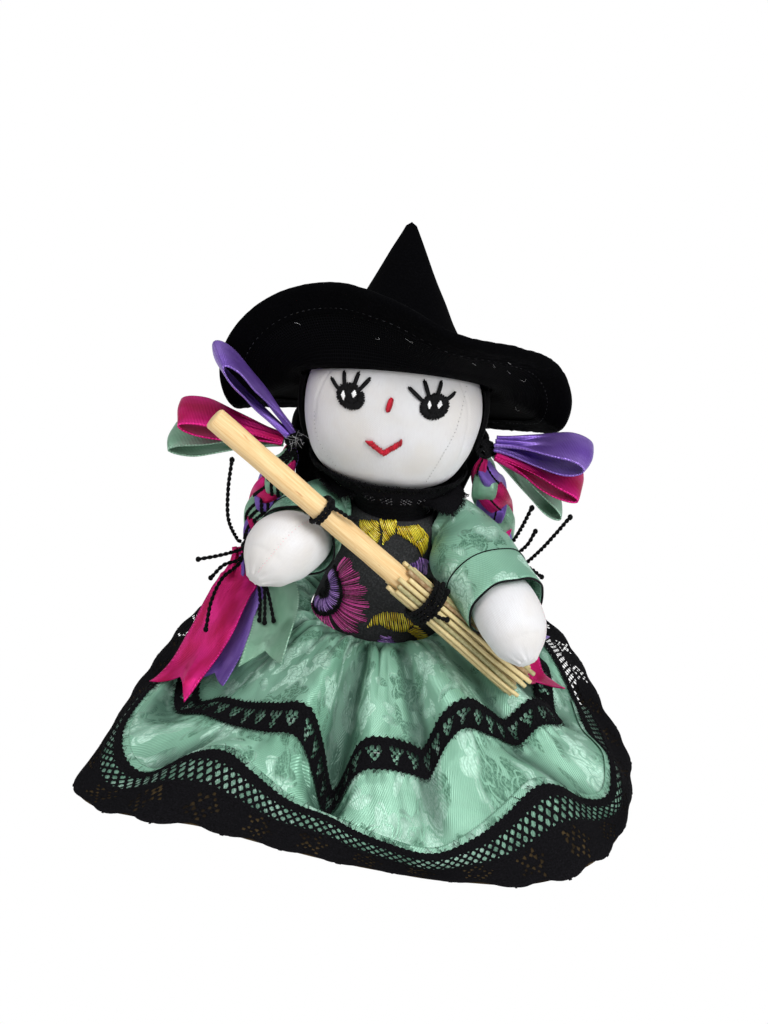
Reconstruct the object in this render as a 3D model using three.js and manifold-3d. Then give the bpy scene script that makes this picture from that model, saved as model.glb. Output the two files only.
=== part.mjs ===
// A seated rag doll with a pointed hat, ribboned braids, a tiered satin skirt edged with lace, and a
// straw broom across its chest. Millimetres, +Z up. The doll faces -Y, so its own right side is at -X.
// The origin is the middle of the flat seat of the stuffed body. "Right" and "left" are the doll's own.
import * as THREE from "three";
import { mergeVertices } from "three/addons/utils/BufferGeometryUtils.js";
import Module from "manifold-3d";

const wasm = await Module();
wasm.setup();
const { clamp, lerp, degToRad, smoothstep } = THREE.MathUtils;
const V = (x, y, z) => new THREE.Vector3(x, y, z);

// General clearances and cloth thicknesses
const GAP = 0.35; // air left between two pieces that touch
const SATIN = 0.8; // skirt and sleeve satin, with its seam allowance
const LACE = 0.8; // crochet lace
const FELT = 1.2; // hat and bodice felt
const RIBBON = 0.7; // satin ribbon, two faces
const THREAD = 0.6; // height of satin stitch above the cloth

// Stuffed body
const BODY_Y = -3; // middle of the body, front to back
const WAIST_Z = 42;
const WAIST_X = 24; // half widths at the waist
const WAIST_Y = 19;
const SEAT_X = 22;
const SEAT_Y = 16;
const CHEST_X = 16.5;
const CHEST_Y = 14;
const SHOULDER_Z = 85;
const SHOULDER_TOP_Z = 92;
const NECK_R = 10;
const NECK_TOP_Z = 100;

// Head
const HEAD_X = -5; // the head sits a little to the doll's right
const HEAD_Y = -1;
const HEAD_BOTTOM_Z = 100.5;
const HEAD_HEIGHT = 55;
const HEAD_HALF_WIDTH = 31.5;
const HEAD_HALF_DEPTH = 21.5;

// Face stitches, seen from the front
const EYE_R = 5.4;
const EYE_Z = 138.5;
const EYE_X = [-20.4, 8.6];
const LASH_LENGTH = 6.5;
const LASH_WIDTH = 1.1;
const NOSE_X = -6.3;
const NOSE_Z = 137;
const NOSE_HALF_LENGTH = 2.8;
const MOUTH_Z = 122;
const MOUTH_HALF_WIDTH = 6.6;
const STITCH_WIDTH = 1.7;

// Hat
const HAT_RING = V(-5, 3.4, 136.6); // middle of the seam between crown and brim
const HAT_TILT = 32; // degrees, leaning back
const HAT_LEAN = -3; // degrees, towards the doll's right
const HAT_RING_X = 33; // half width of that seam
const HAT_RING_Y = 26;
const CROWN_HEIGHT = 59;
const CROWN_FLARE = 5; // how far the crown spreads where it meets the brim
const BRIM_WIDTH = 26.5;
const BINDING_R = 1.3;

// Skirt
const WAISTBAND_X = 26;
const WAISTBAND_Y = 21.5;
const SKIRT_REACH = 123; // the farthest that the hem lies from the middle of the body
const TRIM_WIDTH = 12; // lace band on the upper tier's edge
const PUFF = 9; // how far the gathers puff out below the waist

// Arms
const SHOULDER_Y = -1; // the line through both shoulders that the arms turn about
const ARM_ROOT_X = CHEST_X + FELT + 4 * GAP;
const ARM_ROOT_R = 7.5;
const HAND_R = 12.6;
const CUFF_R = 14.6;
const SLEEVE_ROOT_R = 11.5;

// Legs
const HIP_X = 12.5; // each leg's seam on the front edge of the seat
const HIP_Z = 5;
const LEG_LENGTH = 63;
const LEG_R = 8.6;
const LEG_ROOT_X = 8; // half width and half height of the flattened root
const LEG_ROOT_Z = 1.2;
const LEG_SPLAY = 41; // degrees out from straight ahead

// Ribbons, yarn and braids
const RIBBON_WIDTH = 16;
const YARN_R = 1.1;

// Broom
const DOWEL_R = 4;
const STRAW_R = 0.95;
const BROOM_TOP = V(-62.5, -38, 132.5);
const BROOM_END = V(55.5, -35, 41);
const BUTT_SHARE = 0.575; // where the straws begin, as a share of the broom's length
const BINDING_SHARE = 0.665; // where they are bound
const HAND_TIE_SHARE = 0.325;

// Finishes
const finish = (color, roughness) => new THREE.MeshStandardMaterial({ color, roughness, metalness: 0 });
const MUSLIN = finish(0xf1eeea, 0.9);
const BLACK_FELT = finish(0x111112, 0.95);
const BLACK_LACE = finish(0x0d0c0d, 0.9);
const BLACK_YARN = finish(0x0b0b0c, 0.9);
const RED_THREAD = finish(0xb01020, 0.6);
const BODICE_FELT = finish(0x2e2d30, 0.95);
const MINT = finish(0x7fb795, 0.4);
const RIBBON_COLOURS = {
  purple: finish(0x8a63c8, 0.35),
  magenta: finish(0xc40a55, 0.35),
  mint: finish(0x86b58f, 0.35),
};
const WOOD = finish(0xd9b98a, 0.6);
const STRAW = finish(0xb09a62, 0.6);

const doll = new THREE.Group();

// A closed body from rings of points. The last ring meets the first one, or both ends are capped:
// round a middle point, or by the triangles given for a ring that isn't convex.
function skin(rings, joined = false, cap = null) {
  const n = rings[0].length;
  const points = rings.flat();
  const faces = [];
  const spans = joined ? rings.length : rings.length - 1;
  for (let i = 0; i < spans; i++) {
    const a = i * n;
    const b = ((i + 1) % rings.length) * n;
    for (let k = 0; k < n; k++) {
      const m = (k + 1) % n;
      // each four-sided patch is split along its shorter diagonal
      const first = points[a + k].distanceTo(points[b + m]);
      const second = points[a + m].distanceTo(points[b + k]);
      if (first < second) faces.push(a + k, a + m, b + m, a + k, b + m, b + k);
      else faces.push(a + k, a + m, b + k, a + m, b + m, b + k);
    }
  }
  const last = (rings.length - 1) * n;
  if (cap) {
    for (const [a, b, c] of cap) faces.push(c, b, a, last + a, last + b, last + c);
  } else if (!joined) {
    for (const [start, turned] of [[0, true], [last, false]]) {
      const middle = V(0, 0, 0);
      for (const p of points.slice(start, start + n)) middle.addScaledVector(p, 1 / n);
      const centre = points.push(middle) - 1;
      for (let k = 0; k < n; k++) {
        const m = (k + 1) % n;
        faces.push(centre, start + (turned ? m : k), start + (turned ? k : m));
      }
    }
  }
  let volume = 0;
  for (let i = 0; i < faces.length; i += 3) {
    const [a, b, c] = [points[faces[i]], points[faces[i + 1]], points[faces[i + 2]]];
    volume += a.dot(b.clone().cross(c));
  }
  if (volume < 0) faces.reverse();
  const geometry = new THREE.BufferGeometry().setFromPoints(points);
  geometry.setIndex(faces);
  return geometry;
}

// Solids for cutting and joining
function solid(geometry) {
  const bare = new THREE.BufferGeometry().setAttribute("position", geometry.getAttribute("position"));
  if (geometry.index) bare.setIndex(geometry.index);
  const merged = mergeVertices(bare, 1e-4);
  return new wasm.Manifold(
    new wasm.Mesh({
      numProp: 3,
      vertProperties: merged.attributes.position.array,
      triVerts: new Uint32Array(merged.index.array),
    }),
  );
}

// Back to a geometry, keeping the main body where a cut left crumbs
function cutGeometry(made) {
  const bodies = made.decompose().sort((a, b) => b.volume() - a.volume());
  const mesh = bodies[0].getMesh();
  const geometry = new THREE.BufferGeometry();
  geometry.setAttribute("position", new THREE.BufferAttribute(new Float32Array(mesh.vertProperties), 3));
  geometry.setIndex(new THREE.BufferAttribute(new Uint32Array(mesh.triVerts), 1));
  return geometry;
}

function add(name, geometry, material) {
  const mesh = new THREE.Mesh(geometry, material);
  mesh.name = name;
  doll.add(mesh);
  return mesh;
}

// A closed ring of points round a centre, in the plane of two directions
function ring(centre, side, up, a, b, count, square = 2) {
  const points = [];
  for (let k = 0; k < count; k++) {
    const t = (2 * Math.PI * k) / count;
    const c = Math.cos(t);
    const s = Math.sin(t);
    const x = Math.sign(c) * Math.abs(c) ** (2 / square) * a;
    const y = Math.sign(s) * Math.abs(s) ** (2 / square) * b;
    points.push(centre.clone().addScaledVector(side, x).addScaledVector(up, y));
  }
  return points;
}

// A smooth value through [place, value, value ...] rows, by cubic pieces
function throughRows(rows, place, period = 0) {
  const n = rows.length;
  const at = (i) => {
    const turns = Math.floor(i / n);
    const row = rows[((i % n) + n) % n];
    return period ? [row[0] + turns * period, ...row.slice(1)] : rows[clamp(i, 0, n - 1)];
  };
  let i = 0;
  if (period) {
    while (at(i)[0] > place) i--;
    while (at(i + 1)[0] <= place) i++;
  } else {
    while (i < n - 2 && rows[i + 1][0] <= place) i++;
  }
  const [p0, p1, p2, p3] = [at(i - 1), at(i), at(i + 1), at(i + 2)];
  const span = p2[0] - p1[0];
  const u = clamp((place - p1[0]) / span, 0, 1);
  return p1.slice(1).map((value, k) => {
    const [a, b, c, d] = [p0[k + 1], value, p2[k + 1], p3[k + 1]];
    const into = p2[0] > p0[0] ? ((c - a) / (p2[0] - p0[0])) * span : 0;
    const out = p3[0] > p1[0] ? ((d - b) / (p3[0] - p1[0])) * span : 0;
    const u2 = u * u;
    const u3 = u2 * u;
    return (2 * u3 - 3 * u2 + 1) * b + (u3 - 2 * u2 + u) * into + (3 * u2 - 2 * u3) * c + (u3 - u2) * out;
  });
}

const range = (count) => Array.from({ length: count }, (_, i) => i);
const shares = (count) => range(count).map((i) => i / (count - 1));

// Stuffed body, head and face

// Rows of height, half width and half depth; the body stands on its flat seat
const BODY_ROWS = [
  [0, SEAT_X, SEAT_Y],
  [4, SEAT_X + 2, SEAT_Y + 2],
  [22, WAIST_X + 0.8, WAIST_Y + 1],
  [WAIST_Z, WAIST_X, WAIST_Y],
  [64, 18.2, 16],
  [76, CHEST_X, CHEST_Y + 0.4],
  [SHOULDER_Z + 2, CHEST_X - 1, CHEST_Y - 1],
  [SHOULDER_TOP_Z, NECK_R + 2.5, NECK_R + 1],
  [SHOULDER_TOP_Z + 3, NECK_R, NECK_R - 0.5],
  [NECK_TOP_Z, NECK_R - 0.5, NECK_R - 1],
];
const BODY_HEIGHTS = [0, 3, 12, 26, WAIST_Z, 54, 64, 76, 87, SHOULDER_TOP_Z, SHOULDER_TOP_Z + 3, NECK_TOP_Z];

function bodyRing(z, grow = 0, count = 24) {
  const [a, b] = throughRows(BODY_ROWS, z);
  return ring(V(0, BODY_Y, z), V(1, 0, 0), V(0, 1, 0), a + grow, b + grow, count);
}
const torso = skin(BODY_HEIGHTS.map((z) => bodyRing(z)));

// Share of the head's height, half width, half depth: wide cheeks, a narrow chin, a flat crown
const HEAD_ROWS = [
  [0, 0.46, 0.5],
  [0.03, 0.62, 0.64],
  [0.1, 0.79, 0.82],
  [0.22, 0.91, 0.93],
  [0.38, 0.985, 1],
  [0.56, 1, 1],
  [0.72, 0.93, 0.95],
  [0.86, 0.74, 0.8],
  [0.95, 0.5, 0.58],
  [1, 0.24, 0.3],
];
function headGeometry(grow = 0) {
  const count = 28;
  return skin(
    [0, 0.04, 0.1, 0.2, 0.33, 0.48, 0.62, 0.74, 0.85, 0.94, 1].map((share) => {
      const [a, b] = throughRows(HEAD_ROWS, share);
      const z = HEAD_BOTTOM_Z + HEAD_HEIGHT * share + grow * (2 * share - 1);
      const centre = V(HEAD_X, HEAD_Y, z);
      const [halfWidth, halfDepth] = [HEAD_HALF_WIDTH * a + grow, HEAD_HALF_DEPTH * b + grow];
      return ring(centre, V(1, 0, 0), V(0, 1, 0), halfWidth, halfDepth, count, 2.25);
    }),
  );
}

// The hat's own directions: across, towards the raised front, and along the crown
const hatTurn = new THREE.Euler(degToRad(-HAT_TILT), degToRad(HAT_LEAN), 0, "YXZ");
const HAT_SIDE = V(1, 0, 0).applyEuler(hatTurn);
const HAT_FRONT = V(0, -1, 0).applyEuler(hatTurn);
const HAT_UP = V(0, 0, 1).applyEuler(hatTurn);

// A point of the hat by its bearing from the front, share of the ring's radius and height on the axis
function hatPoint(bearing, share, height) {
  const t = degToRad(bearing);
  return HAT_RING.clone()
    .addScaledVector(HAT_SIDE, HAT_RING_X * share * Math.sin(t))
    .addScaledVector(HAT_FRONT, HAT_RING_Y * share * Math.cos(t))
    .addScaledVector(HAT_UP, height);
}

// The crown narrows steadily to its tip and flares where it meets the brim
function crownShare(height, inset = 0) {
  const cone = (HAT_RING_X - CROWN_FLARE) * (1 - height / CROWN_HEIGHT);
  return Math.max((cone + CROWN_FLARE * Math.exp(-height / 8) - inset) / HAT_RING_X, 0.01);
}
const HAT_BEARINGS = range(24).map((k) => (360 * k) / 24);
const hatRing = (height, inset) => HAT_BEARINGS.map((b) => hatPoint(b, crownShare(height, inset), height));
const CROWN_TIP = CROWN_HEIGHT - 3;
const CROWN_INSIDE_TIP = CROWN_TIP - 8;
const crownHeights = [0, 4, 10, 20, 38, CROWN_TIP - 1.2, CROWN_TIP];
const hatCrown = skin([
  ...crownHeights.map((h) => (h === CROWN_TIP ? hatRing(h, 1) : hatRing(h, 0))),
]);
const crownInside = [-1, 4, 10, 20, 38, CROWN_INSIDE_TIP].map((h) => hatRing(h, FELT));

// Everything outside the crown's inner wall, above the ring, trims the stuffed head to the hat
const outsideHat = skin([
  ...[-0.5, 4, 10, 20, 38, CROWN_INSIDE_TIP].map((h) => hatRing(h, FELT + GAP)).reverse(),
  HAT_BEARINGS.map((b) => hatPoint(b, 2.4, -0.5)),
  HAT_BEARINGS.map((b) => hatPoint(b, 2.4, CROWN_HEIGHT)),
]);

const headSolid = solid(headGeometry()).subtract(solid(outsideHat));
const neckHole = solid(skin([NECK_TOP_Z - 12, NECK_TOP_Z + GAP].map((z) => bodyRing(z, GAP))));
add("torso", torso, MUSLIN);
add("head", cutGeometry(headSolid.subtract(neckHole)), MUSLIN);

// The room that the hat takes, kept clear by stitches and hair
const hatRoom = solid(
  skin([-1.5, 90].map((h) => HAT_BEARINGS.map((b) => hatPoint(b, 3.2, h)))),
);

// Satin stitches are flat outlines laid on the curved face
const prism = (points) => {
  const shape = new THREE.Shape(points.map(([x, z]) => new THREE.Vector2(x, z)));
  const block = new THREE.ExtrudeGeometry(shape, { depth: 40, bevelEnabled: false });
  return solid(block.rotateX(Math.PI / 2));
};
const faceShell = solid(headGeometry(GAP + THREAD)).subtract(solid(headGeometry(GAP)));
const oval = (x, z, a, b, lean, count = 16) =>
  range(count).map((k) => {
    const t = (2 * Math.PI * k) / count;
    const [u, v] = [a * Math.cos(t), b * Math.sin(t)];
    return [x + u * Math.cos(lean) - v * Math.sin(lean), z + u * Math.sin(lean) + v * Math.cos(lean)];
  });
function stroke(x, z, angle, from, to, wide, narrow) {
  const [c, s] = [Math.cos(angle), Math.sin(angle)];
  return [[from, -wide / 2], [to, -narrow / 2], [to, narrow / 2], [from, wide / 2]].map(([u, v]) => [
    x + u * c - v * s,
    z + u * s + v * c,
  ]);
}
const LASH_ANGLES = [52, 76, 101, 128];
["right_eye", "left_eye"].forEach((name, side) => {
  const x = EYE_X[side];
  let eye = prism(oval(x, EYE_Z, EYE_R, EYE_R * 0.92, 0, 20));
  for (const angle of LASH_ANGLES) {
    const lean = degToRad(angle + (side ? -6 : 6));
    const lash = stroke(x, EYE_Z, lean, EYE_R - 1, EYE_R + LASH_LENGTH, LASH_WIDTH * 1.4, LASH_WIDTH * 0.7);
    eye = eye.add(prism(lash));
  }
  for (const way of [-1, 1]) {
    const highlight = oval(x + way * 1.9, EYE_Z - 0.3, 0.75, 2.1, way * 0.35, 10);
    eye = eye.subtract(prism(highlight));
  }
  add(name, cutGeometry(faceShell.intersect(eye).subtract(hatRoom)), BLACK_YARN);
});
const nose = prism(oval(NOSE_X, NOSE_Z, NOSE_HALF_LENGTH, STITCH_WIDTH * 0.7, degToRad(68), 12));
add("nose_stitch", cutGeometry(faceShell.intersect(nose)), RED_THREAD);
const smileLow = 5;
const smile = [-1, 1]
  .map((way) => {
    const angle = way > 0 ? degToRad(38) : degToRad(142);
    const [from, to] = [-STITCH_WIDTH / 2, MOUTH_HALF_WIDTH * 1.2];
    return prism(stroke(NOSE_X, MOUTH_Z - smileLow / 2, angle, from, to, STITCH_WIDTH, STITCH_WIDTH));
  })
  .reduce((a, b) => a.add(b));
add("mouth_stitch", cutGeometry(faceShell.intersect(smile)), RED_THREAD);

// Yarn knots that gather the bows beside the cheeks
const KNOTS = { right: V(-38.5, -5, 112), left: V(29.5, -5, 118.5) };
const KNOT_R = 3.8;
const knotBall = (side, grow = 0) =>
  solid(new THREE.SphereGeometry(KNOT_R + grow, 10, 8).translate(...KNOTS[side].toArray()));
for (const side of ["right", "left"]) add(side + "_bow_knot", cutGeometry(knotBall(side)), BLACK_YARN);

// Hair: a cap of yarn under the hat, behind the face
const HAIR = 2;
const HAIR_FRONT_Y = -4;
const behindFace = skin([
  ring(V(HEAD_X, HAIR_FRONT_Y, 130), V(1, 0, 0), V(0, 0, 1), 60, 60, 4),
  ring(V(HEAD_X, 60, 130), V(1, 0, 0), V(0, 0, 1), 60, 60, 4),
]);
const hairShell = solid(headGeometry(GAP + HAIR)).subtract(solid(headGeometry(GAP)));
const collarRoom = solid(
  skin([80, 107].map((z) => ring(V(HEAD_X, BODY_Y, z), V(1, 0, 0), V(0, 1, 0), 60, 60, 12))),
);
const hairSolid = hairShell.intersect(solid(behindFace)).subtract(hatRoom).subtract(collarRoom);
add(
  "hair",
  cutGeometry(hairSolid.subtract(knotBall("right", GAP + 0.1)).subtract(knotBall("left", GAP + 0.1))),
  BLACK_YARN,
);

// Hat brim: rows of bearing and the angle that the brim turns up from the ring's plane
const BRIM_TURN = [
  [-165, -12],
  [-125, -20],
  [-95, -26],
  [-68, 14],
  [-46, 50],
  [-26, 58],
  [-4, 40],
  [16, 16],
  [36, 14],
  [56, 14],
  [74, 2],
  [92, -16],
  [130, -16],
];
const SEAM_SHARE = 1 + (GAP + 0.1) / HAT_RING_Y;
function brimPoint(bearing, out, lift) {
  const turn = degToRad(throughRows(BRIM_TURN, bearing, 360)[0]);
  const base = hatPoint(bearing, SEAM_SHARE, 0);
  const outward = hatPoint(bearing, 2, 0).sub(hatPoint(bearing, 1, 0)).normalize();
  const along = outward.clone().multiplyScalar(Math.cos(turn)).addScaledVector(HAT_UP, Math.sin(turn));
  const across = outward.clone().multiplyScalar(-Math.sin(turn)).addScaledVector(HAT_UP, Math.cos(turn));
  // the first millimetres leave the seam flat, then the brim bends up or down
  const bend = smoothstep(out, 0, 7);
  const way = outward.clone().lerp(along, bend).normalize();
  const normal = HAT_UP.clone().lerp(across, bend).normalize();
  return base.addScaledVector(way, out).addScaledVector(normal, lift);
}
const BRIM_BEARINGS = range(40).map((k) => -180 + (360 * k) / 40);
function brimSheet(from, to, low, high) {
  const outs = [from, 5, 12, to];
  const row = (out, lift) => BRIM_BEARINGS.map((b) => brimPoint(b, out, lift));
  return skin([...outs.map((o) => row(o, high)), ...outs.map((o) => row(o, low)).reverse()], true);
}
const LINING = 0.6;
add("hat_crown", cutGeometry(solid(hatCrown).subtract(solid(skin(crownInside)))), BLACK_FELT);
add("hat_brim", brimSheet(0, BRIM_WIDTH, 0, FELT), BLACK_FELT);
add("hat_brim_lining", brimSheet(0.5, BRIM_WIDTH - 0.3, -GAP - LINING, -GAP), BLACK_LACE);
const bindingRings = BRIM_BEARINGS.map((b) => {
  const middle = brimPoint(b, BRIM_WIDTH + BINDING_R + GAP, (FELT - LINING - GAP) / 2);
  const outward = middle.clone().sub(brimPoint(b, BRIM_WIDTH - 2, (FELT - LINING - GAP) / 2)).normalize();
  const along = brimPoint(b + 1, BRIM_WIDTH, 0).sub(brimPoint(b - 1, BRIM_WIDTH, 0)).normalize();
  return ring(middle, outward, along.cross(outward).normalize(), BINDING_R, BINDING_R, 5);
});
add("hat_edge_binding", skin(bindingRings, true), BLACK_FELT);

// Bodice: a felt shell round the chest, open at the neck and waist
const bodiceHeights = [WAIST_Z - 6, WAIST_Z, 54, 64, 76, 87, 90.5];
const bodice = skin(
  [
    ...bodiceHeights.map((z) => bodyRing(z, GAP + FELT)),
    ...bodiceHeights.map((z) => bodyRing(z, GAP)).reverse(),
  ],
  true,
);
add("bodice", bodice, BODICE_FELT);

// Lace collar: a standing band that flares from the neckline to just under the chin
const COLLAR_ROWS = [
  [SHOULDER_TOP_Z, -0.6, BODY_Y, NECK_R + 4, NECK_R + 2.8],
  [SHOULDER_TOP_Z + 4, -1.2, BODY_Y + 0.4, NECK_R + 6, NECK_R + 5],
  [NECK_TOP_Z, HEAD_X / 2, -1.8, 21, 17.6],
  [HEAD_BOTTOM_Z + 5, HEAD_X + 1, -1.2, 27.4, 19.6],
];
const COLLAR_SHARES = [0, 0.3, 0.52, 0.74, 1];
const collarRing = (z, grow) => {
  const [x, y, a, b] = throughRows(COLLAR_ROWS, z);
  return ring(V(x, y, z), V(1, 0, 0), V(0, 1, 0), a + grow, b + grow, 24);
};
const collarHeights = COLLAR_SHARES.map((share) => lerp(SHOULDER_TOP_Z, HEAD_BOTTOM_Z + 5, share));
const collarRings = (grow) => collarHeights.map((z) => collarRing(z, grow));
const collar = skin([...collarRings(LACE), ...collarRings(0).reverse()], true);
add("lace_collar", cutGeometry(solid(collar).subtract(solid(headGeometry(GAP)))), BLACK_LACE);

// Skirt. Each row is a bearing from the front (+ towards the doll's left), a distance as a share of the
// skirt's reach, and a height: the upper tier's edge, the seam of the hem lace, and its edge on the floor.
const TRIM_ROWS = [
  [-174, 0.5041, 27],
  [-156, 0.4878, 18],
  [-138, 0.5041, 27],
  [-120, 0.4878, 19],
  [-103, 0.4959, 27],
  [-86, 0.5041, 16],
  [-68, 0.5366, 7],
  [-56, 0.4959, 17],
  [-45, 0.4715, 22],
  [-30, 0.4715, 31],
  [-20, 0.4715, 35],
  [-14, 0.4797, 23],
  [-8, 0.5122, 7],
  [-4, 0.5041, 8],
  [1, 0.4715, 25],
  [8, 0.4715, 28.5],
  [16, 0.4715, 26],
  [23, 0.4797, 24],
  [29, 0.4715, 38],
  [36, 0.4715, 42],
  [45, 0.4797, 35],
  [54, 0.5041, 27],
  [62, 0.5366, 33],
  [72, 0.561, 25],
  [84, 0.5203, 17],
  [98, 0.5041, 26],
  [114, 0.4878, 18],
  [131, 0.5041, 27],
  [149, 0.4878, 18],
  [167, 0.5041, 27],
];
const SEAM_ROWS = [
  [-172, 0.6504, 12],
  [-154, 0.6179, 5],
  [-137, 0.6341, 11],
  [-120, 0.5854, 4.5],
  [-103, 0.5772, 9],
  [-86, 0.6016, 5],
  [-70, 0.7154, 7],
  [-60, 0.8049, 6],
  [-52, 0.8293, 4],
  [-47, 0.7886, 4],
  [-42, 0.6911, 13],
  [-36, 0.6423, 17],
  [-28, 0.6341, 15],
  [-16, 0.6423, 10],
  [-3, 0.6504, 6.5],
  [8, 0.6911, 5],
  [19, 0.748, 5],
  [28, 0.7398, 8],
  [37, 0.7236, 13],
  [45, 0.7236, 20],
  [50, 0.748, 18],
  [56, 0.7967, 10],
  [63, 0.8374, 7],
  [70, 0.7967, 12],
  [80, 0.7073, 9],
  [96, 0.6748, 5],
  [113, 0.6423, 11],
  [131, 0.6911, 5],
  [149, 0.6829, 12],
  [168, 0.6504, 5],
];
const HEM_ROWS = [
  [-165, 0.7561],
  [-142, 0.7561],
  [-118, 0.7154],
  [-97, 0.6992],
  [-76, 0.7642],
  [-62, 0.8699],
  [-53, 1],
  [-47, 0.9919],
  [-40, 0.9187],
  [-31, 0.8211],
  [-20, 0.7724],
  [-8, 0.7561],
  [8, 0.7724],
  [24, 0.8374],
  [35, 0.9106],
  [46, 0.9512],
  [56, 0.9431],
  [70, 0.9024],
  [84, 0.8618],
  [98, 0.8049],
  [115, 0.813],
  [135, 0.8618],
  [155, 0.8211],
  [178, 0.7724],
];

const HEM_Z = 0.1;
const oval2 = (bearing, a, b) => 1 / Math.hypot(Math.sin(bearing) / a, Math.cos(bearing) / b);

// The skirt as one sheet: share 0 at the waist, 1 at the floor, lift along its outward normal
const SHEET_SHARES = { waist: 0, puff: 0.13, trim: 0.4, trimEdge: 0.51, seam: 0.77, hem: 1 };
function sheetPoint(bearing, share) {
  const t = degToRad(bearing);
  const waist = oval2(t, WAISTBAND_X, WAISTBAND_Y);
  const [trimShare, trimZ] = throughRows(TRIM_ROWS, bearing, 360);
  const [seamShare, seamZ] = throughRows(SEAM_ROWS, bearing, 360);
  const [hemShare] = throughRows(HEM_ROWS, bearing, 360);
  const [trimR, seamR, hemR] = [trimShare, seamShare, hemShare].map((share) => share * SKIRT_REACH);
  // the lace trim hangs steeper where its tier stands higher
  const drop = Math.min(3 + 0.2 * trimZ, trimZ - 2.5);
  const spread = Math.sqrt(TRIM_WIDTH ** 2 - drop ** 2);
  const rows = [
    [SHEET_SHARES.waist, waist, WAIST_Z],
    [SHEET_SHARES.puff, waist + PUFF, WAIST_Z + 3 + 0.22 * (trimZ - 25)],
    [SHEET_SHARES.trim, trimR, trimZ],
    [SHEET_SHARES.trimEdge, trimR + spread, trimZ - drop],
    [SHEET_SHARES.seam, seamR, seamZ],
    [SHEET_SHARES.hem, hemR, HEM_Z],
  ];
  const [r, z] = throughRows(rows, share);
  return V(r * Math.sin(t), BODY_Y - r * Math.cos(t), Math.max(z, HEM_Z));
}
function sheetLifted(bearing, share, lift) {
  const step = 0.004;
  const along = sheetPoint(bearing, Math.min(share + step, 1));
  along.sub(sheetPoint(bearing, Math.max(share - step, 0)));
  const round = sheetPoint(bearing + 0.5, share).sub(sheetPoint(bearing - 0.5, share));
  const normal = round.cross(along).normalize();
  if (normal.z < 0) normal.negate();
  // at the floor the cloth lies flat
  normal.lerp(V(0, 0, 1), smoothstep(share, 0.9, 1)).normalize();
  const point = sheetPoint(bearing, share).addScaledVector(normal, lift);
  point.z = Math.max(point.z, HEM_Z);
  return point;
}
// Bearings lie closer together over the folds in front
const SKIRT_BEARINGS = [
  ...range(36).map((k) => -76 + 4.5 * k),
  ...range(18).map((k) => 81.5 + (202.5 / 19) * (k + 1)),
];
const SKIRT_SHARES = [0, 0.06, 0.13, 0.25, 0.4, 0.43, 0.455, 0.51, 0.59, 0.68, 0.77, 0.8, 0.86, 0.93, 1];
function tier(from, to, thickness, liftAt) {
  const list = SKIRT_SHARES.filter((s) => s >= from && s <= to);
  const row = (s, extra) => SKIRT_BEARINGS.map((b) => sheetLifted(b, s, liftAt(s) + extra));
  return skin([...list.map((s) => row(s, thickness)), ...list.map((s) => row(s, 0)).reverse()], true);
}
const laid = SATIN + GAP;
add("skirt_upper_tier", tier(0, 0.43, SATIN, () => 0), MINT);
add("skirt_mid_lace", tier(0.4, 0.51, LACE, () => laid), BLACK_LACE);
add("skirt_lower_tier", tier(0.455, 0.8, SATIN, () => 0), MINT);
add("skirt_hem_lace", tier(0.77, 1, LACE, (s) => laid * (1 - smoothstep(s, 0.8, 0.93))), BLACK_LACE);

// Rings along a path of rows [x, y, z, half width, half height], square to the path
function alongRows(rows, count, sides, firstSide, grow = 0, startWay = null) {
  const spots = rows.map((row, i) => [i, ...row]);
  const at = (u) => throughRows(spots, u * (rows.length - 1));
  return shares(count).map((u) => {
    const [x, y, z, a, b] = at(u);
    const ahead = at(Math.min(u + 0.01, 1));
    const behind = at(Math.max(u - 0.01, 0));
    let way = V(ahead[0] - behind[0], ahead[1] - behind[1], ahead[2] - behind[2]).normalize();
    if (startWay) way = startWay.clone().lerp(way, smoothstep(u, 0, 0.22)).normalize();
    const side = firstSide.clone().addScaledVector(way, -firstSide.dot(way)).normalize();
    const up = way.clone().cross(side).normalize();
    return ring(V(x, y, z), side, up, a + grow, b + grow, sides);
  });
}

// Arms and sleeves. Both turn about the line through the shoulders, so each begins round that line.
const ARMS = {
  right: {
    way: -1,
    rows: [
      [25, -4.5, 85, 8.5],
      [28, -14, 84, 9.5],
      [31, -25, 83, 11.5],
      [36.5, -37, 85, HAND_R],
      [40.5, -45, 82.5, 9.5],
      [43.5, -50, 79.8, 3.2],
    ],
    cuff: [32, -27, 83.2],
    cuffR: CUFF_R,
  },
  left: {
    way: 1,
    rows: [
      [25, -4.5, 83.5, 8.5],
      [31.5, -14.5, 79.5, 9.5],
      [39, -27.6, 75.6, 11],
      [45.8, -42.6, 73.3, HAND_R - 0.8],
      [50, -50.6, 68.7, 9.3],
      [53, -55.6, 65.4, 3.2],
    ],
    cuff: [40.3, -27.5, 75.6],
    cuffR: CUFF_R - 0.6,
  },
};
const rootRow = (way, r) => [way * ARM_ROOT_X, SHOULDER_Y, SHOULDER_Z, r, r];
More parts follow.
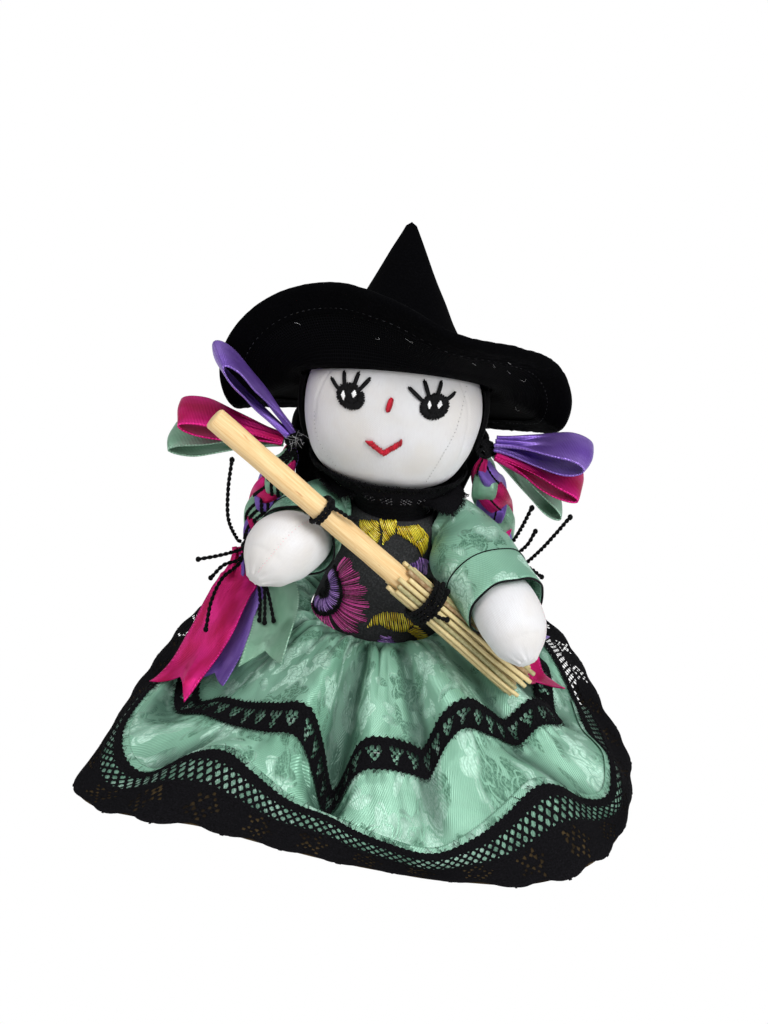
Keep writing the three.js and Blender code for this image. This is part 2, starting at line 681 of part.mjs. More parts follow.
for (const [side, arm] of Object.entries(ARMS)) {
  const out = V(arm.way, 0, 0);
  const rows = [
    rootRow(arm.way, ARM_ROOT_R),
    ...arm.rows.map(([x, y, z, r]) => [arm.way * x, y, z, r, r]),
  ];
  add(side + "_arm", skin(alongRows(rows, 14, 14, V(0, 0, 1), 0, out)), MUSLIN);
  const [cx, cy, cz] = arm.cuff;
  const sleeveRows = [
    rootRow(arm.way, SLEEVE_ROOT_R),
    [arm.way * arm.rows[0][0], arm.rows[0][1], arm.rows[0][2], SLEEVE_ROOT_R + 0.6, SLEEVE_ROOT_R + 0.6],
    [arm.way * (arm.rows[1][0] + 0.9), arm.rows[1][1], arm.rows[1][2], 14.2, 14.2],
    [arm.way * cx, cy, cz, arm.cuffR, arm.cuffR],
  ];
  const outer = alongRows(sleeveRows, 8, 16, V(0, 0, 1), 0, out);
  const inner = alongRows(sleeveRows, 8, 16, V(0, 0, 1), -SATIN, out);
  add(side + "_sleeve", skin([...outer, ...inner.reverse()], true), MINT);
}

// Legs: stuffed tubes, flattened at the seam on the front edge of the seat
const [hipHalfWidth, hipHalfDepth] = throughRows(BODY_ROWS, HIP_Z);
const hipInner = (HIP_X - LEG_ROOT_X) / hipHalfWidth;
const SEAT_FRONT_Y = BODY_Y - hipHalfDepth * Math.sqrt(1 - hipInner ** 2) - GAP;
["right", "left"].forEach((side, k) => {
  const way = k ? 1 : -1;
  const splay = degToRad(LEG_SPLAY);
  const out = (d, z, a, b) => [
    way * (HIP_X + 1.5 + d * Math.sin(splay)),
    SEAT_FRONT_Y - 5 - d * Math.cos(splay),
    z,
    a,
    b,
  ];
  const reach = LEG_LENGTH - 5;
  const rows = [
    [way * HIP_X, SEAT_FRONT_Y, HIP_Z, LEG_ROOT_X, LEG_ROOT_Z],
    out(0, HIP_Z + 2.5, LEG_R, LEG_R * 0.72),
    out(reach * 0.22, LEG_R + 1.2, LEG_R + 0.6, LEG_R + 0.4),
    out(reach * 0.5, LEG_R + 0.8, LEG_R, LEG_R),
    out(reach * 0.76, LEG_R - 0.2, LEG_R - 1, LEG_R - 1),
    out(reach * 0.93, LEG_R - 1.4, LEG_R - 2.6, LEG_R - 2.8),
    out(reach, LEG_R - 2, 1.6, 1.6),
  ];
  add(side + "_leg", skin(alongRows(rows, 15, 14, V(1, 0, 0), 0, V(0, -1, 0))), MUSLIN);
});

// A round cord along a path of points
function cordGeometry(points, radius, steps, sides) {
  const curve = new THREE.CatmullRomCurve3(points, false, "centripetal");
  const frames = curve.computeFrenetFrames(steps, false);
  return skin(
    range(steps + 1).map((i) => {
      const [side, up] = [frames.normals[i], frames.binormals[i]];
      return ring(curve.getPoint(i / steps), side, up, radius, radius, sides);
    }),
  );
}

// Ribbon. Each ring is a flat section with a middle point, so that a free end can be cut to a V.
const RIBBON_CAP = [[0, 1, 4], [0, 4, 5], [1, 2, 3], [1, 3, 4]];
function ribbonRing(centre, wide, normal, width) {
  const corner = (a, b) =>
    centre.clone().addScaledVector(wide, (a * width) / 2).addScaledVector(normal, (b * RIBBON) / 2);
  return [corner(-1, -1), corner(0, -1), corner(1, -1), corner(1, 1), corner(0, 1), corner(-1, 1)];
}

// The spot along a direction from a ball's middle where the section drawn there clears it by the gap
function seatOnBall(middle, radius, direction, sectionAt) {
  const way = direction.clone().normalize();
  let out = radius + 1;
  for (let i = 0; i < 12; i++) {
    const points = sectionAt(middle.clone().addScaledVector(way, out));
    const least = Math.min(...points.map((p) => p.distanceTo(middle)));
    out += radius + GAP - least;
  }
  return middle.clone().addScaledVector(way, out);
}

// Bows, sewn to the head. A loop leaves its knot, runs to its tip and comes back beside itself.
function loopRings(root, tip, stands, bulge, turn) {
  const along = tip.clone().sub(root);
  const side = along.clone().cross(stands).normalize();
  const lift = side.clone().cross(along).normalize();
  const spots = shares(13).map((u) => {
    const t = Math.PI * u;
    const open = Math.sin(t);
    const lean = turn * Math.cos(t);
    return {
      centre: root
        .clone()
        .addScaledVector(along, open ** 0.8)
        .addScaledVector(lift, bulge * Math.sin(2 * t) + 1.1 * Math.cos(t)),
      wide: side.clone().multiplyScalar(Math.cos(lean)).addScaledVector(lift, Math.sin(lean)),
      width: RIBBON_WIDTH * lerp(0.3, 1, smoothstep(open, 0, 0.75)),
    };
  });
  return spots.map(({ centre, wide, width }, i) => {
    const before = spots[Math.max(i - 1, 0)].centre;
    const after = spots[Math.min(i + 1, spots.length - 1)].centre;
    const normal = after.clone().sub(before).cross(wide).normalize();
    return ribbonRing(centre, wide, normal, width);
  });
}
// side, colour, tip, the way the loop stands open, how far it opens, its root from the knot, its twist
const LOOPS = [
  ["right", "purple", V(-65, -21, 148), V(0.75, 0, 0.65), 3.2, V(-2.6, -2.4, 4.8), 0.1],
  ["right", "magenta", V(-79, -12, 119.5), V(0, -0.15, 1), 2.6, V(-5.2, -2.2, -0.4), 0.1],
  ["right", "mint", V(-83, -4, 104.5), V(0, -0.15, 1), 2.4, V(-4.5, 2.6, -3.5), 0.1],
  ["left", "purple", V(65, -15, 125.4), V(0, -0.15, 1), 3.4, V(3.8, -2.4, 4), -0.1],
  ["left", "magenta", V(65, -10, 110.5), V(0.1, -0.15, 1), 2.3, V(5.2, -2.8, -0.6), -0.1],
  ["left", "mint", V(56, 3.4, 94.6), V(0.5, -0.1, 0.8), 2.2, V(4.4, 4.8, -2.2), -0.1],
];
for (const [side, colour, tip, stands, opens, place, turn] of LOOPS) {
  const ends = (root) => {
    const rings = loopRings(root, tip, stands, opens, turn);
    return [...rings[0], ...rings[rings.length - 1]];
  };
  const root = seatOnBall(KNOTS[side], KNOT_R, place, ends);
  const rings = loopRings(root, tip, stands, opens, turn);
  add(side + "_bow_" + colour, skin(rings, false, RIBBON_CAP), RIBBON_COLOURS[colour]);
}

// Braids hang from the bow knots and swing outward about them
const BRAIDS = {
  right: { path: [[-40.2, -2, 102, 3.3], [-45, 3, 88, 5.6], [-50, 6, 73, 5], [-52, 6, 61, 2.8]] },
  left: { path: [[30.3, -2, 108.4, 2.8], [35.4, 4, 96, 5.2], [42, 10, 80.5, 5], [45, 10, 69, 2.8]] },
};
const TIE_R = 3.4;
for (const [side, braid] of Object.entries(BRAIDS)) {
  const knot = KNOTS[side];
  const points = braid.path.map(([x, y, z]) => V(x, y, z));
  const top = knot.clone().add(points[0].clone().sub(knot).setLength(KNOT_R + GAP));
  const rows = [[top.x, top.y, top.z, 1.6, 1.6], ...braid.path.map(([x, y, z, r]) => [x, y, z, r, r * 0.9])];
  add(side + "_braid", skin(alongRows(rows, 13, 8, V(1, 0, 0))), RIBBON_COLOURS.purple);
  const way = points[3].clone().sub(points[2]).normalize();
  braid.tie = points[3].clone().addScaledVector(way, TIE_R + GAP);
}

// The yarn tie under each braid, with short ends, and the longer free ends of the braided yarn
const YARN_ENDS = {
  right: {
    short: [
      [[-56.5, 0.5, 58], [-63, -4, 57.5], [-70, -6, 56]],
      [[-49, 2, 57], [-46, -4, 54], [-43.5, -8.5, 49.5]],
    ],
    long: {
      up: [[-57, 4, 61], [-60.5, 0, 72], [-61.5, 1, 84], [-61, 2, 96]],
      down: [[-55.5, 0, 52.5], [-60, -7, 48], [-64, -14, 42], [-66, -18, 32]],
    },
  },
  left: {
    short: [
      [[48.5, 6, 70], [52, 3, 77], [54, 3.5, 83]],
      [[50.5, 9, 64.5], [56, 12, 61.5], [61.5, 14, 57]],
    ],
    long: {
      up: [[43.5, 4.4, 69], [45, -2, 78], [47.5, -6, 89], [49.5, -8, 99]],
      out: [[52, 6, 66], [57, 3, 75], [61.5, 1, 85], [65, 0, 93]],
    },
  },
};
for (const [side, ends] of Object.entries(YARN_ENDS)) {
  const { tie } = BRAIDS[side];
  let knot = solid(new THREE.SphereGeometry(TIE_R, 10, 7).translate(tie.x, tie.y, tie.z));
  for (const points of ends.short) {
    knot = knot.add(solid(cordGeometry([tie, ...points.map((p) => V(...p))], YARN_R, 5, 8)));
  }
  add(side + "_braid_tie", cutGeometry(knot), BLACK_YARN);
  for (const [name, points] of Object.entries(ends.long)) {
    const first = V(...points[0]);
    const start = tie.clone().add(first.sub(tie).setLength(TIE_R + 2 * GAP));
    const route = [start, ...points.map((p) => V(...p))];
    add(side + "_yarn_" + name, cordGeometry(route, YARN_R, 7, 8), BLACK_YARN);
  }
}

// The top of the cloth over the floor, kept in small square cells, so that ribbons rest on its folds
const CELL = 1.5;
const CELLS = 170;
const clothTops = new Float32Array(CELLS * CELLS);
const cellAt = (x, y) => {
  const column = Math.round(x / CELL) + CELLS / 2;
  return (Math.round(y / CELL) + CELLS / 2) * CELLS + column;
};
function markCloth(geometry, most = Infinity) {
  const place = geometry.getAttribute("position");
  const index = geometry.index;
  const marks = [];
  for (let i = 0; i < index.count; i += 3) {
    const [a, b, c] = [0, 1, 2].map((k) => V(0, 0, 0).fromBufferAttribute(place, index.getX(i + k)));
    const steps = Math.ceil(Math.max(a.distanceTo(b), b.distanceTo(c), c.distanceTo(a)) / 0.9);
    for (let j = 0; j <= steps; j++) {
      for (let k = 0; k <= steps - j; k++) {
        const [u, v] = [j / steps, k / steps];
        const x = a.x * (1 - u - v) + b.x * u + c.x * v;
        const y = a.y * (1 - u - v) + b.y * u + c.y * v;
        marks.push([cellAt(x, y), a.z * (1 - u - v) + b.z * u + c.z * v]);
      }
    }
  }
  for (const mark of marks) mark.push(mark[1] < clothTops[mark[0]] + most);
  for (const [cell, z, near] of marks) if (near) clothTops[cell] = Math.max(clothTops[cell], z);
}
function clothTop(x, y, reach) {
  let top = 0;
  for (let dx = -reach; dx <= reach; dx += CELL) {
    for (let dy = -reach; dy <= reach; dy += CELL) top = Math.max(top, clothTops[cellAt(x + dx, y + dy)]);
  }
  return top;
}
for (const name of ["skirt_upper_tier", "skirt_mid_lace", "skirt_lower_tier", "skirt_hem_lace"]) {
  markCloth(doll.getObjectByName(name).geometry);
}

// Ribbon tails leave the underside of each tie and run over the skirt: where they begin beside the
// tie, and the points that their middles pass over
const NOTCH = 8;
const TAIL_REACH = 3;
const TAILS = [
  ["right", "mint", [5.4, -0.6, -3], [[-40.5, 3, 46], [-36.8, -4], [-34, -14], [-31, -26], [-29, -33]]],
  [
    "right",
    "purple",
    [-1.6, 0.6, -5.4],
    [[-51.6, 1, 44], [-51, -6], [-51.4, -14.5], [-54, -21], [-55.5, -29]],
  ],
  [
    "right",
    "magenta",
    [-5, 3.2, -3],
    [[-61.4, 5.8, 44], [-64.2, 1], [-66, -6.4], [-69.6, -12.8], [-73.2, -20], [-76, -28.5]],
  ],
  ["left", "mint", [-3.6, 3.4, -3.6], [[42, 19, 50], [42.5, 27], [44, 37], [46, 47], [47, 54]]],
  ["left", "purple", [3, 4.4, -3.4], [[52, 19, 50], [58, 23], [64, 29], [69, 35], [73, 41]]],
  ["left", "magenta", [3.6, -3.4, -3.8], [[53, 5, 52], [58, 3], [62.5, 0], [67, -4], [70.6, -11]]],
];
function tailRings(start, route) {
  const points = [start, ...route.map(([x, y, z = clothTop(x, y, TAIL_REACH) + 1.5]) => V(x, y, z))];
  const curve = new THREE.CatmullRomCurve3(points, false, "centripetal");
  const lastSpan = (NOTCH + 2) / curve.getLength();
  return [...shares(8).map((u) => u * (1 - lastSpan)), 1].map((u) => {
    const centre = curve.getPointAt(u);
    const way = curve.getTangentAt(u);
    const wide = V(way.y, -way.x, 0).normalize();
    const normal = wide.clone().cross(way).normalize();
    if (normal.z < 0) normal.negate();
    const section = ribbonRing(centre, wide, normal, RIBBON_WIDTH * lerp(0.33, 1, smoothstep(u, 0.08, 0.55)));
    if (u === 1) for (const i of [1, 4]) section[i].addScaledVector(way, -NOTCH);
    // each point is lifted clear of the cloth under it, the upper face by the ribbon's thickness more
    for (const [low, high] of [[0, 5], [1, 4], [2, 3]]) {
      const point = section[low];
      const lack = clothTop(point.x, point.y, TAIL_REACH) + GAP + 0.1 - point.z;
      if (lack > 0) {
        point.z += lack;
        section[high].z += lack;
      }
    }
    return section;
  });
}
for (const [side, colour, place, route] of TAILS) {
  const { tie } = BRAIDS[side];
  const start = seatOnBall(tie, TIE_R, V(...place), (spot) => tailRings(spot, route)[0]);
  const rings = tailRings(start, route);
  const tail = skin(rings, false, RIBBON_CAP);
  markCloth(tail, 11);
  let length = 0;
  for (let i = 1; i < rings.length; i++) length += rings[i][0].distanceTo(rings[i - 1][0]);
  console.log(side, colour, "tail", length.toFixed(0), "mm long");
  add(side + "_tail_" + colour, tail, RIBBON_COLOURS[colour]);
}

// Broom: a dowel with straws bound round its lower end
const broomWay = BROOM_END.clone().sub(BROOM_TOP);
const BROOM_LENGTH = broomWay.length();
broomWay.normalize();
const broomSide = V(0, -1, 0).addScaledVector(broomWay, broomWay.y).normalize();
const broomUp = broomWay.clone().cross(broomSide).normalize();
const onBroom = (share, a = 0, b = 0) =>
  BROOM_TOP.clone()
    .addScaledVector(broomWay, BROOM_LENGTH * share)
    .addScaledVector(broomSide, a)
    .addScaledVector(broomUp, b);
const broomRing = (share, r, count = 16) => ring(onBroom(share), broomSide, broomUp, r, r, count);
const DOWEL_END_SHARE = BINDING_SHARE + 0.02;
add(
  "broom_handle",
  skin([broomRing(0, DOWEL_R - 0.5), broomRing(0.004, DOWEL_R), broomRing(DOWEL_END_SHARE, DOWEL_R)]),
  WOOD,
);
// A slice of packed straw at the binding joins the ring of straws and the core beyond the dowel's end
const STRAW_RING_R = DOWEL_R + GAP + STRAW_R;
const sliceFrom = BINDING_SHARE - 0.014;
const sliceTo = BINDING_SHARE + 0.03;
const slice = solid(skin([broomRing(sliceFrom, STRAW_RING_R), broomRing(sliceTo, STRAW_RING_R)]));
const dowelRoom = solid(
  skin([broomRing(sliceFrom - 0.1, DOWEL_R + GAP), broomRing(DOWEL_END_SHARE + 0.003, DOWEL_R + GAP)]),
);
const BROOM_RINGS = [
  { r: STRAW_RING_R, count: 16, from: BUTT_SHARE, spread: 1.14 },
  { r: 0.6 * DOWEL_R, count: 6, from: sliceTo - 0.006, spread: 1.35 },
];
const UNEVEN = 2.4; // radians between neighbours, so that no two straws end alike
let straws = slice.subtract(dowelRoom);
BROOM_RINGS.forEach(({ r, count, from, spread }, k) => {
  for (let i = 0; i < count; i++) {
    const t = (2 * Math.PI * i) / count + 0.2 * k;
    const start = from + (k ? 0 : 0.012 * Math.sin(UNEVEN * i));
    const end = 1 - 0.012 * (1 + Math.cos(UNEVEN * (i + 5 * k)));
    const sections = [start, Math.max(BINDING_SHARE, start + 0.002), end].map((share) => {
      const reach = r * lerp(1, spread, clamp((share - BINDING_SHARE) / (1 - BINDING_SHARE), 0, 1));
      const centre = onBroom(share, reach * Math.cos(t), reach * Math.sin(t));
      return ring(centre, broomSide, broomUp, STRAW_R, STRAW_R, 5);
    });
    straws = straws.add(solid(skin(sections)));
  }
});
add("broom_straws", cutGeometry(straws), STRAW);

// Thread wound round the broom is one unbroken cord that climbs steadily along it
function windingGeometry(name, share, radius, turns, cordR) {
  const pitch = 2 * cordR + 0.6;
  const points = range(turns * 24 + 1).map((i) => {
    const t = (2 * Math.PI * i) / 24 + 2.4;
    const shift = pitch * (i / 24 - turns / 2);
    return onBroom(share + shift / BROOM_LENGTH, radius * Math.cos(t), radius * Math.sin(t));
  });
  const frames = points.map((p, i) => {
    const after = points[Math.min(i + 1, points.length - 1)];
    const way = after.clone().sub(points[Math.max(i - 1, 0)]).normalize();
    const side = broomWay.clone().addScaledVector(way, -broomWay.dot(way)).normalize();
    return ring(p, side, way.clone().cross(side).normalize(), cordR, cordR, 6);
  });
  let least = Infinity;
  points.forEach((p, i) => {
    // points less than two thirds of a turn apart are the same turn
    for (const q of points.slice(i + 16)) least = Math.min(least, p.distanceTo(q) - 2 * cordR);
  });
  console.log(name, "least gap to itself", least.toFixed(2), "mm");
  return skin(frames);
}
const BINDING_CORD_R = 0.85;
const TIE_CORD_R = 0.75;
const WINDINGS = [
  ["broom_binding", BINDING_SHARE, STRAW_RING_R + STRAW_R + GAP + BINDING_CORD_R, 2.5, BINDING_CORD_R],
  ["hand_tie", HAND_TIE_SHARE, DOWEL_R + GAP + TIE_CORD_R, 2, TIE_CORD_R],
];
for (const [name, share, radius, turns, cordR] of WINDINGS) {
  add(name, windingGeometry(name, share, radius, turns, cordR), BLACK_YARN);
}

export default doll;
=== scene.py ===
# %% [markdown]
# # A seated rag doll with a pointed hat, ribboned braids, a laced satin skirt and a straw broom
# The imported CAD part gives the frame: where every piece sits and which body it moves with. Here each
# soft piece is worked out again as a fuller surface, because on a cloth doll the cloth is what one
# looks at. It could be sculpted by hand or simulated. Formulas were chosen, so that each fold stays
# where the real doll has it and the script makes the same doll every time. Sizes are written in
# millimetres, as in the part's source, and are turned into metres once, where a mesh is made. The
# doll faces -Y, and right and left are its own.

# %% Load the frame
import math

import bpy
import numpy as np
from mathutils import Matrix


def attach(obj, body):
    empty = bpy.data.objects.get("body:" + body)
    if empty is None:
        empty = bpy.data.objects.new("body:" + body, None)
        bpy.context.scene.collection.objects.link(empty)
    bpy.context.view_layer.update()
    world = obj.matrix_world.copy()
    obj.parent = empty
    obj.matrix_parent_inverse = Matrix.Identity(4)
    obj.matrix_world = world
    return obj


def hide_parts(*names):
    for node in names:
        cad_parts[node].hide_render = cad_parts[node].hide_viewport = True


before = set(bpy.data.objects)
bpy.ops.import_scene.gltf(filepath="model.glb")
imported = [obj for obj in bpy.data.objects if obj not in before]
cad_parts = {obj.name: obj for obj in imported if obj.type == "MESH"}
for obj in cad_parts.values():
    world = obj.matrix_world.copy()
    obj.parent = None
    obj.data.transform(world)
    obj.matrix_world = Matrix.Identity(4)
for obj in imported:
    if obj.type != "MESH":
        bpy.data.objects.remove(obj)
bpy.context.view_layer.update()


MM = 0.001
rng = np.random.default_rng(7)
GAP = 0.35  # air left between two neighbouring solids
SATIN, LACE, FELT, RIBBON = 0.8, 0.8, 1.2, 0.7  # how thick each cloth's solid is

# %% [markdown]
# The camera comes first. The photograph looks down at the doll by thirty degrees and leans a little to
# one side, so the camera is built from those two angles and a distance. It could be aimed with a
# constraint, but a matrix of its three own directions leaves nothing to guess. Two large lamps and a
# pale sky give plain soft light, in which every colour shows about as it is written.

# %% Camera
def vector(*parts):
    """Numbers as one array."""
    return np.array(parts, float)


def unit(v):
    """A vector divided by its own length."""
    v = np.asarray(v, float)
    return v / np.maximum(np.linalg.norm(v, axis=-1, keepdims=True), 1e-9)


def placed(name, data, x, y, z, spot):
    """An object of the scene whose own axes point along x, y and z, at a spot in millimetres."""
    made = bpy.data.objects.new(name, data)
    bpy.context.scene.collection.objects.link(made)
    made.matrix_world = Matrix([[x[k], y[k], z[k], spot[k] * MM] for k in range(3)] + [[0, 0, 0, 1]])
    return made


CAMERA_TARGET, CAMERA_DISTANCE = vector(-3, -10, 90), 480
CAMERA_HEIGHT, CAMERA_ROLL = math.radians(30), math.radians(8)
back = vector(0, -math.cos(CAMERA_HEIGHT), math.sin(CAMERA_HEIGHT))
level = vector(1, 0, 0)
right = level * math.cos(CAMERA_ROLL) + np.cross(back, level) * math.sin(CAMERA_ROLL)
spot = CAMERA_TARGET + back * CAMERA_DISTANCE
camera = placed("camera", bpy.data.cameras.new("camera"), right, np.cross(back, right), back, spot)
camera.data.sensor_width, camera.data.lens, camera.data.clip_start = 36, 46.6, 0.01
bpy.context.scene.camera = camera
bpy.context.scene.view_settings.view_transform = "Standard"
print("camera at", [round(float(x)) for x in spot], "mm")


# %% Lamps
def soft_lamp(name, place, aim, size, power):
    """A square area lamp at a place in millimetres, turned towards a point."""
    lamp = bpy.data.lights.new(name, "AREA")
    lamp.size, lamp.energy = size * MM, power
    z = unit(vector(*place) - vector(*aim))
    x = unit(np.cross(vector(0, 1, 0.01), z))
    placed(name, lamp, x, np.cross(z, x), z, place)


soft_lamp("window", (420, -480, 780), (0, 0, 70), 560, 8.0)
soft_lamp("ceiling", (-380, -60, 820), (0, 0, 60), 700, 3.3)

# %% [markdown]
# A material here is a small chain of nodes, which could be wired one by one. This helper keeps each
# chain to one readable line per node: it adds a node, sets what is constant on the node's own sockets
# and links the rest. Patterns read either the object's own millimetre space or the cloth's flat one.

# %% A helper for node materials
def colour(text):
    """A colour written as rrggbb, as the linear numbers that Blender mixes."""
    parts = [int(text[i : i + 2], 16) / 255 for i in (0, 2, 4)]
    linear = [c / 12.92 if c <= 0.04045 else ((c + 0.055) / 1.055) ** 2.4 for c in parts]
    return (*linear, 1.0)


class Finish:
    """One material and its node tree; every method adds a node and returns its output."""

    def __init__(self, name, **constants):
        """A new material, whose shader's own sockets are set to the given constants."""
        self.material = bpy.data.materials.new(name)
        self.material.use_nodes = True
        self.tree = self.material.node_tree
        self.shader = self.tree.nodes["Principled BSDF"]
        for key, value in constants.items():
            self.fill(self.shader.inputs[key.replace("_", " ")], value)
        print("finish", name)

    def fill(self, socket, value):
        """Links a socket to another node's output, or sets it to a constant or a written colour."""
        if isinstance(value, bpy.types.NodeSocket):
            self.tree.links.new(value, socket)
        else:
            socket.default_value = colour(value) if isinstance(value, str) else value

    def node(self, kind, settings=(), **inputs):
        """Any node: its settings, then its sockets by name, or by number as i0, i1, i2."""
        made = self.tree.nodes.new("ShaderNode" + kind)
        for key, value in dict(settings).items():
            setattr(made, key, value)
        for key, value in inputs.items():
            numbered = key[0] == "i" and key[1:].isdigit()
            self.fill(made.inputs[int(key[1:]) if numbered else key.replace("_", " ")], value)
        return made

    def place(self):
        """Where a point is in the object's own space."""
        return self.node("TexCoord").outputs["Object"]

    def uv(self):
        """Where a point is on the flat cloth, in millimetres."""
        return self.node("TexCoord").outputs["UV"]

    def attribute(self, name):
        """A number that the mesh carries at each point."""
        return self.node("Attribute", {"attribute_name": name}).outputs["Fac"]

    def math(self, operation, a, b=0.0, c=0.0):
        """One sum on numbers, by Blender's own name for it."""
        return self.node("Math", {"operation": operation}, i0=a, i1=b, i2=c).outputs[0]

    def times(self, a, b):
        """a times b."""
        return self.math("MULTIPLY", a, b)

    def times_plus(self, a, b, c):
        """a times b, plus c."""
        return self.math("MULTIPLY_ADD", a, b, c)

    def wave(self, value, period):
        """A wave of a length in millimetres: the sine of the value times two pi over the length."""
        return self.math("SINE", self.times_plus(value, 2 * math.pi / period, 0.0))

    def vmath(self, operation, a, b=(0, 0, 0)):
        """One sum on places or directions."""
        return self.node("VectorMath", {"operation": operation}, i0=a, i1=b).outputs[0]

    def scaled(self, vector_, by):
        """A place with each coordinate times its own factor, which stretches a pattern."""
        return self.node("Mapping", {}, Vector=vector_, Scale=by).outputs[0]

    def noise(self, vector_, scale, detail=3.0, rough=0.55):
        """A cloudy number between 0 and 1; a larger scale gives smaller clouds."""
        made = self.node("TexNoise", {}, Vector=vector_, Scale=scale, Detail=detail, Roughness=rough)
        return made.outputs[0]

    def axis(self, vector_, which):
        """One coordinate of a place: 0, 1 or 2."""
        return self.node("SeparateXYZ", {}, Vector=vector_).outputs[which]

    def ramp(self, value, low, high, to_low=0.0, to_high=1.0):
        """A soft step from one number below low to another above high."""
        settings = {"clamp": True, "interpolation_type": "SMOOTHSTEP"}
        ends = {"From_Min": low, "From_Max": high, "To_Min": to_low, "To_Max": to_high}
        return self.node("MapRange", settings, Value=value, **ends).outputs[0]

    def blend(self, share, a, b):
        """Colour a where the share is 0, b where it is 1, and a mix between."""
        return self.node("Mix", {"data_type": "RGBA"}, i0=share, i6=a, i7=b).outputs[2]

    def give(self, **sockets):
        """Links outputs to the shader's own sockets."""
        for key, value in sockets.items():
            self.tree.links.new(value, self.shader.inputs[key.replace("_", " ")])
        return self.material

    def bump(self, height, distance, strength=1.0):
        """Fine relief: a height from 0 to 1 that stands for a distance in millimetres."""
        depth = {"Distance": distance * MM, "Strength": strength}
        return self.give(Normal=self.node("Bump", {}, Height=height, **depth).outputs[0])


# %% Floor and background
def pale_floor(half=8.0):
    """Pale paper that the camera sees as white, while it still takes a soft shadow."""
    f = Finish("pale_paper", Base_Color="f4f4f4", Roughness=0.9, Specular_IOR_Level=0.1)
    camera_ray = f.node("LightPath").outputs["Is Camera Ray"]
    glow = f.node("Emission", {}, Color=(1, 1, 1, 1), Strength=1.0).outputs[0]
    share = f.times(camera_ray, 1.0)
    mixed = f.node("MixShader", {}, i0=share, i1=f.shader.outputs[0], i2=glow).outputs[0]
    f.tree.links.new(mixed, f.tree.nodes["Material Output"].inputs["Surface"])
    mesh = bpy.data.meshes.new("floor")
    corners = [(-half, -half, 0), (half, -half, 0), (half, half, 0), (-half, half, 0)]
    mesh.from_pydata(corners, [], [(0, 1, 2, 3)])
    mesh.materials.append(f.material)
    floor = bpy.data.objects.new("floor", mesh)
    bpy.context.scene.collection.objects.link(floor)


pale_floor()
SKY_LIGHT, SKY_SEEN = 0.34, 1.0
world = bpy.data.worlds.new("studio")
bpy.context.scene.world = world
world.use_nodes = True
sky = world.node_tree.nodes["Background"]
sky.inputs["Color"].default_value = (1, 1, 1, 1)
ray = world.node_tree.nodes.new("ShaderNodeLightPath")
strength = world.node_tree.nodes.new("ShaderNodeMapRange")
strength.inputs["To Min"].default_value = SKY_LIGHT
strength.inputs["To Max"].default_value = SKY_SEEN
world.node_tree.links.new(ray.outputs["Is Camera Ray"], strength.inputs["Value"])
world.node_tree.links.new(strength.outputs["Result"], sky.inputs["Strength"])

# %% [markdown]
# Most pieces are drawn from rows of measured numbers, a few millimetres or degrees apart. A cubic from
# row to row gives a smooth outline, and unlike a spline tool it can be asked for any place at once.

# %% Smooth curves through measured rows
def hermite(knots, values, at, period=0.0):
    """Smooth values between rows: on each span a cubic takes both ends and, at each end, the slope of
    the line through the two neighbours. Values may have any shape after their first axis."""
    knots, values, at = np.asarray(knots, float), np.asarray(values, float), np.asarray(at, float)
    if period:
        at = (at - knots[0]) % period + knots[0]
        knots = np.concatenate([knots[-2:] - period, knots, knots[:3] + period])
        values = np.concatenate([values[-2:], values, values[:3]])
    else:
        knots = np.concatenate([knots[:1], knots, knots[-1:]])
        values = np.concatenate([values[:1], values, values[-1:]])
    i = np.clip(np.searchsorted(knots[1:-1], at, side="right"), 1, len(knots) - 3)
    k0, k1, k2, k3 = (knots[i + d] for d in (-1, 0, 1, 2))
    v0, v1, v2, v3 = (values[i + d] for d in (-1, 0, 1, 2))
    wide = (...,) + (None,) * (values.ndim - 1)
    span = k2 - k1
    u = np.clip((at - k1) / span, 0, 1)[wide]
    into = ((span / (k2 - k0))[wide]) * (v2 - v0)
    out = ((span / (k3 - k1))[wide]) * (v3 - v1)
    start, end = 2 * u**3 - 3 * u**2 + 1, 3 * u**2 - 2 * u**3
    return start * v1 + (u**3 - 2 * u**2 + u) * into + end * v2 + (u**3 - u**2) * out


def through(rows, at, period=0.0):
    """Rows of [place, value, value ...], read smoothly at other places."""
    rows = np.array(rows, float)
    return hermite(rows[:, 0], rows[:, 1:], at, period)


def smoothstep(x, low, high):
    """0 below low, 1 above high, and three t squared less two t cubed between."""
    t = np.clip((np.asarray(x, float) - low) / (high - low), 0, 1)
    return t * t * (3 - 2 * t)


def steps_of(path, power=1.0):
    """How far along a path each of its points lies: the sum of the steps before it, each raised to a
    power where that is asked for."""
    return np.concatenate([[0], np.cumsum(np.linalg.norm(np.diff(path, axis=0), axis=1) ** power)])


def read_evenly(path, along, at):
    """A path's coordinates read at other lengths along it."""
    return np.stack([np.interp(at, along, path[:, k]) for k in range(path.shape[1])], axis=1)


def curve_through(points, count):
    """A smooth curve through points, sampled evenly along its length. Its knots are spaced by the
    square root of the distance between points, which keeps it from swinging wide."""
    points = np.asarray(points, float)
    knots = steps_of(points, 0.5)
    fine = hermite(knots, points, np.linspace(0, knots[-1], 400))
    along = steps_of(fine)
    return read_evenly(fine, along, np.linspace(0, along[-1], count))


# %% [markdown]
# Most pieces are grids: a shape is a function of two parameters, computed for the whole grid at once.
# A grid may wrap round like a tube, close on itself like a shell, or have holes where a mask says so.
# Each grid also remembers where its points lie on the flat cloth, so that weave and brocade follow
# the folds as they do on real cloth.

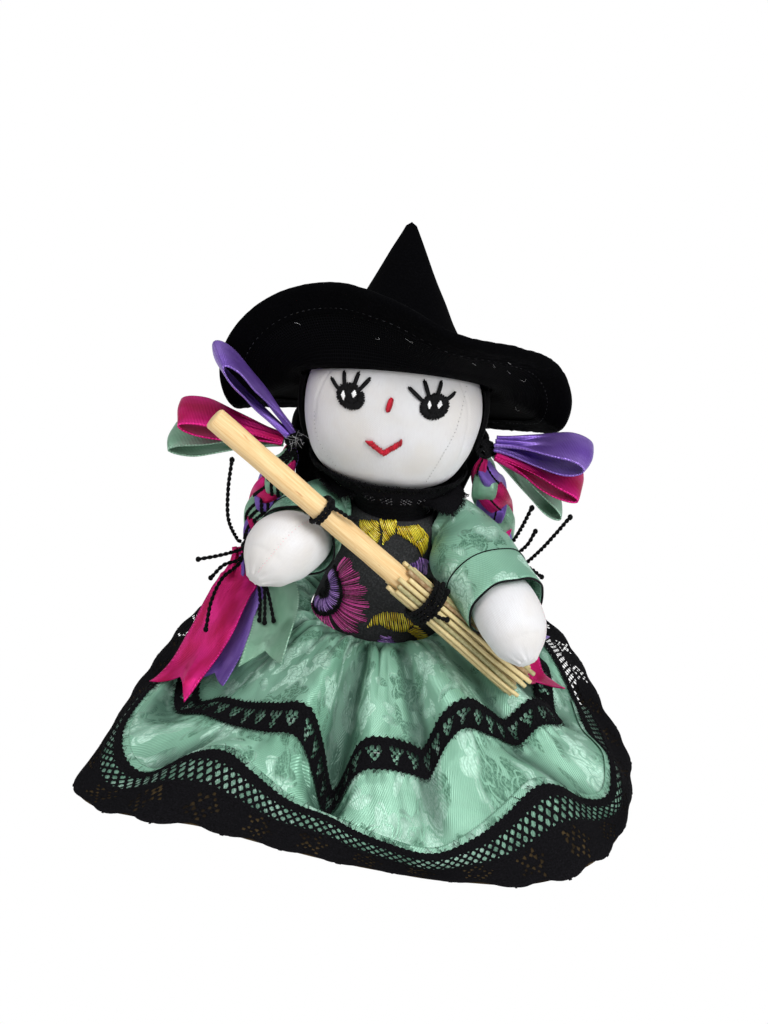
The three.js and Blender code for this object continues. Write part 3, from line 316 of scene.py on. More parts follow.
# %% The faces of a grid
def grid_faces(rows, columns, around=False, closed=False):
    """Four corners for each cell of a grid, as point numbers and as grid places that don't wrap."""
    down = np.arange(rows if closed else rows - 1)
    across = np.arange(columns if around else columns - 1)
    i, j = np.meshgrid(down, across, indexing="ij")
    corners = [(i, j), (i, j + 1), (i + 1, j + 1), (i + 1, j)]
    numbers = np.stack([(a % rows) * columns + b % columns for a, b in corners], axis=-1).reshape(-1, 4)
    places = np.stack([a * (columns + 1) + b for a, b in corners], axis=-1).reshape(-1, 4)
    return numbers, places


def end_fans(rows, columns):
    """Triangles that close a tube's two ends, round two middle points numbered after the grid's."""
    j = np.arange(columns)
    after, far, hub = (j + 1) % columns, (rows - 1) * columns, np.full(columns, rows * columns)
    fans = [np.stack([hub, after, j], axis=1), np.stack([hub + 1, far + j, far + after], axis=1)]
    return np.concatenate(fans)


def flat_places(points, around, closed):
    """Where each grid point lies on the flat cloth, in millimetres: along by the longest row, across by
    the mean of the columns."""
    p = np.concatenate([points, points[:, :1]], axis=1) if around else points
    p = np.concatenate([p, p[:1]], axis=0) if closed else p
    steps = np.linalg.norm(np.diff(p, axis=1), axis=2)
    u = np.concatenate([[0], np.cumsum(steps[steps.sum(1).argmax()])])
    v = np.concatenate([[0], np.cumsum(np.linalg.norm(np.diff(p, axis=0), axis=2).mean(1))])
    return np.stack(np.meshgrid(u, v), axis=-1)


# %% One mesh from arrays
def volume_of(points, quads, triangles):
    """Six times the signed volume: each face's corner dotted with the cross product of the next two."""
    a, b, c, d = (points[quads[:, k]] for k in range(4))
    whole = (a * np.cross(b, c)).sum() + (a * np.cross(c, d)).sum()
    a, b, c = (points[triangles[:, k]] for k in range(3))
    return whole + (a * np.cross(b, c)).sum()


def make(name, points, quads, triangles=None, uv=None, attributes=(), material=None, flip=None):
    """A mesh object from points in millimetres. Closed shapes are turned to face outwards, by the sign
    of their volume; flip=True or False says it for open ones."""
    points = np.asarray(points, float).reshape(-1, 3)
    triangles = np.zeros((0, 3), int) if triangles is None else triangles
    if flip is None:
        flip = volume_of(points, quads, triangles) < 0
    if flip:
        quads, triangles = quads[:, ::-1], triangles[:, ::-1]
        uv = None if uv is None else uv[:, ::-1]
    loops = np.concatenate([quads.ravel(), triangles.ravel()]).astype(np.int32)
    starts = np.concatenate([np.arange(len(quads)) * 4, len(quads) * 4 + np.arange(len(triangles)) * 3])
    mesh = bpy.data.meshes.new(name)
    mesh.vertices.add(len(points))
    mesh.vertices.foreach_set("co", (points * MM).astype(np.float32).ravel())
    mesh.loops.add(len(loops))
    mesh.loops.foreach_set("vertex_index", loops)
    mesh.polygons.add(len(starts))
    mesh.polygons.foreach_set("loop_start", starts.astype(np.int32))
    mesh.update(calc_edges=True)
    mesh.polygons.foreach_set("use_smooth", np.ones(len(starts), bool))
    if uv is not None:
        flat = np.zeros((len(loops), 2), np.float32)
        flat[: len(quads) * 4] = uv.reshape(-1, 2)
        mesh.uv_layers.new(name="cloth").data.foreach_set("uv", flat.ravel())
    for key, values in dict(attributes).items():
        layer = mesh.attributes.new(key, "FLOAT", "POINT")
        layer.data.foreach_set("value", np.asarray(values, np.float32).ravel())
    made = bpy.data.objects.new(name, mesh)
    bpy.context.scene.collection.objects.link(made)
    mesh.materials.append(material)
    print(name, len(points), "points", len(starts), "faces")
    return made


# %% Grids, shells and strips
def surface(name, points, around=False, closed=False, capped=False, keep=None, attributes=(), **more):
    """A grid of points as a mesh with cloth coordinates. keep is a mask over the grid's faces; capped
    closes a tube's two ends round a middle point."""
    rows, columns = points.shape[:2]
    quads, places = grid_faces(rows, columns, around, closed)
    flat = flat_places(points, around, closed)
    full = np.zeros((rows + 1, columns + 1, 2))
    full[: flat.shape[0], : flat.shape[1]] = flat
    uv = full.reshape(-1, 2)[places]
    attributes, triangles = dict(attributes), None
    if keep is not None:
        quads, uv = quads[keep.ravel()], uv[keep.ravel()]
        used, quads = np.unique(quads, return_inverse=True)
        quads = quads.reshape(-1, 4)
        points = points.reshape(-1, 3)[used]
    if capped:
        ends = np.array([points[0].mean(0), points[-1].mean(0)])
        triangles = end_fans(rows, columns)
        points = np.concatenate([points.reshape(-1, 3), ends])
        for key, values in attributes.items():
            attributes[key] = np.concatenate([np.ravel(values), np.ravel(values)[[0, -1]]])
    return make(name, points, quads, triangles, uv, attributes, **more)


def shell(name, outer, inner, **more):
    """Two faces of one cloth joined round both edges."""
    return surface(name, np.concatenate([outer, inner[::-1]]), around=True, closed=True, **more)


def strip(name, top, under, edge, material, kind="edge"):
    """A closed piece of cloth with a free outline: two grids of points, joined by four narrow borders.
    edge says how far each column is from the middle, for the woven edges, or how much painted shade a point
    takes."""
    k, m = top.shape[:2]
    a = np.arange(k * m).reshape(k, m)
    b = a + k * m
    sides = [
        (a[:-1, :-1], a[:-1, 1:], a[1:, 1:], a[1:, :-1]),
        (b[:-1, :-1], b[1:, :-1], b[1:, 1:], b[:-1, 1:]),
        (a[:-1, 0], a[1:, 0], b[1:, 0], b[:-1, 0]),
        (a[1:, -1], a[:-1, -1], b[:-1, -1], b[1:, -1]),
        (a[0, 1:], a[0, :-1], b[0, :-1], b[0, 1:]),
        (a[-1, :-1], a[-1, 1:], b[-1, 1:], b[-1, :-1]),
    ]
    quads = np.concatenate([np.stack([corner.ravel() for corner in side], axis=1) for side in sides])
    flat = flat_places(top, False, False).reshape(-1, 2)
    edge = np.tile(np.broadcast_to(edge, (k, m)).ravel(), 2)
    points = np.concatenate([top.reshape(-1, 3), under.reshape(-1, 3)])
    return make(name, points, quads, None, np.concatenate([flat, flat])[quads], {kind: edge}, material)


def finish_piece(piece, body, slot, *nodes):
    """Says what a piece moves with and which CAD solids it stands for, which are hidden. The slot, which
    would name its finish, is not used.
    """
    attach(piece, body)
    if nodes:
        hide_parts(*nodes)
    return piece


# %% [markdown]
# Threads, stitches, yarn and straws are all tubes along paths. Blender's curve objects could do it one
# by one, but there are thousands of threads here, so one helper sweeps many paths at once: at each
# point of a path a small ring stands square to it. Yarn is two such tubes twisted round each other.

# %% Tubes along many paths
def tubes(name, paths, radius, ups, sides=6, flat=1.0, tint=None, **more):
    """Rings of (half width, half height) round each path: side is the path's direction crossed with
    up, and a ring point is middle + side * a * cos t + up * b * sin t. Ends are closed by a cap."""
    paths = np.asarray(paths, float)
    n, k = paths.shape[:2]
    radius = np.broadcast_to(np.asarray(radius, float), (n, k))[..., None, None]
    way = unit(np.gradient(paths, axis=1))
    side = unit(np.cross(way, np.broadcast_to(np.asarray(ups, float), paths.shape)))
    top = np.cross(side, way)
    t = 2 * np.pi * np.arange(sides) / sides
    rings = (
        paths[:, :, None]
        + side[:, :, None] * (radius * np.cos(t)[:, None])
        + top[:, :, None] * (radius * flat * np.sin(t)[:, None])
    )
    points = np.concatenate([rings.reshape(n, -1, 3), paths[:, :1], paths[:, -1:]], axis=1)
    each = points.shape[1]
    shift = (np.arange(n) * each)[:, None, None]
    quads = (grid_faces(k, sides, around=True)[0][None] + shift).reshape(-1, 4)
    fans = (end_fans(k, sides)[None] + shift).reshape(-1, 3)
    if tint is not None:
        more["attributes"] = {"tint": np.repeat(np.asarray(tint, float), each)}
    return make(name, points, quads, fans, **more)


def parallel_ups(path):
    """An up direction carried along a path, turned as little as possible from each point to the next."""
    up_now = vector(0, 0, 1)
    found = []
    for w in unit(np.gradient(path, axis=0)):
        up_now = up_now - w * (up_now @ w)
        if np.linalg.norm(up_now) < 1e-3:
            up_now = np.cross(w, (0.3, 0.9, 0.1))
        up_now = up_now / np.linalg.norm(up_now)
        found.append(up_now)
    return np.array(found)


def twisted(path, ups, lay, pitch, flat=1.0):
    """Two strands twisted round a path: each circles it at radius lay, once per pitch of its length."""
    sides = np.cross(unit(np.gradient(path, axis=0)), ups)
    turn = 2 * np.pi * (steps_of(path) / pitch + np.array([[0], [0.5]]))[..., None]
    return path + lay * (np.cos(turn) * sides + flat * np.sin(turn) * ups)


def yarn(name, path, thickness, pitch=4.2):
    """Plied yarn: two strands that are together as thick as the yarn."""
    path = np.asarray(path, float)
    ups = parallel_ups(path)
    strands = twisted(path, ups, thickness * 0.24, pitch)
    return tubes(name, strands, thickness * 0.27, ups, sides=8, material=BLACK_YARN)

# %% [markdown]
# The finishes. Cloth is never one flat colour: each has its weave or rib as fine relief, a little uneven dye
# or wear, and its own gloss. On the satins part of that gloss is painted into the colour as lighter patches.
# Photographed textures could be wrapped on, but a pattern that is computed needs no picture and stays sharp.
# It runs on the cloth's flat coordinates, which are in millimetres, so that a weave follows every fold.

# %% Muslin and felt
WEAVE = 0.62  # millimetres from thread to thread


def muslin():
    """Plain white cotton: over and under threads, faint warm and grey patches, a soft matt."""
    f = Finish("white_muslin", Roughness=0.86, Sheen_Weight=0.12, Sheen_Roughness=0.5)
    uv = f.uv()
    across, along = f.axis(uv, 0), f.axis(uv, 1)
    weave = f.times(f.wave(across, WEAVE), f.wave(along, WEAVE))
    slub = f.noise(f.scaled(uv, (0.9, 0.14, 1)), 2.2, 2)
    patch = f.noise(f.place(), 42, 3)
    base = f.blend(f.ramp(patch, 0.4, 0.72), "dcdde0", "d5d2ce")
    dots = f.ramp(f.times_plus(weave, 0.35, slub), 0.05, 0.75)
    base = f.blend(f.ramp(f.noise(f.place(), 420, 4), 0.55, 0.8, 0.0, 0.2), base, "c9c6c4")
    f.give(Base_Color=f.blend(f.ramp(dots, 0.0, 1.0, 0.42, 1.0), "cfccce", base))
    return f.bump(f.times_plus(slub, 0.8, weave), 0.045, 0.8)


def felt(name, tone, light, nap, sheen):
    """Pressed wool: a dark ground with a fuzzy nap that catches light at a slant."""
    gloss = {"Sheen_Tint": "8a8a96", "Specular_IOR_Level": 0.04}
    f = Finish(name, Roughness=0.95, Sheen_Weight=sheen, Sheen_Roughness=0.35, **gloss)
    fine = f.noise(f.place(), 1500, 2)
    wide = f.noise(f.place(), 90, 3)
    share = f.times(f.ramp(fine, 0.35, 0.8), f.ramp(wide, 0.2, 0.9, 0.35, 1.0))
    f.give(Base_Color=f.blend(share, tone, light))
    return f.bump(fine, nap)


# %% Net, lace thread and yarn
def brim_net():
    """Stiff black netting under the brim: small square meshes that glint a little."""
    f = Finish("brim_net", Roughness=0.85, Specular_IOR_Level=0.03)
    uv = f.uv()
    grid = f.math("MAXIMUM", f.wave(f.axis(uv, 0), 1.15), f.wave(f.axis(uv, 1), 0.95))
    f.give(Base_Color=f.blend(f.ramp(grid, 0.1, 0.95), "010102", "08080a"))
    return f.bump(grid, 0.12)


def lace_thread():
    """Matt black cotton crochet: short twisted threads in slightly different blacks."""
    f = Finish("black_lace_thread", Roughness=0.85, Specular_IOR_Level=0.08)
    twist = f.noise(f.scaled(f.uv(), (1.0, 2.2, 1)), 1.5, 3)
    f.give(Base_Color=f.blend(f.ramp(twist, 0.3, 0.75), "030304", "151418"))
    return f.bump(twist, 0.35)


def black_yarn():
    """Black cotton yarn with fine fibres along each ply."""
    f = Finish("black_yarn", Roughness=0.75, Specular_IOR_Level=0.12)
    fibres = f.noise(f.place(), 1900, 3)
    f.give(Base_Color=f.blend(f.ramp(fibres, 0.35, 0.8), "040405", "17171a"))
    return f.bump(fibres, 0.14)


# %% [markdown]
# The skirt's satin is a brocade: mint green, with roses and leaves woven in the same green, that show only by
# the way their threads shine. Here that shine is painted into the figure's colour, as lighter and darker
# patches and small glints. A picture of a rose could be repeated, but then every rose would be alike. A
# scattered grid of cells gives each rose its own place and turn.

# %% Brocade
def scattered(f, bent, scale, offset):
    """The place inside the nearest cell of a scattered grid, turned by that cell's own angle."""
    shifted = f.vmath("ADD", bent, offset)
    found = f.node("TexVoronoi", {"voronoi_dimensions": "2D"}, Vector=shifted, Scale=scale)
    local = f.vmath("SUBTRACT", shifted, found.outputs["Position"])
    spin = f.times(f.axis(found.outputs["Color"], 0), 2 * math.pi)
    turned = f.node("VectorRotate", {"rotation_type": "Z_AXIS"}, Vector=local, Angle=spin).outputs[0]
    return f.axis(turned, 0), f.axis(turned, 1)


def woven_rose(f, x, y):
    """With r the distance from the cell's middle and t the direction, the rose's edge is at
    6.6 + 1.5 cos 5t, and its petals are spokes and a bowl at 3 + 0.5 cos 5t, bent as they go out."""
    r = f.math("SQRT", f.math("ADD", f.times(x, x), f.times(y, y)))
    t = f.math("ARCTAN2", y, x)
    edge = f.times_plus(f.math("COSINE", f.times(t, 5.0)), 1.5, 6.6)
    inside = f.ramp(f.math("SUBTRACT", edge, r), -0.25, 0.35)
    spokes = f.math("ABSOLUTE", f.math("SINE", f.times_plus(t, 2.5, f.times(r, 0.45))))
    bowl = f.times_plus(f.math("COSINE", f.times(t, 5.0)), 0.5, 3.0)
    ring = f.math("ABSOLUTE", f.math("SUBTRACT", r, bowl))
    petals = f.times(f.ramp(spokes, 0.1, 0.3), f.ramp(ring, 0.2, 0.5))
    return f.times(inside, f.times_plus(petals, 0.9, 0.1))


def woven_leaf(f, x, y):
    """A leaf is where (x / 4.4) squared plus (y / 1.7) squared is below one, less slanting veins."""
    long_ = f.math("POWER", f.math("DIVIDE", x, 4.4), 2.0)
    oval = f.math("ADD", long_, f.math("POWER", f.math("DIVIDE", y, 1.7), 2.0))
    leaf = f.ramp(oval, 0.8, 1.15, 1.0, 0.0)
    slant = f.times(f.math("ADD", x, f.math("ABSOLUTE", y)), 4.2)
    vein = f.ramp(f.math("SINE", slant), -0.7, 0.0)
    return f.times(leaf, f.times_plus(vein, 0.6, 0.4))


def brocade():
    """Mint satin: ribs of one slant in the ground and of another in the figure. The figure's colour is
    painted lighter or darker from place to place, with small painted glints, for the sheen of its threads.
    The bottoms of folds are darkened by painted shade."""
    gloss = {"Anisotropic": 0.3, "Specular_IOR_Level": 0.5}
    f = Finish("mint_brocade", Roughness=0.4, Metallic=0.22, **gloss)
    uv = f.uv()
    cloud = f.node("TexNoise", {}, Vector=uv, Scale=0.35).outputs[1]
    sway = f.node("VectorMath", {"operation": "SCALE"}, i0=cloud, i1=(0, 0, 0), Scale=1.6).outputs[0]
    bent = f.vmath("ADD", uv, sway)
    rose = woven_rose(f, *scattered(f, bent, 1 / 18, (3.0, 8.0, 0.0)))
    figure = f.math("MAXIMUM", rose, woven_leaf(f, *scattered(f, bent, 1 / 10.5, (40.0, 17.0, 0.0))))
    u, v = f.axis(uv, 0), f.axis(uv, 1)
    rib = f.wave(f.times_plus(v, 0.75, u), 0.92)
    cross = f.wave(f.times_plus(v, -0.6, u), 0.8)
    thread_ = f.node("Mix", {}, i0=figure, i2=rib, i3=cross).outputs[0]
    ground = f.blend(f.ramp(f.noise(f.place(), 26, 3), 0.3, 0.7), "7cb096", "93c5ac")
    ground = f.blend(f.ramp(thread_, -1.0, 1.0, 0.0, 0.35), ground, "5c8f76")
    # Painted sheen: cloudy light and dark patches and fine glints in the figure stand for the shine of its
    # satin threads.
    tone = f.blend(f.ramp(f.noise(bent, 0.055, 2), 0.44, 0.56), "4b7a63", "bfe6d4")
    painted_glints = f.ramp(f.noise(uv, 1.1, 2), 0.4, 0.6, 0.45, 1.0)
    base = f.blend(f.times(figure, painted_glints), ground, tone)
    # Painted shade: a darkness carried by the mesh turns the colour towards deep green in the bottoms of
    # folds and under the hem's lace.
    f.give(Base_Color=f.blend(f.times(f.attribute("painted_shade"), 0.8), base, "26453a"))
    f.give(Roughness=f.ramp(figure, 0.0, 1.0, 0.36, 0.52))
    return f.bump(f.times_plus(figure, 0.9, thread_), 0.06)


# %% [markdown]
# Ribbon, embroidery thread, wood and straw are small things seen close. Each needs one mark by which
# the eye knows it: the looped edge of a ribbon, the gloss of rayon, the grain of a dowel, the different
# tans of split reed. Where many threads share a finish, a number on each, its tint, picks the shade.

# %% Ribbon and embroidery thread
def ribbon_satin(name, tone, light):
    """Ribbon: fine ribs across, a satin gloss from the shader together with a painted highlight that lightens
    the colour in soft clouds, and a looped thread along both woven edges.
    """
    f = Finish(name, Roughness=0.36, Metallic=0.6, Anisotropic=0.3, Specular_IOR_Level=0.4)
    uv = f.uv()
    ribs = f.wave(f.axis(uv, 1), 0.5)
    edge = f.ramp(f.attribute("edge"), 0.88, 0.95)
    dots = f.ramp(f.wave(f.axis(uv, 1), 1.2), -0.1, 0.7)
    # Painted highlight: soft clouds lighten the colour up to half way to the second, lighter colour, for the
    # satin's sheen.
    cloud = f.noise(f.scaled(uv, (0.12, 0.05, 1)), 1.0, 2)
    base = f.blend(f.ramp(cloud, 0.3, 0.7, 0.0, 0.5), tone, light)
    f.give(Base_Color=f.blend(f.times(f.times(edge, dots), 0.6), base, light))
    return f.bump(f.times_plus(f.times(edge, dots), 1.5, ribs), 0.05)


def thread(name, tone, light, rough=0.38, gloss=0.5):
    """Rayon thread: each stitch has its own shade, and a gloss that runs across its length."""
    f = Finish(name, Roughness=rough, Specular_IOR_Level=gloss)
    tint = f.attribute("tint")
    share = f.math("ADD", tint, f.ramp(f.noise(f.place(), 1400, 2), 0.3, 0.8, -0.2, 0.2))
    f.give(Base_Color=f.blend(share, tone, light))
    return f.bump(f.noise(f.place(), 3200, 2), 0.08)


# %% Wood, straw, lint, and a brown sheet of painted shade
def pine():
    """Turned pale wood: long grain streaks, a few brown flecks, a dull wax."""
    f = Finish("pale_wood", Roughness=0.55)
    uv = f.uv()
    grain = f.noise(f.scaled(uv, (0.9, 0.035, 1)), 1.6, 5, 0.65)
    streak = f.noise(f.scaled(uv, (2.2, 0.02, 1)), 2.0, 3)
    fleck = f.noise(f.scaled(uv, (0.35, 0.07, 1)), 1.7, 2)
    base = f.blend(f.ramp(grain, 0.35, 0.68), "ecd09c", "dcb47a")
    base = f.blend(f.ramp(streak, 0.5, 0.75, 0.0, 0.4), base, "c99a5e")
    f.give(Base_Color=f.blend(f.ramp(fleck, 0.66, 0.76, 0.0, 0.75), base, "c98a52"))
    return f.bump(f.math("ADD", grain, streak), 0.12)


def reed():
    """Dry straw: olive, tan, gold and brown stalks with fine lines along them."""
    f = Finish("dry_straw", Roughness=0.45)
    place, tint = f.place(), f.attribute("tint")
    fine = f.noise(place, 700, 3)
    pale = f.blend(f.ramp(tint, 0.0, 0.5), "8f8a5c", "d9c48c")
    dark = f.blend(f.ramp(tint, 0.55, 1.0), pale, "7a5230")
    f.give(Base_Color=f.blend(f.ramp(fine, 0.3, 0.8, 0.0, 0.35), dark, "efe0b4"))
    return f.bump(fine, 0.1)


def lint():
    """Stray cotton hairs, paler and darker from place to place."""
    f = Finish("pale_lint", Roughness=0.8)
    return f.give(Base_Color=f.blend(f.noise(f.place(), 300), "8d8d90", "d8d8d8"))


def shade_backing():
    """A dark brown sheet with patchy tone under the hem's lace. It is a painted shadow that shows through the
    open flowers of the hem, for the shade beneath it.
    """
    f = Finish("brown_shade_backing", Roughness=0.9, Specular_IOR_Level=0.05)
    patch = f.noise(f.place(), 90, 3)
    return f.give(Base_Color=f.blend(f.ramp(patch, 0.35, 0.65), "1c1712", "4c3f2a"))


# %% Every finish by name
MUSLIN = muslin()
SHADE_BACKING = shade_backing()
HAT_FELT = felt("hat_velvet", "010102", "060608", 0.12, 0.02)
BODICE_FELT = felt("grey_felt", "2c2d2e", "48484a", 0.14, 0.08)
BRIM_NET = brim_net()
LACE_THREAD = lace_thread()
BLACK_YARN = black_yarn()
BROCADE = brocade()
# Each ribbon's second colour is its painted highlight, also used for the looped edge thread.
RIBBONS = {
    "purple": ribbon_satin("purple_ribbon", "7350b2", "a688dc"),
    "magenta": ribbon_satin("magenta_ribbon", "b2004c", "fa30a4"),
    "mint": ribbon_satin("mint_ribbon", "7aa88c", "b4d8c4"),
}
BLACK_THREAD = thread("black_thread", "040405", "131316", 0.6, 0.12)
RED_THREAD = thread("red_thread", "92041a", "c41430", 0.5, 0.3)
WHITE_THREAD = thread("white_thread", "e6e6e8", "ffffff", 0.5)
PINK_THREAD = thread("pink_thread", "dda9b4", "eec3ca", 0.6)
GREY_THREAD = thread("grey_thread", "8c8a8c", "b4b2b2", 0.6)
DULL_THREAD = thread("dull_thread", "111113", "323235", 0.7, 0.1)
YELLOW_THREAD = thread("yellow_thread", "c4a204", "fff04a", 0.26, 1.0)
MAGENTA_THREAD = thread("magenta_thread", "6e0a44", "f24eb4", 0.26, 1.0)
PURPLE_THREAD = thread("purple_thread", "4c2678", "cc98f6", 0.26, 1.0)
WOOD = pine()
STRAW = reed()
LINT = lint()
print(len(bpy.data.materials), "finishes")

# %% [markdown]
# The stuffed body is plain white cotton, seen only at the neck and hands, but the clothes take their
# shape from it. It could be cut and stuffed in a cloth simulation. Its outline is known, though, so
# rows of height, half width and half depth draw it. It is a padded piece: soft, with a filling.

# %% Body
BODY_Y, BODY_TOP = -3, 100
BODY_ROWS = [
    [0, 22, 16], [4, 24, 18], [22, 24.8, 20], [42, 24, 19], [64, 18.2, 16],
    [76, 16.5, 14.4], [87, 15.5, 13], [92, 12.5, 11], [95, 10, 9.5], [BODY_TOP, 9.5, 9],
]


def turns(count):
    """Directions evenly spaced round a circle."""
    return 2 * np.pi * np.arange(count) / count


def bumps(points, size, seed=0.0):
    """Gentle unevenness: products of sines of the three coordinates at two scales, from -1 to 1."""
    x, y, z = (points[..., k] / size for k in range(3))
    wide = np.sin(x * 1.3 + seed) * np.sin(y * 1.1 + 2 + seed) * np.sin(z * 1.2 + 1)
    fine = np.sin(x * 2.9 + 1.7 * np.sin(y * 2.1 + seed)) * np.sin(z * 2.7 + 1.3 * np.sin(x * 2.3))
    return 0.6 * wide + 0.4 * fine


def ovals(x, y, a, b, t, z):
    """Points of ovals round an upright axis: x + a cos t, y + b sin t, z."""
    return np.stack(np.broadcast_arrays(x + a * np.cos(t), y + b * np.sin(t), z), axis=-1)


def body_ring(heights, grow=0.0, count=96):
    """Ovals whose half width and half depth are read from the rows and grown by a distance."""
    heights = np.asarray(heights, float)
    a, b = np.moveaxis(through(BODY_ROWS, heights) + grow, -1, 0)[..., None]
    return ovals(0, BODY_Y, a, b, turns(count), heights[:, None])


def padded(name, points, body, node):
    """A stuffed piece of muslin: a tube closed at both ends, with a filling."""
    piece = surface(name, points, around=True, capped=True, material=MUSLIN)
    finish_piece(piece, body, "muslin", node)
    return piece


torso = padded("torso_muslin", body_ring(np.linspace(0, BODY_TOP, 90)), "doll", "torso")

# %% [markdown]
# The head is wide at the cheeks and flat on top, where the hat sits. It is drawn as squared ovals, one
# above the other. The hat's frame is set first, because the head has to end inside its crown: points
# that would come through the felt are drawn in. Two shallow grooves run where the panels are sewn.

# %% The hat's own directions
HAT_RING, HAT_RING_HALF = vector(-5, 3.4, 136.6), (33, 26)
CROWN_HEIGHT, CROWN_FLARE, FLARE_DIES = 59, 5, 8
tilt, lean = math.radians(-32), math.radians(-3)
turn_y = np.array([[math.cos(lean), 0, math.sin(lean)], [0, 1, 0], [-math.sin(lean), 0, math.cos(lean)]])
turn_x = np.array([[1, 0, 0], [0, math.cos(tilt), -math.sin(tilt)], [0, math.sin(tilt), math.cos(tilt)]])
hat_turn = turn_y @ turn_x
HAT_SIDE, HAT_FRONT, HAT_UP = hat_turn @ (1, 0, 0), hat_turn @ (0, -1, 0), hat_turn @ (0, 0, 1)


def crown_share(height, inset=0.0):
    """The crown's radius as a share of its seam: a straight cone plus a flare that dies off upwards."""
    cone = (HAT_RING_HALF[0] - CROWN_FLARE) * (1 - height / CROWN_HEIGHT)
    flare = CROWN_FLARE * np.exp(-height / FLARE_DIES)
    return np.maximum((cone + flare - inset) / HAT_RING_HALF[0], 0.01)


def under_hat(points):
    """Points above the hat's seam drawn in until they lie inside the crown."""
    off = points - HAT_RING
    side, front, high = off @ HAT_SIDE, off @ HAT_FRONT, off @ HAT_UP
    share = np.hypot(side / HAT_RING_HALF[0], front / HAT_RING_HALF[1])
    most = crown_share(np.clip(high, 0, 50), FELT + GAP + 0.25)
    pull = np.where((high > -0.9) & (share > most), most / np.maximum(share, 1e-6), 1.0)[..., None]
    in_plane = side[..., None] * HAT_SIDE + front[..., None] * HAT_FRONT
    return HAT_RING + in_plane * pull + high[..., None] * HAT_UP


print("hat up", np.round(HAT_UP, 3))

# %% Head
HEAD_MIDDLE = vector(-5, -1, 0)
HEAD_BOTTOM, HEAD_HEIGHT, HEAD_HALF = 100.5, 55, (31.5, 21.5)
HEAD_ROWS = [
    [0, 0.46, 0.5], [0.03, 0.62, 0.64], [0.1, 0.79, 0.82], [0.22, 0.91, 0.93], [0.38, 0.985, 1],
    [0.56, 1, 1], [0.72, 0.93, 0.95], [0.86, 0.74, 0.8], [0.95, 0.5, 0.58], [1, 0.24, 0.3],
]
SQUARE = 2.25  # 2 would be a true oval; more squares the cheeks a little


def head_half(z, grow=0.0):
    """Half width and half depth of the head at a height."""
    share = (np.asarray(z, float) - HEAD_BOTTOM) / HEAD_HEIGHT
    a, b = np.moveaxis(through(HEAD_ROWS, np.clip(share, 0, 1)), -1, 0)
    return HEAD_HALF[0] * a + grow, HEAD_HALF[1] * b + grow


def powered(x, power):
    """A number's size raised to a power, with its sign kept."""
    return np.sign(x) * np.abs(x) ** power


def head_grid(heights, count):
    """x = a c^(2/q), y = b s^(2/q), where c and s are the cosine and sine of the direction and q is
    how square the oval is."""
    c, s = np.cos(turns(count)), np.sin(turns(count))
    a, b = head_half(heights)
    x = a[:, None] * powered(c, 2 / SQUARE)
    y = b[:, None] * powered(s, 2 / SQUARE)
    return np.stack(np.broadcast_arrays(x, y, heights[:, None]), axis=-1) + HEAD_MIDDLE


PANEL_SEAMS = [math.radians(a) for a in (-34, -146)]
SEAM_WIDE, SEAM_DEEP, STUFFING = 0.022, 0.28, 0.25
head_rows = HEAD_BOTTOM + HEAD_HEIGHT * (1 - np.cos(np.linspace(0.12, np.pi, 150))) / 2
head_points = head_grid(head_rows, 240)
outward = unit(head_points - (HEAD_MIDDLE + (0, 0, 126)))
groove = sum(np.exp(-(((turns(240) - 2 * np.pi - s) / SEAM_WIDE) ** 2)) for s in PANEL_SEAMS)
uneven = STUFFING * (1 - bumps(head_points, 9))[..., None]
head_points -= outward * (SEAM_DEEP * groove[None, :, None] + uneven)
padded("head_muslin", under_hat(head_points), "doll", "head")


# %% The face as a place to sew on
def on_face(x, z):
    """The point of the head's front above (x, z): y = middle - b (1 - |dx / a|^q)^(1/q)."""
    x, z = np.broadcast_arrays(np.asarray(x, float), np.asarray(z, float))
    a, b = head_half(z)
    inside = np.clip(1 - np.abs((x - HEAD_MIDDLE[0]) / a) ** SQUARE, 0.02, 1)
    return np.stack([x, HEAD_MIDDLE[1] - b * inside ** (1 / SQUARE), z], axis=-1)


def square_to(on, step=0.4):
    """For a surface on(p, q), its square direction: the cross product of its slopes along p and q."""

    def up_at(p, q):
        """The square direction at one pattern point."""
        return unit(np.cross(on(p + step, q) - on(p - step, q), on(p, q + step) - on(p, q - step)))

    return up_at


face_up = square_to(on_face)
FACE = (on_face, face_up)
print("tip of the nose", np.round(on_face(-6, 138), 1))

# %% [markdown]
# The face is sewn, not painted. Each feature is a bundle of satin stitches laid side by side on the
# cotton: black for the eyes and lashes, white for their two glints, red for the nose and the smile. It
# could be a picture on the head, but real threads have a height and a gloss that a picture lacks. Each
# thread is given by two points on a flat pattern of the face, and is then laid on the surface.

# %% Stitches
def stitches(name, pairs, on, up_at, thick, lift, material, slot, node=(), stations=6):
    """Threads from start to end points given on a flat pattern. on() lays a pattern point on the
    surface; a thread stands up from it by lift times the square root of a sine, so its ends dive in."""
    starts, ends = (np.array(part) for part in pairs)
    u = np.linspace(0, 1, stations)
    flat = starts[:, None] + (ends - starts)[:, None] * u[:, None]
    ups = up_at(flat[..., 0], flat[..., 1])
    arch = np.sqrt(np.sin(np.pi * np.clip(u, 0.015, 0.985)))
    paths = on(flat[..., 0], flat[..., 1]) + ups * (lift * arch - 0.1)[None, :, None]
    radius = thick / 2 * (0.45 + 0.55 * arch)
    sewn = tubes(name, paths, radius[None], ups, material=material, tint=rng.random(len(starts)))
    return finish_piece(sewn, "doll", slot, *node)


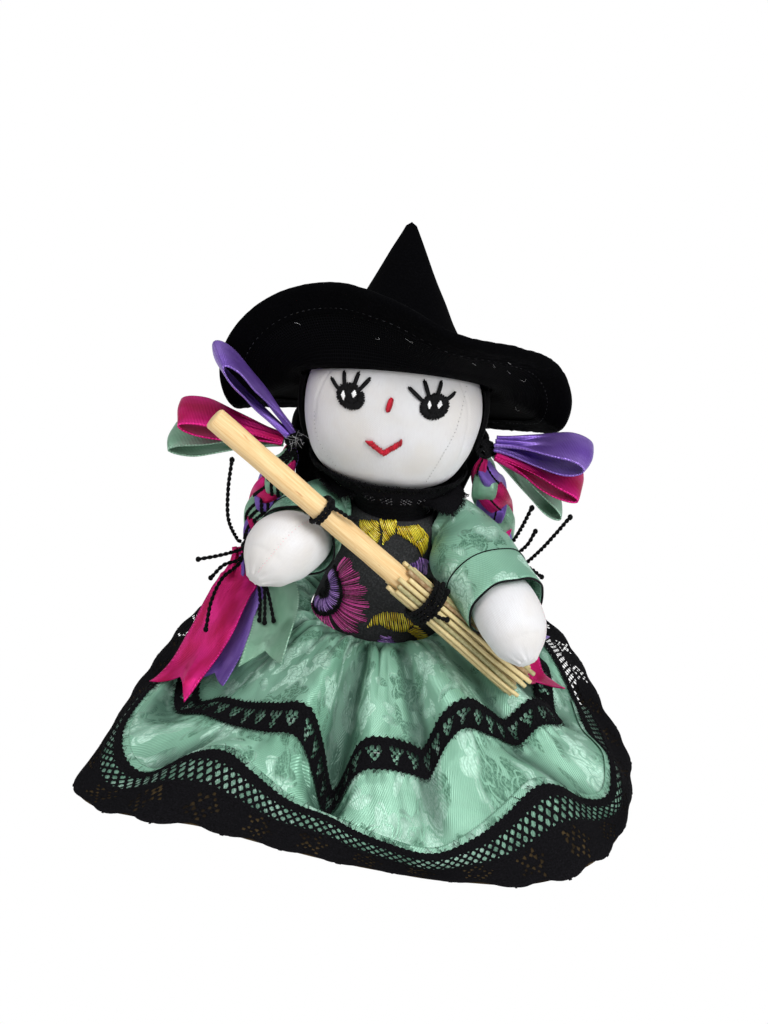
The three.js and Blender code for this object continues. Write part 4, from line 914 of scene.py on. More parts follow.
EYE_HALF = (5.0, 4.55)
EYES = {
    "right": (
        (-19.6, 138.4),
        [(-24.2, 140.0, -26.9, 142.0), (-22.0, 141.7, -22.8, 145.2)]
        + [(-18.7, 142.6, -17.8, 146.3), (-16.0, 142.5, -13.8, 145.5)],
        [(-21.9, 138.3, 0.72, 2.2, 0.12), (-18.35, 139.7, 0.85, 1.95, -0.1)],
    ),
    "left": (
        (8.9, 138.9),
        [(4.0, 141.3, -0.5, 144.7), (6.1, 143.2, 4.3, 147.0)]
        + [(9.4, 143.2, 10.1, 146.7), (12.7, 141.4, 15.2, 143.1)],
        [(7.0, 139.7, 0.6, 2.0, 0.12), (10.35, 139.8, 0.85, 1.95, -0.12)],
    ),
}


# %% Eyes, lashes and glints
def beside(way):
    """A flat direction turned by a quarter to its left."""
    return np.array([-way[1], way[0]])


def eye_threads(spot):
    """Spokes of an oval, an inner ring of them and an outer one, and four threads down its middle."""
    starts, ends = [], []
    for ring, (low, high, step) in enumerate([(0.0, 0.55, 0.11), (0.42, 1.0, 0.088)]):
        count = int(2 * np.pi * high / step)
        t = turns(count) + 0.13 * ring + rng.uniform(-0.05, 0.05, count)
        way = np.stack([np.cos(t), np.sin(t)], axis=1) * EYE_HALF
        starts.append(spot + way * (low + rng.uniform(0, 0.08, (count, 1))))
        ends.append(spot + way * (high + rng.uniform(-0.05, 0.02, (count, 1))))
    middle_bar = spot + np.linspace(-0.9, 0.9, 4)[:, None] * (1, 0)
    return np.concatenate([*starts, middle_bar + (0, -3.6)]), np.concatenate([*ends, middle_bar + (0, 3.9)])


def lash_threads(lines):
    """Three threads for each lash, side by side, of which the middle one is the longest."""
    starts, ends = [], []
    for line in lines:
        base, tip = np.array(line[:2]), np.array(line[2:])
        way = unit(tip - base)
        for shift, far in ((-0.36, -0.2), (0.36, 0.1), (0.0, 0.35)):
            starts.append(base - way * 1.4 + beside(way) * shift * 0.8)
            ends.append(tip + way * far + beside(way) * shift)
    return starts, ends


def glint_threads(almonds):
    """Six threads across each almond, shorter to the sides: half height (1.04 - |k|^1.3)."""
    starts, ends = [], []
    for x, z, half_wide, half_high, lean_ in almonds:
        for k in np.linspace(-1, 1, 6):
            step = vector(-math.sin(lean_), math.cos(lean_)) * half_high * (1.04 - abs(k) ** 1.3)
            middle = vector(x + k * half_wide * 0.84, z)
            starts.append(middle - step)
            ends.append(middle + step)
    return starts, ends


for side_name, (spot, lines, almonds) in EYES.items():
    eye, lashes, glints = (side_name + part for part in ("_eye_thread", "_lashes", "_eye_glints"))
    node = [side_name + "_eye"]
    stitches(eye, eye_threads(np.array(spot)), *FACE, 0.74, 0.5, BLACK_THREAD, "yarn", node)
    stitches(lashes, lash_threads(lines), *FACE, 0.8, 0.6, BLACK_THREAD, "yarn", stations=8)
    stitches(glints, glint_threads(almonds), *FACE, 0.4, 0.95, WHITE_THREAD, "muslin")

# %% [markdown]
# The nose is one short upright bundle of red thread, and the smile is two slanting rows that meet in a
# low point. Down each cheek runs the dotted seam that joins the head's panels. All are stitches again,
# but the seams follow curves, so they are laid as short pieces along a path.

# %% Nose and smile
nose_low, nose_high = vector(-6.6, 135.5), vector(-5.7, 140.9)
nose_way = unit(nose_high - nose_low)
starts, ends = [], []
for k in np.linspace(-1, 1, 5):
    short = 0.5 * k * k + 0.2 * rng.random()
    starts.append(nose_low + beside(nose_way) * k * 0.62 + nose_way * short)
    ends.append(nose_high + beside(nose_way) * k * 0.62 - nose_way * short)
stitches("nose_thread", (starts, ends), *FACE, 0.7, 0.7, RED_THREAD, "red_thread", ["nose_stitch"])
starts, ends = [], []
low_point = vector(-5.9, 120.2)
for corner in (vector(-11.6, 124.0), vector(-0.4, 125.3)):
    line = unit(corner - low_point)
    for i in range(9):
        middle = low_point + (corner - low_point) * (i + 0.2) / 8.6
        jitter = rng.uniform(-0.15, 0.15, 2)
        starts.append(middle - line * 0.85 - beside(line) * (0.85 + jitter[0]))
        ends.append(middle + line * 1.0 + beside(line) * (0.85 + jitter[1]))
stitches("smile_thread", (starts, ends), *FACE, 1.05, 0.75, RED_THREAD, "red_thread", ["mouth_stitch"])


# %% The dotted seams of the cheeks
def seam_dots(name, points, ups, length, thick, material, body):
    """A row of short machine stitches along points on a surface."""
    way = unit(np.gradient(points, axis=0))
    paths = points[:, None] + way[:, None] * (np.linspace(-0.5, 0.5, 4) * length)[None, :, None]
    paths = paths + (ups * 0.05)[:, None]
    tint = rng.random(len(points))
    dots = tubes(name, paths, thick / 2, ups[:, None], sides=5, material=material, tint=tint)
    finish_piece(dots, body, "muslin")


CHEEK_SEAMS = {
    "right": (15, [(-31.6, 128), (-30.9, 123), (-29.4, 118.6), (-26.7, 114.7), (-22.1, 110)]),
    "left": (28, [(18.9, 144), (18.6, 140), (18.3, 136), (17.6, 131)]
             + [(16.4, 126.4), (14.6, 121.6), (12.6, 116), (10.2, 109)]),
}
for side_name, (count, route) in CHEEK_SEAMS.items():
    x, z = curve_through(route, count).T
    seam_dots(side_name + "_cheek_seam", on_face(x, z), face_up(x, z), 0.22, 0.3, GREY_THREAD, "doll")

# %% [markdown]
# The hat is felt: a cone sewn to a wide brim that turns up in front and dips at the sides. Under the
# brim lies stiff netting. A cone could be a Blender primitive, but this one leans back and its brim
# waves, so every point is given by a bearing round the hat and by distances in the hat's own frame.

# %% Places on the hat
BRIM_TURN = [
    [-165, -12], [-125, -20], [-95, -26], [-68, 14], [-46, 50], [-26, 58], [-4, 40],
    [16, 16], [36, 14], [56, 11], [74, -6], [92, -23], [130, -20],
]
BRIM_WIDTH, BRIM_BEND = 26.5, 7
SEAM_SHARE = 1 + (GAP + 0.1) / HAT_RING_HALF[1]


def hat_points(bearing, share, height):
    """ring + side * 33 share sin b + front * 26 share cos b + up * height, b being the bearing."""
    t = np.radians(bearing)
    side, front = HAT_RING_HALF[0] * share * np.sin(t), HAT_RING_HALF[1] * share * np.cos(t)
    side, front, height = (np.asarray(x)[..., None] for x in (side, front, height))
    return HAT_RING + side * HAT_SIDE + front * HAT_FRONT + height * HAT_UP


def brim_points(bearing, out, lift):
    """From the seam the brim runs outwards, turned up by the angle read from the rows; the turn comes
    in over the first seven millimetres. Lift is measured square to the brim."""
    bearing, out, lift = np.broadcast_arrays(*(np.asarray(x, float) for x in (bearing, out, lift)))
    turn = np.radians(through(BRIM_TURN, bearing, 360))
    flat = unit(hat_points(bearing, 2.0, 0.0) - HAT_RING)
    c, s = np.cos(turn), np.sin(turn)
    bend = smoothstep(out, 0, BRIM_BEND)[..., None]
    way = unit(flat * (1 - bend) + (flat * c + HAT_UP * s) * bend)
    square = unit(HAT_UP * (1 - bend) + (HAT_UP * c - flat * s) * bend)
    return hat_points(bearing, SEAM_SHARE, 0.0) + way * out[..., None] + square * lift[..., None]


# %% Crown
bearings = np.linspace(-180, 180, 241)[:-1]
heights = np.concatenate([np.linspace(0, 12, 16), np.linspace(14, 56, 40)])[:, None]
shares = crown_share(heights)
shares[-1] = crown_share(heights[-1], 1.0)
crown = hat_points(bearings, shares, heights)
crown_out = unit(crown - (HAT_RING + heights[..., None] * HAT_UP))
dents = 0.9 * bumps(crown, 14, 1.0) * smoothstep(heights, 6, 20) * (1 - smoothstep(heights, 46, 55))
crown_outer = crown + crown_out * dents[..., None] * 0.8
inner_heights = vector(-1, 4, 10, 20, 38, 48)[:, None]
crown_inner = hat_points(bearings, crown_share(inner_heights, FELT), inner_heights)


def with_tip(rows_, rise=0.0):
    """Rows of the crown with one more, in which all points meet in the mean of the last."""
    tip = np.repeat(rows_[-1:].mean(1, keepdims=True), rows_.shape[1], 1)
    return np.concatenate([rows_, tip + HAT_UP * rise])


crown_piece = shell("hat_crown_felt", with_tip(crown_outer, 0.4), with_tip(crown_inner), material=HAT_FELT)
finish_piece(crown_piece, "doll", "hat_felt", "hat_crown")

# %% Brim, seam and netting
outs = np.linspace(0, BRIM_WIDTH, 34)[:, None]
ripple = 0.35 * np.sin(np.radians(bearings) * 9 + 1.0) * smoothstep(outs, 8, BRIM_WIDTH)
brim_faces = [brim_points(bearings, outs, lift) for lift in (FELT + ripple * 0.4, 0.0)]
brim = shell("hat_brim_felt", *brim_faces, material=HAT_FELT)
finish_piece(brim, "doll", "hat_felt", "hat_brim")
seam_ring = hat_points(np.linspace(-180, 180, 181), 0.5 + 0.5 * SEAM_SHARE, np.full(181, 0.9))
hat_seam = tubes("hat_crown_seam", seam_ring[None], 0.85, HAT_UP, 10, material=HAT_FELT, tint=[0.5])
finish_piece(hat_seam, "doll", "hat_felt")
outs = np.linspace(0.4, BRIM_WIDTH - 0.3, 40)[:, None]
net_faces = [brim_points(bearings, outs, lift) for lift in (-GAP, -GAP - 0.6)]
lining = shell("hat_brim_net", *net_faces, material=BRIM_NET)
finish_piece(lining, "doll", "hat_mesh", "hat_brim_lining")

# %% [markdown]
# A strip of the same felt is folded over the brim's edge and stitched down with dull thread. A bevel
# could round the edge, but the strip is a piece of its own: it starts on the upper face, goes round the
# edge and ends on the netting. Its path is written once and swept round the hat. A little pale lint
# clings to the felt.

# %% The binding's path across the edge
BAND = 8.2


def across_edge(share):
    """How far out the strip lies and how high, for a share of the way over the edge: a flat stretch,
    half a turn round the edge, and a flat stretch back."""
    if share < 0.3:
        return BRIM_WIDTH - BAND * 0.7 * (1 - share / 0.3) - 0.3, 1.9
    if share < 0.55:
        turn = math.pi * (share - 0.3) / 0.25
        return BRIM_WIDTH + 1.0 + 1.6 * math.sin(turn), 0.15 + 1.75 * math.cos(turn)
    return BRIM_WIDTH - BAND * (share - 0.55) / 0.45 + 0.6, -1.6 + 0.12 * math.sin(9 * share)


band_out, band_lift = np.array([across_edge(share) for share in np.linspace(0, 1, 30)]).T[..., None]
nap = 0.12 * rng.standard_normal((len(band_out), len(bearings)))
outer = brim_points(bearings, band_out, band_lift + nap)
inner = brim_points(bearings, np.minimum(band_out, BRIM_WIDTH + 1.9), np.clip(band_lift, -1.15, 1.35))
binding = shell("hat_edge_strip", outer, inner, material=HAT_FELT)
finish_piece(binding, "doll", "hat_felt", "hat_edge_binding")

# %% Its stitches, and lint
STITCH_OUT = BRIM_WIDTH - 5.6
at = np.arange(-172, 172, 2.6)
paths = np.stack([brim_points(at + s, STITCH_OUT, -1.75) for s in (0, 0.5, 1.0)], axis=1)
ups = unit(brim_points(at, STITCH_OUT, -3.0) - brim_points(at, STITCH_OUT, -1.0))[:, None]
sewn = tubes("hat_edge_stitches", paths, 0.11, ups, 5, material=DULL_THREAD, tint=rng.random(len(at)))
finish_piece(sewn, "doll", "hat_felt")
lint_paths = []
for _ in range(12):
    bearing, out, upper = rng.uniform(-70, 100), rng.uniform(8, 26), rng.random() < 0.3
    drift, run = rng.uniform(-3, 3), rng.uniform(-2.5, 2.5)
    u = np.linspace(0, 1, 7)
    lift = (1.4 if upper else -1.85) + (0.5 if upper else -0.5) * np.sin(np.pi * u)
    curl = bearing + drift * u + 0.9 * np.sin(4 * u)
    lint_paths.append(brim_points(curl, out + (25 - out) * 0.2 + run * u, lift))
lint_paths = np.array(lint_paths)
lint_ups = unit(lint_paths - HAT_RING)[:, :1]
hat_lint = tubes("hat_lint", lint_paths, 0.032, lint_ups, sides=4, material=LINT)
finish_piece(hat_lint, "doll", "hat_felt")

# %% [markdown]
# The skirt is two gathered tiers of satin with crochet lace sewn to each. A cloth simulation would
# fall in other folds each time, so its shape is one sheet of measured folds: rows give, for bearings
# round the doll, how far out and how high the first tier's edge, the lace seam and the floor edge lie.
# Small pleats run down from each gathered seam, pressed inwards so that nothing grows beyond the solid.

# %% The measured folds
SKIRT_REACH, WAIST_Z, HEM_Z = 123, 42, 0.1
TRIM_WIDTH, PUFF = 12, 9
TRIM_ROWS = [  # bearing, distance as a share of the reach, height
    [-174, 0.5041, 27], [-156, 0.4878, 18], [-138, 0.5041, 27], [-120, 0.4878, 19],
    [-103, 0.4959, 27], [-86, 0.5041, 16], [-68, 0.5366, 7], [-56, 0.4959, 17],
    [-45, 0.4715, 22], [-30, 0.4715, 31], [-20, 0.4715, 35], [-14, 0.4797, 23],
    [-8, 0.5122, 7], [-4, 0.5041, 8], [1, 0.4715, 25], [8, 0.4715, 28.5],
    [16, 0.4715, 26], [23, 0.4797, 24], [29, 0.4715, 38], [36, 0.4715, 42],
    [45, 0.4797, 35], [54, 0.5041, 27], [62, 0.5366, 33], [72, 0.561, 25],
    [84, 0.5203, 17], [98, 0.5041, 26], [114, 0.4878, 18], [131, 0.5041, 27],
    [149, 0.4878, 18], [167, 0.5041, 27],
]
SEAM_ROWS = [
    [-172, 0.6504, 12], [-154, 0.6179, 5], [-137, 0.6341, 11], [-120, 0.5854, 4.5],
    [-103, 0.5772, 9], [-86, 0.6016, 5], [-70, 0.7154, 7], [-60, 0.8049, 6],
    [-52, 0.8293, 4], [-47, 0.7886, 4], [-42, 0.6911, 13], [-36, 0.6423, 17],
    [-28, 0.6341, 15], [-16, 0.6423, 10], [-3, 0.6504, 6.5], [8, 0.6911, 5],
    [19, 0.748, 5], [28, 0.7398, 8], [37, 0.7236, 13], [45, 0.7236, 20],
    [50, 0.748, 18], [56, 0.7967, 10], [63, 0.8374, 7], [70, 0.7967, 12],
    [80, 0.7073, 9], [96, 0.6748, 5], [113, 0.6423, 11], [131, 0.6911, 5],
    [149, 0.6829, 12], [168, 0.6504, 5],
]
HEM_ROWS = [
    [-165, 0.7561], [-142, 0.7561], [-118, 0.7154], [-97, 0.6992], [-76, 0.7642], [-62, 0.8699],
    [-53, 1], [-47, 0.9919], [-40, 0.9187], [-31, 0.8211], [-20, 0.7724], [-8, 0.7561],
    [8, 0.7724], [24, 0.8374], [35, 0.9106], [46, 0.9512], [56, 0.9431], [70, 0.9024],
    [84, 0.8618], [98, 0.8049], [115, 0.813], [135, 0.8618], [155, 0.8211], [178, 0.7724],
]
SHEET_SHARES = (0, 0.13, 0.4, 0.51, 0.77, 1)
print("skirt folds", len(TRIM_ROWS), len(SEAM_ROWS), len(HEM_ROWS))


# %% The sheet
def sheet_points(bearing, share):
    """For each bearing, rows of distance and height are read smoothly, and then a second smooth curve
    runs through them from the waist to the floor. x = r sin b, y = middle - r cos b."""
    bearing, share = np.asarray(bearing, float), np.asarray(share, float)
    t, same = np.radians(bearing), np.ones(bearing.shape)
    waist = 1 / np.hypot(np.sin(t) / 26, np.cos(t) / 21.5)
    trim = through(TRIM_ROWS, bearing, 360) * (SKIRT_REACH, 1)
    seam = through(SEAM_ROWS, bearing, 360) * (SKIRT_REACH, 1)
    hem = through(HEM_ROWS, bearing, 360)[..., 0] * SKIRT_REACH
    drop = np.minimum(3 + 0.2 * trim[:, 1], trim[:, 1] - 2.5)
    spread = np.sqrt(TRIM_WIDTH**2 - drop**2)
    puffed = WAIST_Z + 3 + 0.22 * (trim[:, 1] - 25)
    r = np.stack([waist, waist + PUFF, trim[:, 0], trim[:, 0] + spread, seam[:, 0], hem])
    z = np.stack([WAIST_Z * same, puffed, trim[:, 1], trim[:, 1] - drop, seam[:, 1], HEM_Z * same])
    r, z = np.moveaxis(hermite(SHEET_SHARES, np.stack([r, z], axis=-1), share), -1, 0)
    return np.stack([r * np.sin(t), BODY_Y - r * np.cos(t), np.maximum(z, HEM_Z)], axis=-1)


def sheet_square(bearing, share):
    """The sheet's outward direction, from its slopes round and down; flat up at the floor."""
    above, below = np.maximum(share - 0.004, 0), np.minimum(share + 0.004, 1)
    down = sheet_points(bearing, below) - sheet_points(bearing, above)
    round_ = sheet_points(bearing + 0.5, share) - sheet_points(bearing - 0.5, share)
    square = unit(np.cross(round_, down))
    square = np.where(square[..., 2:] < 0, -square, square)
    k = smoothstep(share, 0.9, 1)[:, None, None]
    return unit(square * (1 - k) + np.array([0, 0, 1.0]) * k)


def sheet_lifted(bearing, share, lift):
    """The sheet's points plus its outward direction times a lift, and never below the floor edge."""
    points = sheet_points(bearing, share) + sheet_square(bearing, share) * np.asarray(lift)[..., None]
    points[..., 2] = np.maximum(points[..., 2], HEM_Z)
    return points


# %% Pleats, and painted shade in their hollows
def pleats(bearing, share, count, start, reach, depth, seed):
    """Gathers below a seam: rounded ridges with sharp valleys, one less than the square root of a
    raised sine, which fade out down the cloth and merge two by two."""
    b = np.radians(bearing)[None, :]
    s = np.asarray(share)[:, None] - start
    wander = 0.5 * np.sin(3 * b + seed) + 0.35 * np.sin(7 * b + 2 * seed)
    near = 0.5 + 0.5 * np.sin(count * (b + 0.02 * wander) + 3 * wander)
    far = 0.5 + 0.5 * np.sin(count / 2 * (b + 0.02 * wander) + 1.5 * wander + 1)
    fall = np.exp(-((s / reach) ** 2))
    slow = np.exp(-((s / (2.6 * reach)) ** 2)) * smoothstep(s, 0, reach)
    valley = (1 - np.sqrt(near)) * fall + 0.8 * (1 - np.sqrt(far)) * slow
    return -depth * valley * smoothstep(s, 0.0, 0.02) * (0.7 + 0.3 * np.sin(5 * b + seed))


def painted_fold_shade(points, square):
    """How deep each point lies below the mean of its neighbours round the skirt, on three scales, as a
    darkness from 0 to 1. It is painted shade: the satin's colour is darkened in the bottoms of the folds,
    where a fold would lie in shade."""
    found = np.zeros(points.shape[:2])
    for reach, depth in ((7, 0.9), (22, 3.4), (60, 9.0)):
        padded_ = np.concatenate([points[:, -reach:], points, points[:, : reach + 1]], axis=1)
        total = np.cumsum(padded_, axis=1)
        mean = (total[:, 2 * reach + 1 :] - total[:, : -2 * reach - 1]) / (2 * reach + 1)
        below = ((mean[:, : points.shape[1]] - points) * square).sum(-1)
        found = 1 - (1 - found) * (1 - np.clip(below / depth, 0, 0.85))
    return found


# %% What a cloth was cut to
def cloth_area(points, around=True):
    """Half the length of the cross product of each cell's two diagonals, summed."""
    p = np.concatenate([points, points[:, :1]], axis=1) if around else points
    one, two = p[1:, 1:] - p[:-1, :-1], p[1:, :-1] - p[:-1, 1:]
    return float(np.linalg.norm(np.cross(one, two), axis=2).sum() / 2)


def longest_row(points):
    """The length of a grid's longest row: its steps' lengths, summed."""
    return float(np.linalg.norm(np.diff(points, axis=1), axis=2).sum(1).max())


# %% Two tiers of satin
SKIRT_BEARINGS = np.linspace(-180, 180, 721)[:-1]
LAID = SATIN + GAP


def tier(name, node, span, rows_, soft, body, gathers, rests_on):
    """A tier's outer face, with its pleats and a soft unevenness, and its inner face, pressed in where
    the outer one is. soft is the unevenness's size and seed; body is where it fades in and out."""

    def relief(share):
        """The pleats, plus the unevenness less a half where the cloth hangs free."""
        swell = 0.5 * bumps(sheet_points(SKIRT_BEARINGS, share), *soft)
        free = smoothstep(share, *body[0])[:, None] * (1 - smoothstep(share, *body[1]))[:, None]
        return pleats(SKIRT_BEARINGS, share, *gathers) + (swell - 0.5) * free

    share, inner_share = np.linspace(*span, rows_), np.linspace(*span, rows_ // 3)
    outer = sheet_lifted(SKIRT_BEARINGS, share, SATIN + relief(share))
    inner = sheet_lifted(SKIRT_BEARINGS, inner_share, np.minimum(relief(inner_share), 0))
    # Painted shade: how deep each point lies in a fold, as a darkness that the satin's colour takes.
    dark = painted_fold_shade(outer, sheet_square(SKIRT_BEARINGS, share))
    dark = np.concatenate([dark, np.zeros(inner.shape[:2])])
    piece = shell(name, outer, inner, attributes={"painted_shade": dark}, material=BROCADE)
    finish_piece(piece, "doll", "mint_satin", node)
    return piece


UPPER = ((0, 0.4495), 78, (7, 2.0), ((0.05, 0.14), (0.36, 0.4)), (28, 0.0, 0.23, 3.6, 0.7))
LOWER = ((0.4505, 0.8), 72, (9, 5.0), ((0.52, 0.56), (0.72, 0.77)), (84, 0.5, 0.06, 1.3, 2.2))
upper_tier = tier("skirt_upper_satin", "skirt_upper_tier", *UPPER, [torso])
lower_tier = tier("skirt_lower_satin", "skirt_lower_tier", *LOWER, [upper_tier])

# %% [markdown]
# Lace is made of thread and holes. A see-through picture on a plain strip would be the quick way, but
# its holes would be painted, so here they are real. A mask over the flat cloth says where thread lies:
# above zero is thread, below is hole. Cells of the grid that lie in a hole are dropped, and the points
# that are left slide towards where the mask is zero, so that the holes have smooth edges.

# %% Lace
def thread_cells(m):
    """The cells of a mask that hold thread, where their four corners sum to more than zero, and the
    points that touch such a cell, less the first and the last row."""
    wrapped = np.concatenate([m, m[:, :1]], axis=1)
    keep = (wrapped[:-1, :-1] + wrapped[1:, :-1] + wrapped[:-1, 1:] + wrapped[1:, 1:]) > 0
    touched = np.zeros(m.shape, bool)
    touched[:-1] |= keep | np.roll(keep, 1, 1)
    touched[1:] |= keep | np.roll(keep, 1, 1)
    touched[[0, -1]] = False
    return keep, touched


def slopes(values, step_u, step_v):
    """How fast values change along a closed row and down a column, by their neighbours on each side."""
    along = (np.roll(values, -1, 1) - np.roll(values, 1, 1)) / (2 * step_u)
    return along, np.gradient(values, axis=0) / step_v


def lace(name, place, mask, relief, length, width_, cell, node):
    """place(u, v) gives points of the sheet for flat places u along and v across, in millimetres. A
    point slides against the mask's slope by the mask over the slope squared, at most 0.42 cells."""
    columns, rows_ = int(round(length / cell)), int(round(width_ / cell)) + 1
    u, v = np.arange(columns) * (length / columns), np.linspace(0, width_, rows_)
    m = mask(u[None, :], v[:, None])
    keep, touched = thread_cells(m)
    du, dv = slopes(m, length / columns, v[1])
    steep, most = np.maximum(du**2 + dv**2, 1e-6), 0.42 * cell
    slide_u, slide_v = (np.clip(-m * d / steep, -most, most) * touched for d in (du, dv))
    points = place(u, v)
    ahead, down = slopes(points, length / columns, v[1])
    square = unit(np.cross(ahead, down))
    outward = (square * unit(points - (0, BODY_Y, -30))).sum(-1, keepdims=True)
    square = np.where(outward < 0, -square, square)
    points = points + ahead * slide_u[..., None] + down * slide_v[..., None]
    points = points + square * relief(u[None, :], v[:, None])[..., None]
    flip = bool((np.cross(ahead, down) * square).sum() < 0)
    piece = surface(name, points, around=True, keep=keep, material=LACE_THREAD, flip=flip)
    finish_piece(piece, "doll", "lace", node)
    share = float(keep.mean())
    area = cloth_area(points) * share * MM * MM
    print(name, "cut", round(length), "by", round(width_), "mm, thread over", round(share, 2))
    return piece


# %% Small patterns for the laces
def wave(x, period):
    """A wave from -1 to 1: the cosine of two pi times the place over the period."""
    return np.cos(2 * np.pi * x / period)


def ridge(v, middle, wide):
    """A raised line along the lace: e to the minus square of the distance from it over its width."""
    return np.exp(-(((v - middle) / wide) ** 2))


def diamonds(u, v, across, down_):
    """How far a place is inside the nearest diamond hole of a net, from 0 on its thread to 1."""
    a = np.abs((u / across + v / down_) % 1 - 0.5) * 2
    b = np.abs((u / across - v / down_) % 1 - 0.5) * 2
    return np.maximum(a, b)


def from_middle(u, period):
    """How far a place is from the middle of its repeat of the pattern."""
    return (u + period / 2) % period - period / 2


def rows_along(share, count=2881):
    """Bearings round the sheet at one share, and how far along the cloth each of them lies: where the
    cloth runs steeply up and down, a bearing covers more of it."""
    b = np.linspace(-180, 180, count)
    return b, steps_of(sheet_points(b, [share])[0])


# %% The lace of the upper tier
mid_b, mid_along = rows_along(0.455)
MID_LENGTH, MID_WIDTH = mid_along[-1], 12.0


def mid_mask(u, v):
    """Bands at both edges and, between them, windows narrow at the bottom with a net inside."""
    period = MID_LENGTH / round(MID_LENGTH / 7.2)
    off = np.abs(from_middle(u, period))
    half = 3.3 - 0.46 * (v - 2.9)
    window = np.minimum(np.minimum(half - off, (v - 2.9) * 0.9), (9.0 - v) * 0.9)
    net = diamonds(u, v, 2.1, 2.5) - 0.72
    thread_ = np.maximum(-window, net * 1.1)
    small = 0.2 - np.hypot((u + period / 2) % 2.15 - 1.07, (v - 9.9) * 1.1)
    edge = 11.45 + 0.45 * wave(u, 1.7) - v
    top = v - 0.35 + 0.25 * wave(u, 2.3)
    return np.minimum(np.minimum(np.minimum(thread_, -small), edge), top)


def mid_relief(u, v):
    """A cord near each edge, with a slight twist, over the unevenness of the stitches."""
    cord = ridge(v, 1.3, 0.5) + ridge(v, 10.8, 0.4)
    return 0.35 * cord * (0.7 + 0.3 * wave(u, 1.1)) + 0.2 * wave(u + 3 * v, 1.7) * wave(v, 1.3)


def mid_place(u, v):
    """Flat places on the sheet: the bearing at a length, and a share that grows with the width."""
    return sheet_lifted(np.interp(u, mid_along, mid_b), 0.4 + 0.11 * v / MID_WIDTH, LAID + 0.55)


mid = (mid_place, mid_mask, mid_relief, MID_LENGTH, MID_WIDTH, 0.42)
lace("skirt_mid_crochet", *mid, "skirt_mid_lace")

# %% [markdown]
# The hem's lace is the widest, and the part of the doll that shows most holes. It has a firm heading, a
# net of diamonds, and loose flowers over each scallop. It could be one repeated piece, but the folds
# stretch and press it, so the pattern is laid along the cloth's length and counted out evenly.

# %% The lace of the hem
hem_b, hem_along = rows_along(0.86)
HEM_LENGTH, HEM_WIDTH = hem_along[-1], 27.0


def hem_mask(u, v):
    """A firm heading, three rows of diamond net, a close ground with loose flowers, a scalloped edge."""
    net = diamonds(u, v, 3.3, 4.3) - 0.66
    in_net = np.minimum(v - 4.4, 12.6 - v)
    scallop = HEM_LENGTH / round(HEM_LENGTH / 19)
    flower_u, flower_v = from_middle(u, scallop), v - 18.4
    r, t = np.hypot(flower_u, flower_v), np.arctan2(flower_v, flower_u)
    petals = 4.9 + 1.1 * np.cos(5 * t) - r
    open_ground = diamonds(u, v, 2.6, 2.9) - 0.6
    flower = np.maximum(-petals, np.maximum(open_ground, np.minimum(1.3 - r, 1)))
    close = np.maximum(0.62 - np.hypot((u % 3.4) - 1.7, (v % 3.1) - 1.55), -1)
    ground = np.where(v > 13, np.minimum(np.minimum(flower, 3), 0.9 - close * 1.6), 1.0)
    thread_ = np.where(in_net > 0, np.maximum(net, -in_net * 1.2), ground)
    edge = HEM_WIDTH - 0.3 - 1.7 * (0.5 + 0.5 * wave(u, scallop)) ** 1.5 - v
    top = v - 0.3 + 0.25 * wave(u, 2.3)
    return np.minimum(np.minimum(thread_, edge), top)


def hem_relief(u, v):
    """Three cords in the heading and one below the net, all flat again where the lace lies down."""
    cord = sum(ridge(v, line, 0.55) for line in (1.0, 2.6, 4.1))
    flat = 1 - smoothstep(v, 22.5, 26)
    twist = 0.35 * cord * (0.75 + 0.25 * wave(u, 1.2))
    return (twist + 0.3 * ridge(v, 13.2, 0.7) + 0.12 * wave(u + 2 * v, 2.1)) * flat


def over_satin(share):
    """How far cloth over the lower tier is lifted: the satin's wall and a gap, gone past its edge."""
    return LAID * (1 - smoothstep(share, 0.8, 0.93))


def hem_place(u, v):
    """Flat places on the sheet, lifted over the satin as far as that reaches."""
    share = 0.77 + 0.23 * v / HEM_WIDTH
    return sheet_lifted(np.interp(u, hem_along, hem_b), share, (over_satin(share) + 0.45)[:, None])


hem = (hem_place, hem_mask, hem_relief, HEM_LENGTH, HEM_WIDTH, 0.62)
lace("skirt_hem_crochet", *hem, "skirt_hem_lace")

# %% [markdown]
# Through the holes of the hem one sees green satin above and a dark brown sheet below it. Both are real
# strips under the lace, since a darker colour painted on the lace itself would fill its holes. The satin is
# darkened towards the floor by painted shade, and the brown sheet is painted shade too: it stands for the
# shadow under the hem.

# %% What lies behind the net of the hem
def under_hem(name, low, high, reach, above, material, slot_name, thick=0.12):
    """A thin cloth under the hem's lace, which follows the lace's lift along the sheet."""
    share = np.linspace(low, high, 26)
    lift = (over_satin(share) + above)[:, None]
    bearings_ = np.arange(-reach, reach + 0.1, 1.0)
    outer, inner = (sheet_lifted(bearings_, share, lift + d) for d in (0, -thick))
    outer[..., 2] = np.maximum(outer[..., 2], HEM_Z + 0.12)
    # Painted shade: the satin under the lace is darkened more towards its lower edge, for the shade under the
    # hem.
    dark = (0.25 + 0.5 * smoothstep(share, low, high))[:, None]
    piece = strip(name, outer, inner, dark, material, "painted_shade")
    finish_piece(piece, "doll", slot_name)


under_hem("hem_allowance", 0.745, 0.885, 96, 0.2, BROCADE, "mint_satin")
# Painted shadow: a dark brown sheet under the hem's flowers, for the shade beneath the hem.
under_hem("hem_shade_backing", 0.845, 0.985, 104, 0.04, SHADE_BACKING, "lace")

# %% [markdown]
# The bodice is grey felt, worked with flowers in satin stitch: yellow petals at the top and low on the
# doll's left, a large magenta flower with a purple ring on its right, and purple in between. These are
# the generic flowers of traditional needlework. Each petal is an outline filled with threads, as a
# needleworker does it, so that the threads' slant gives each petal its own light.

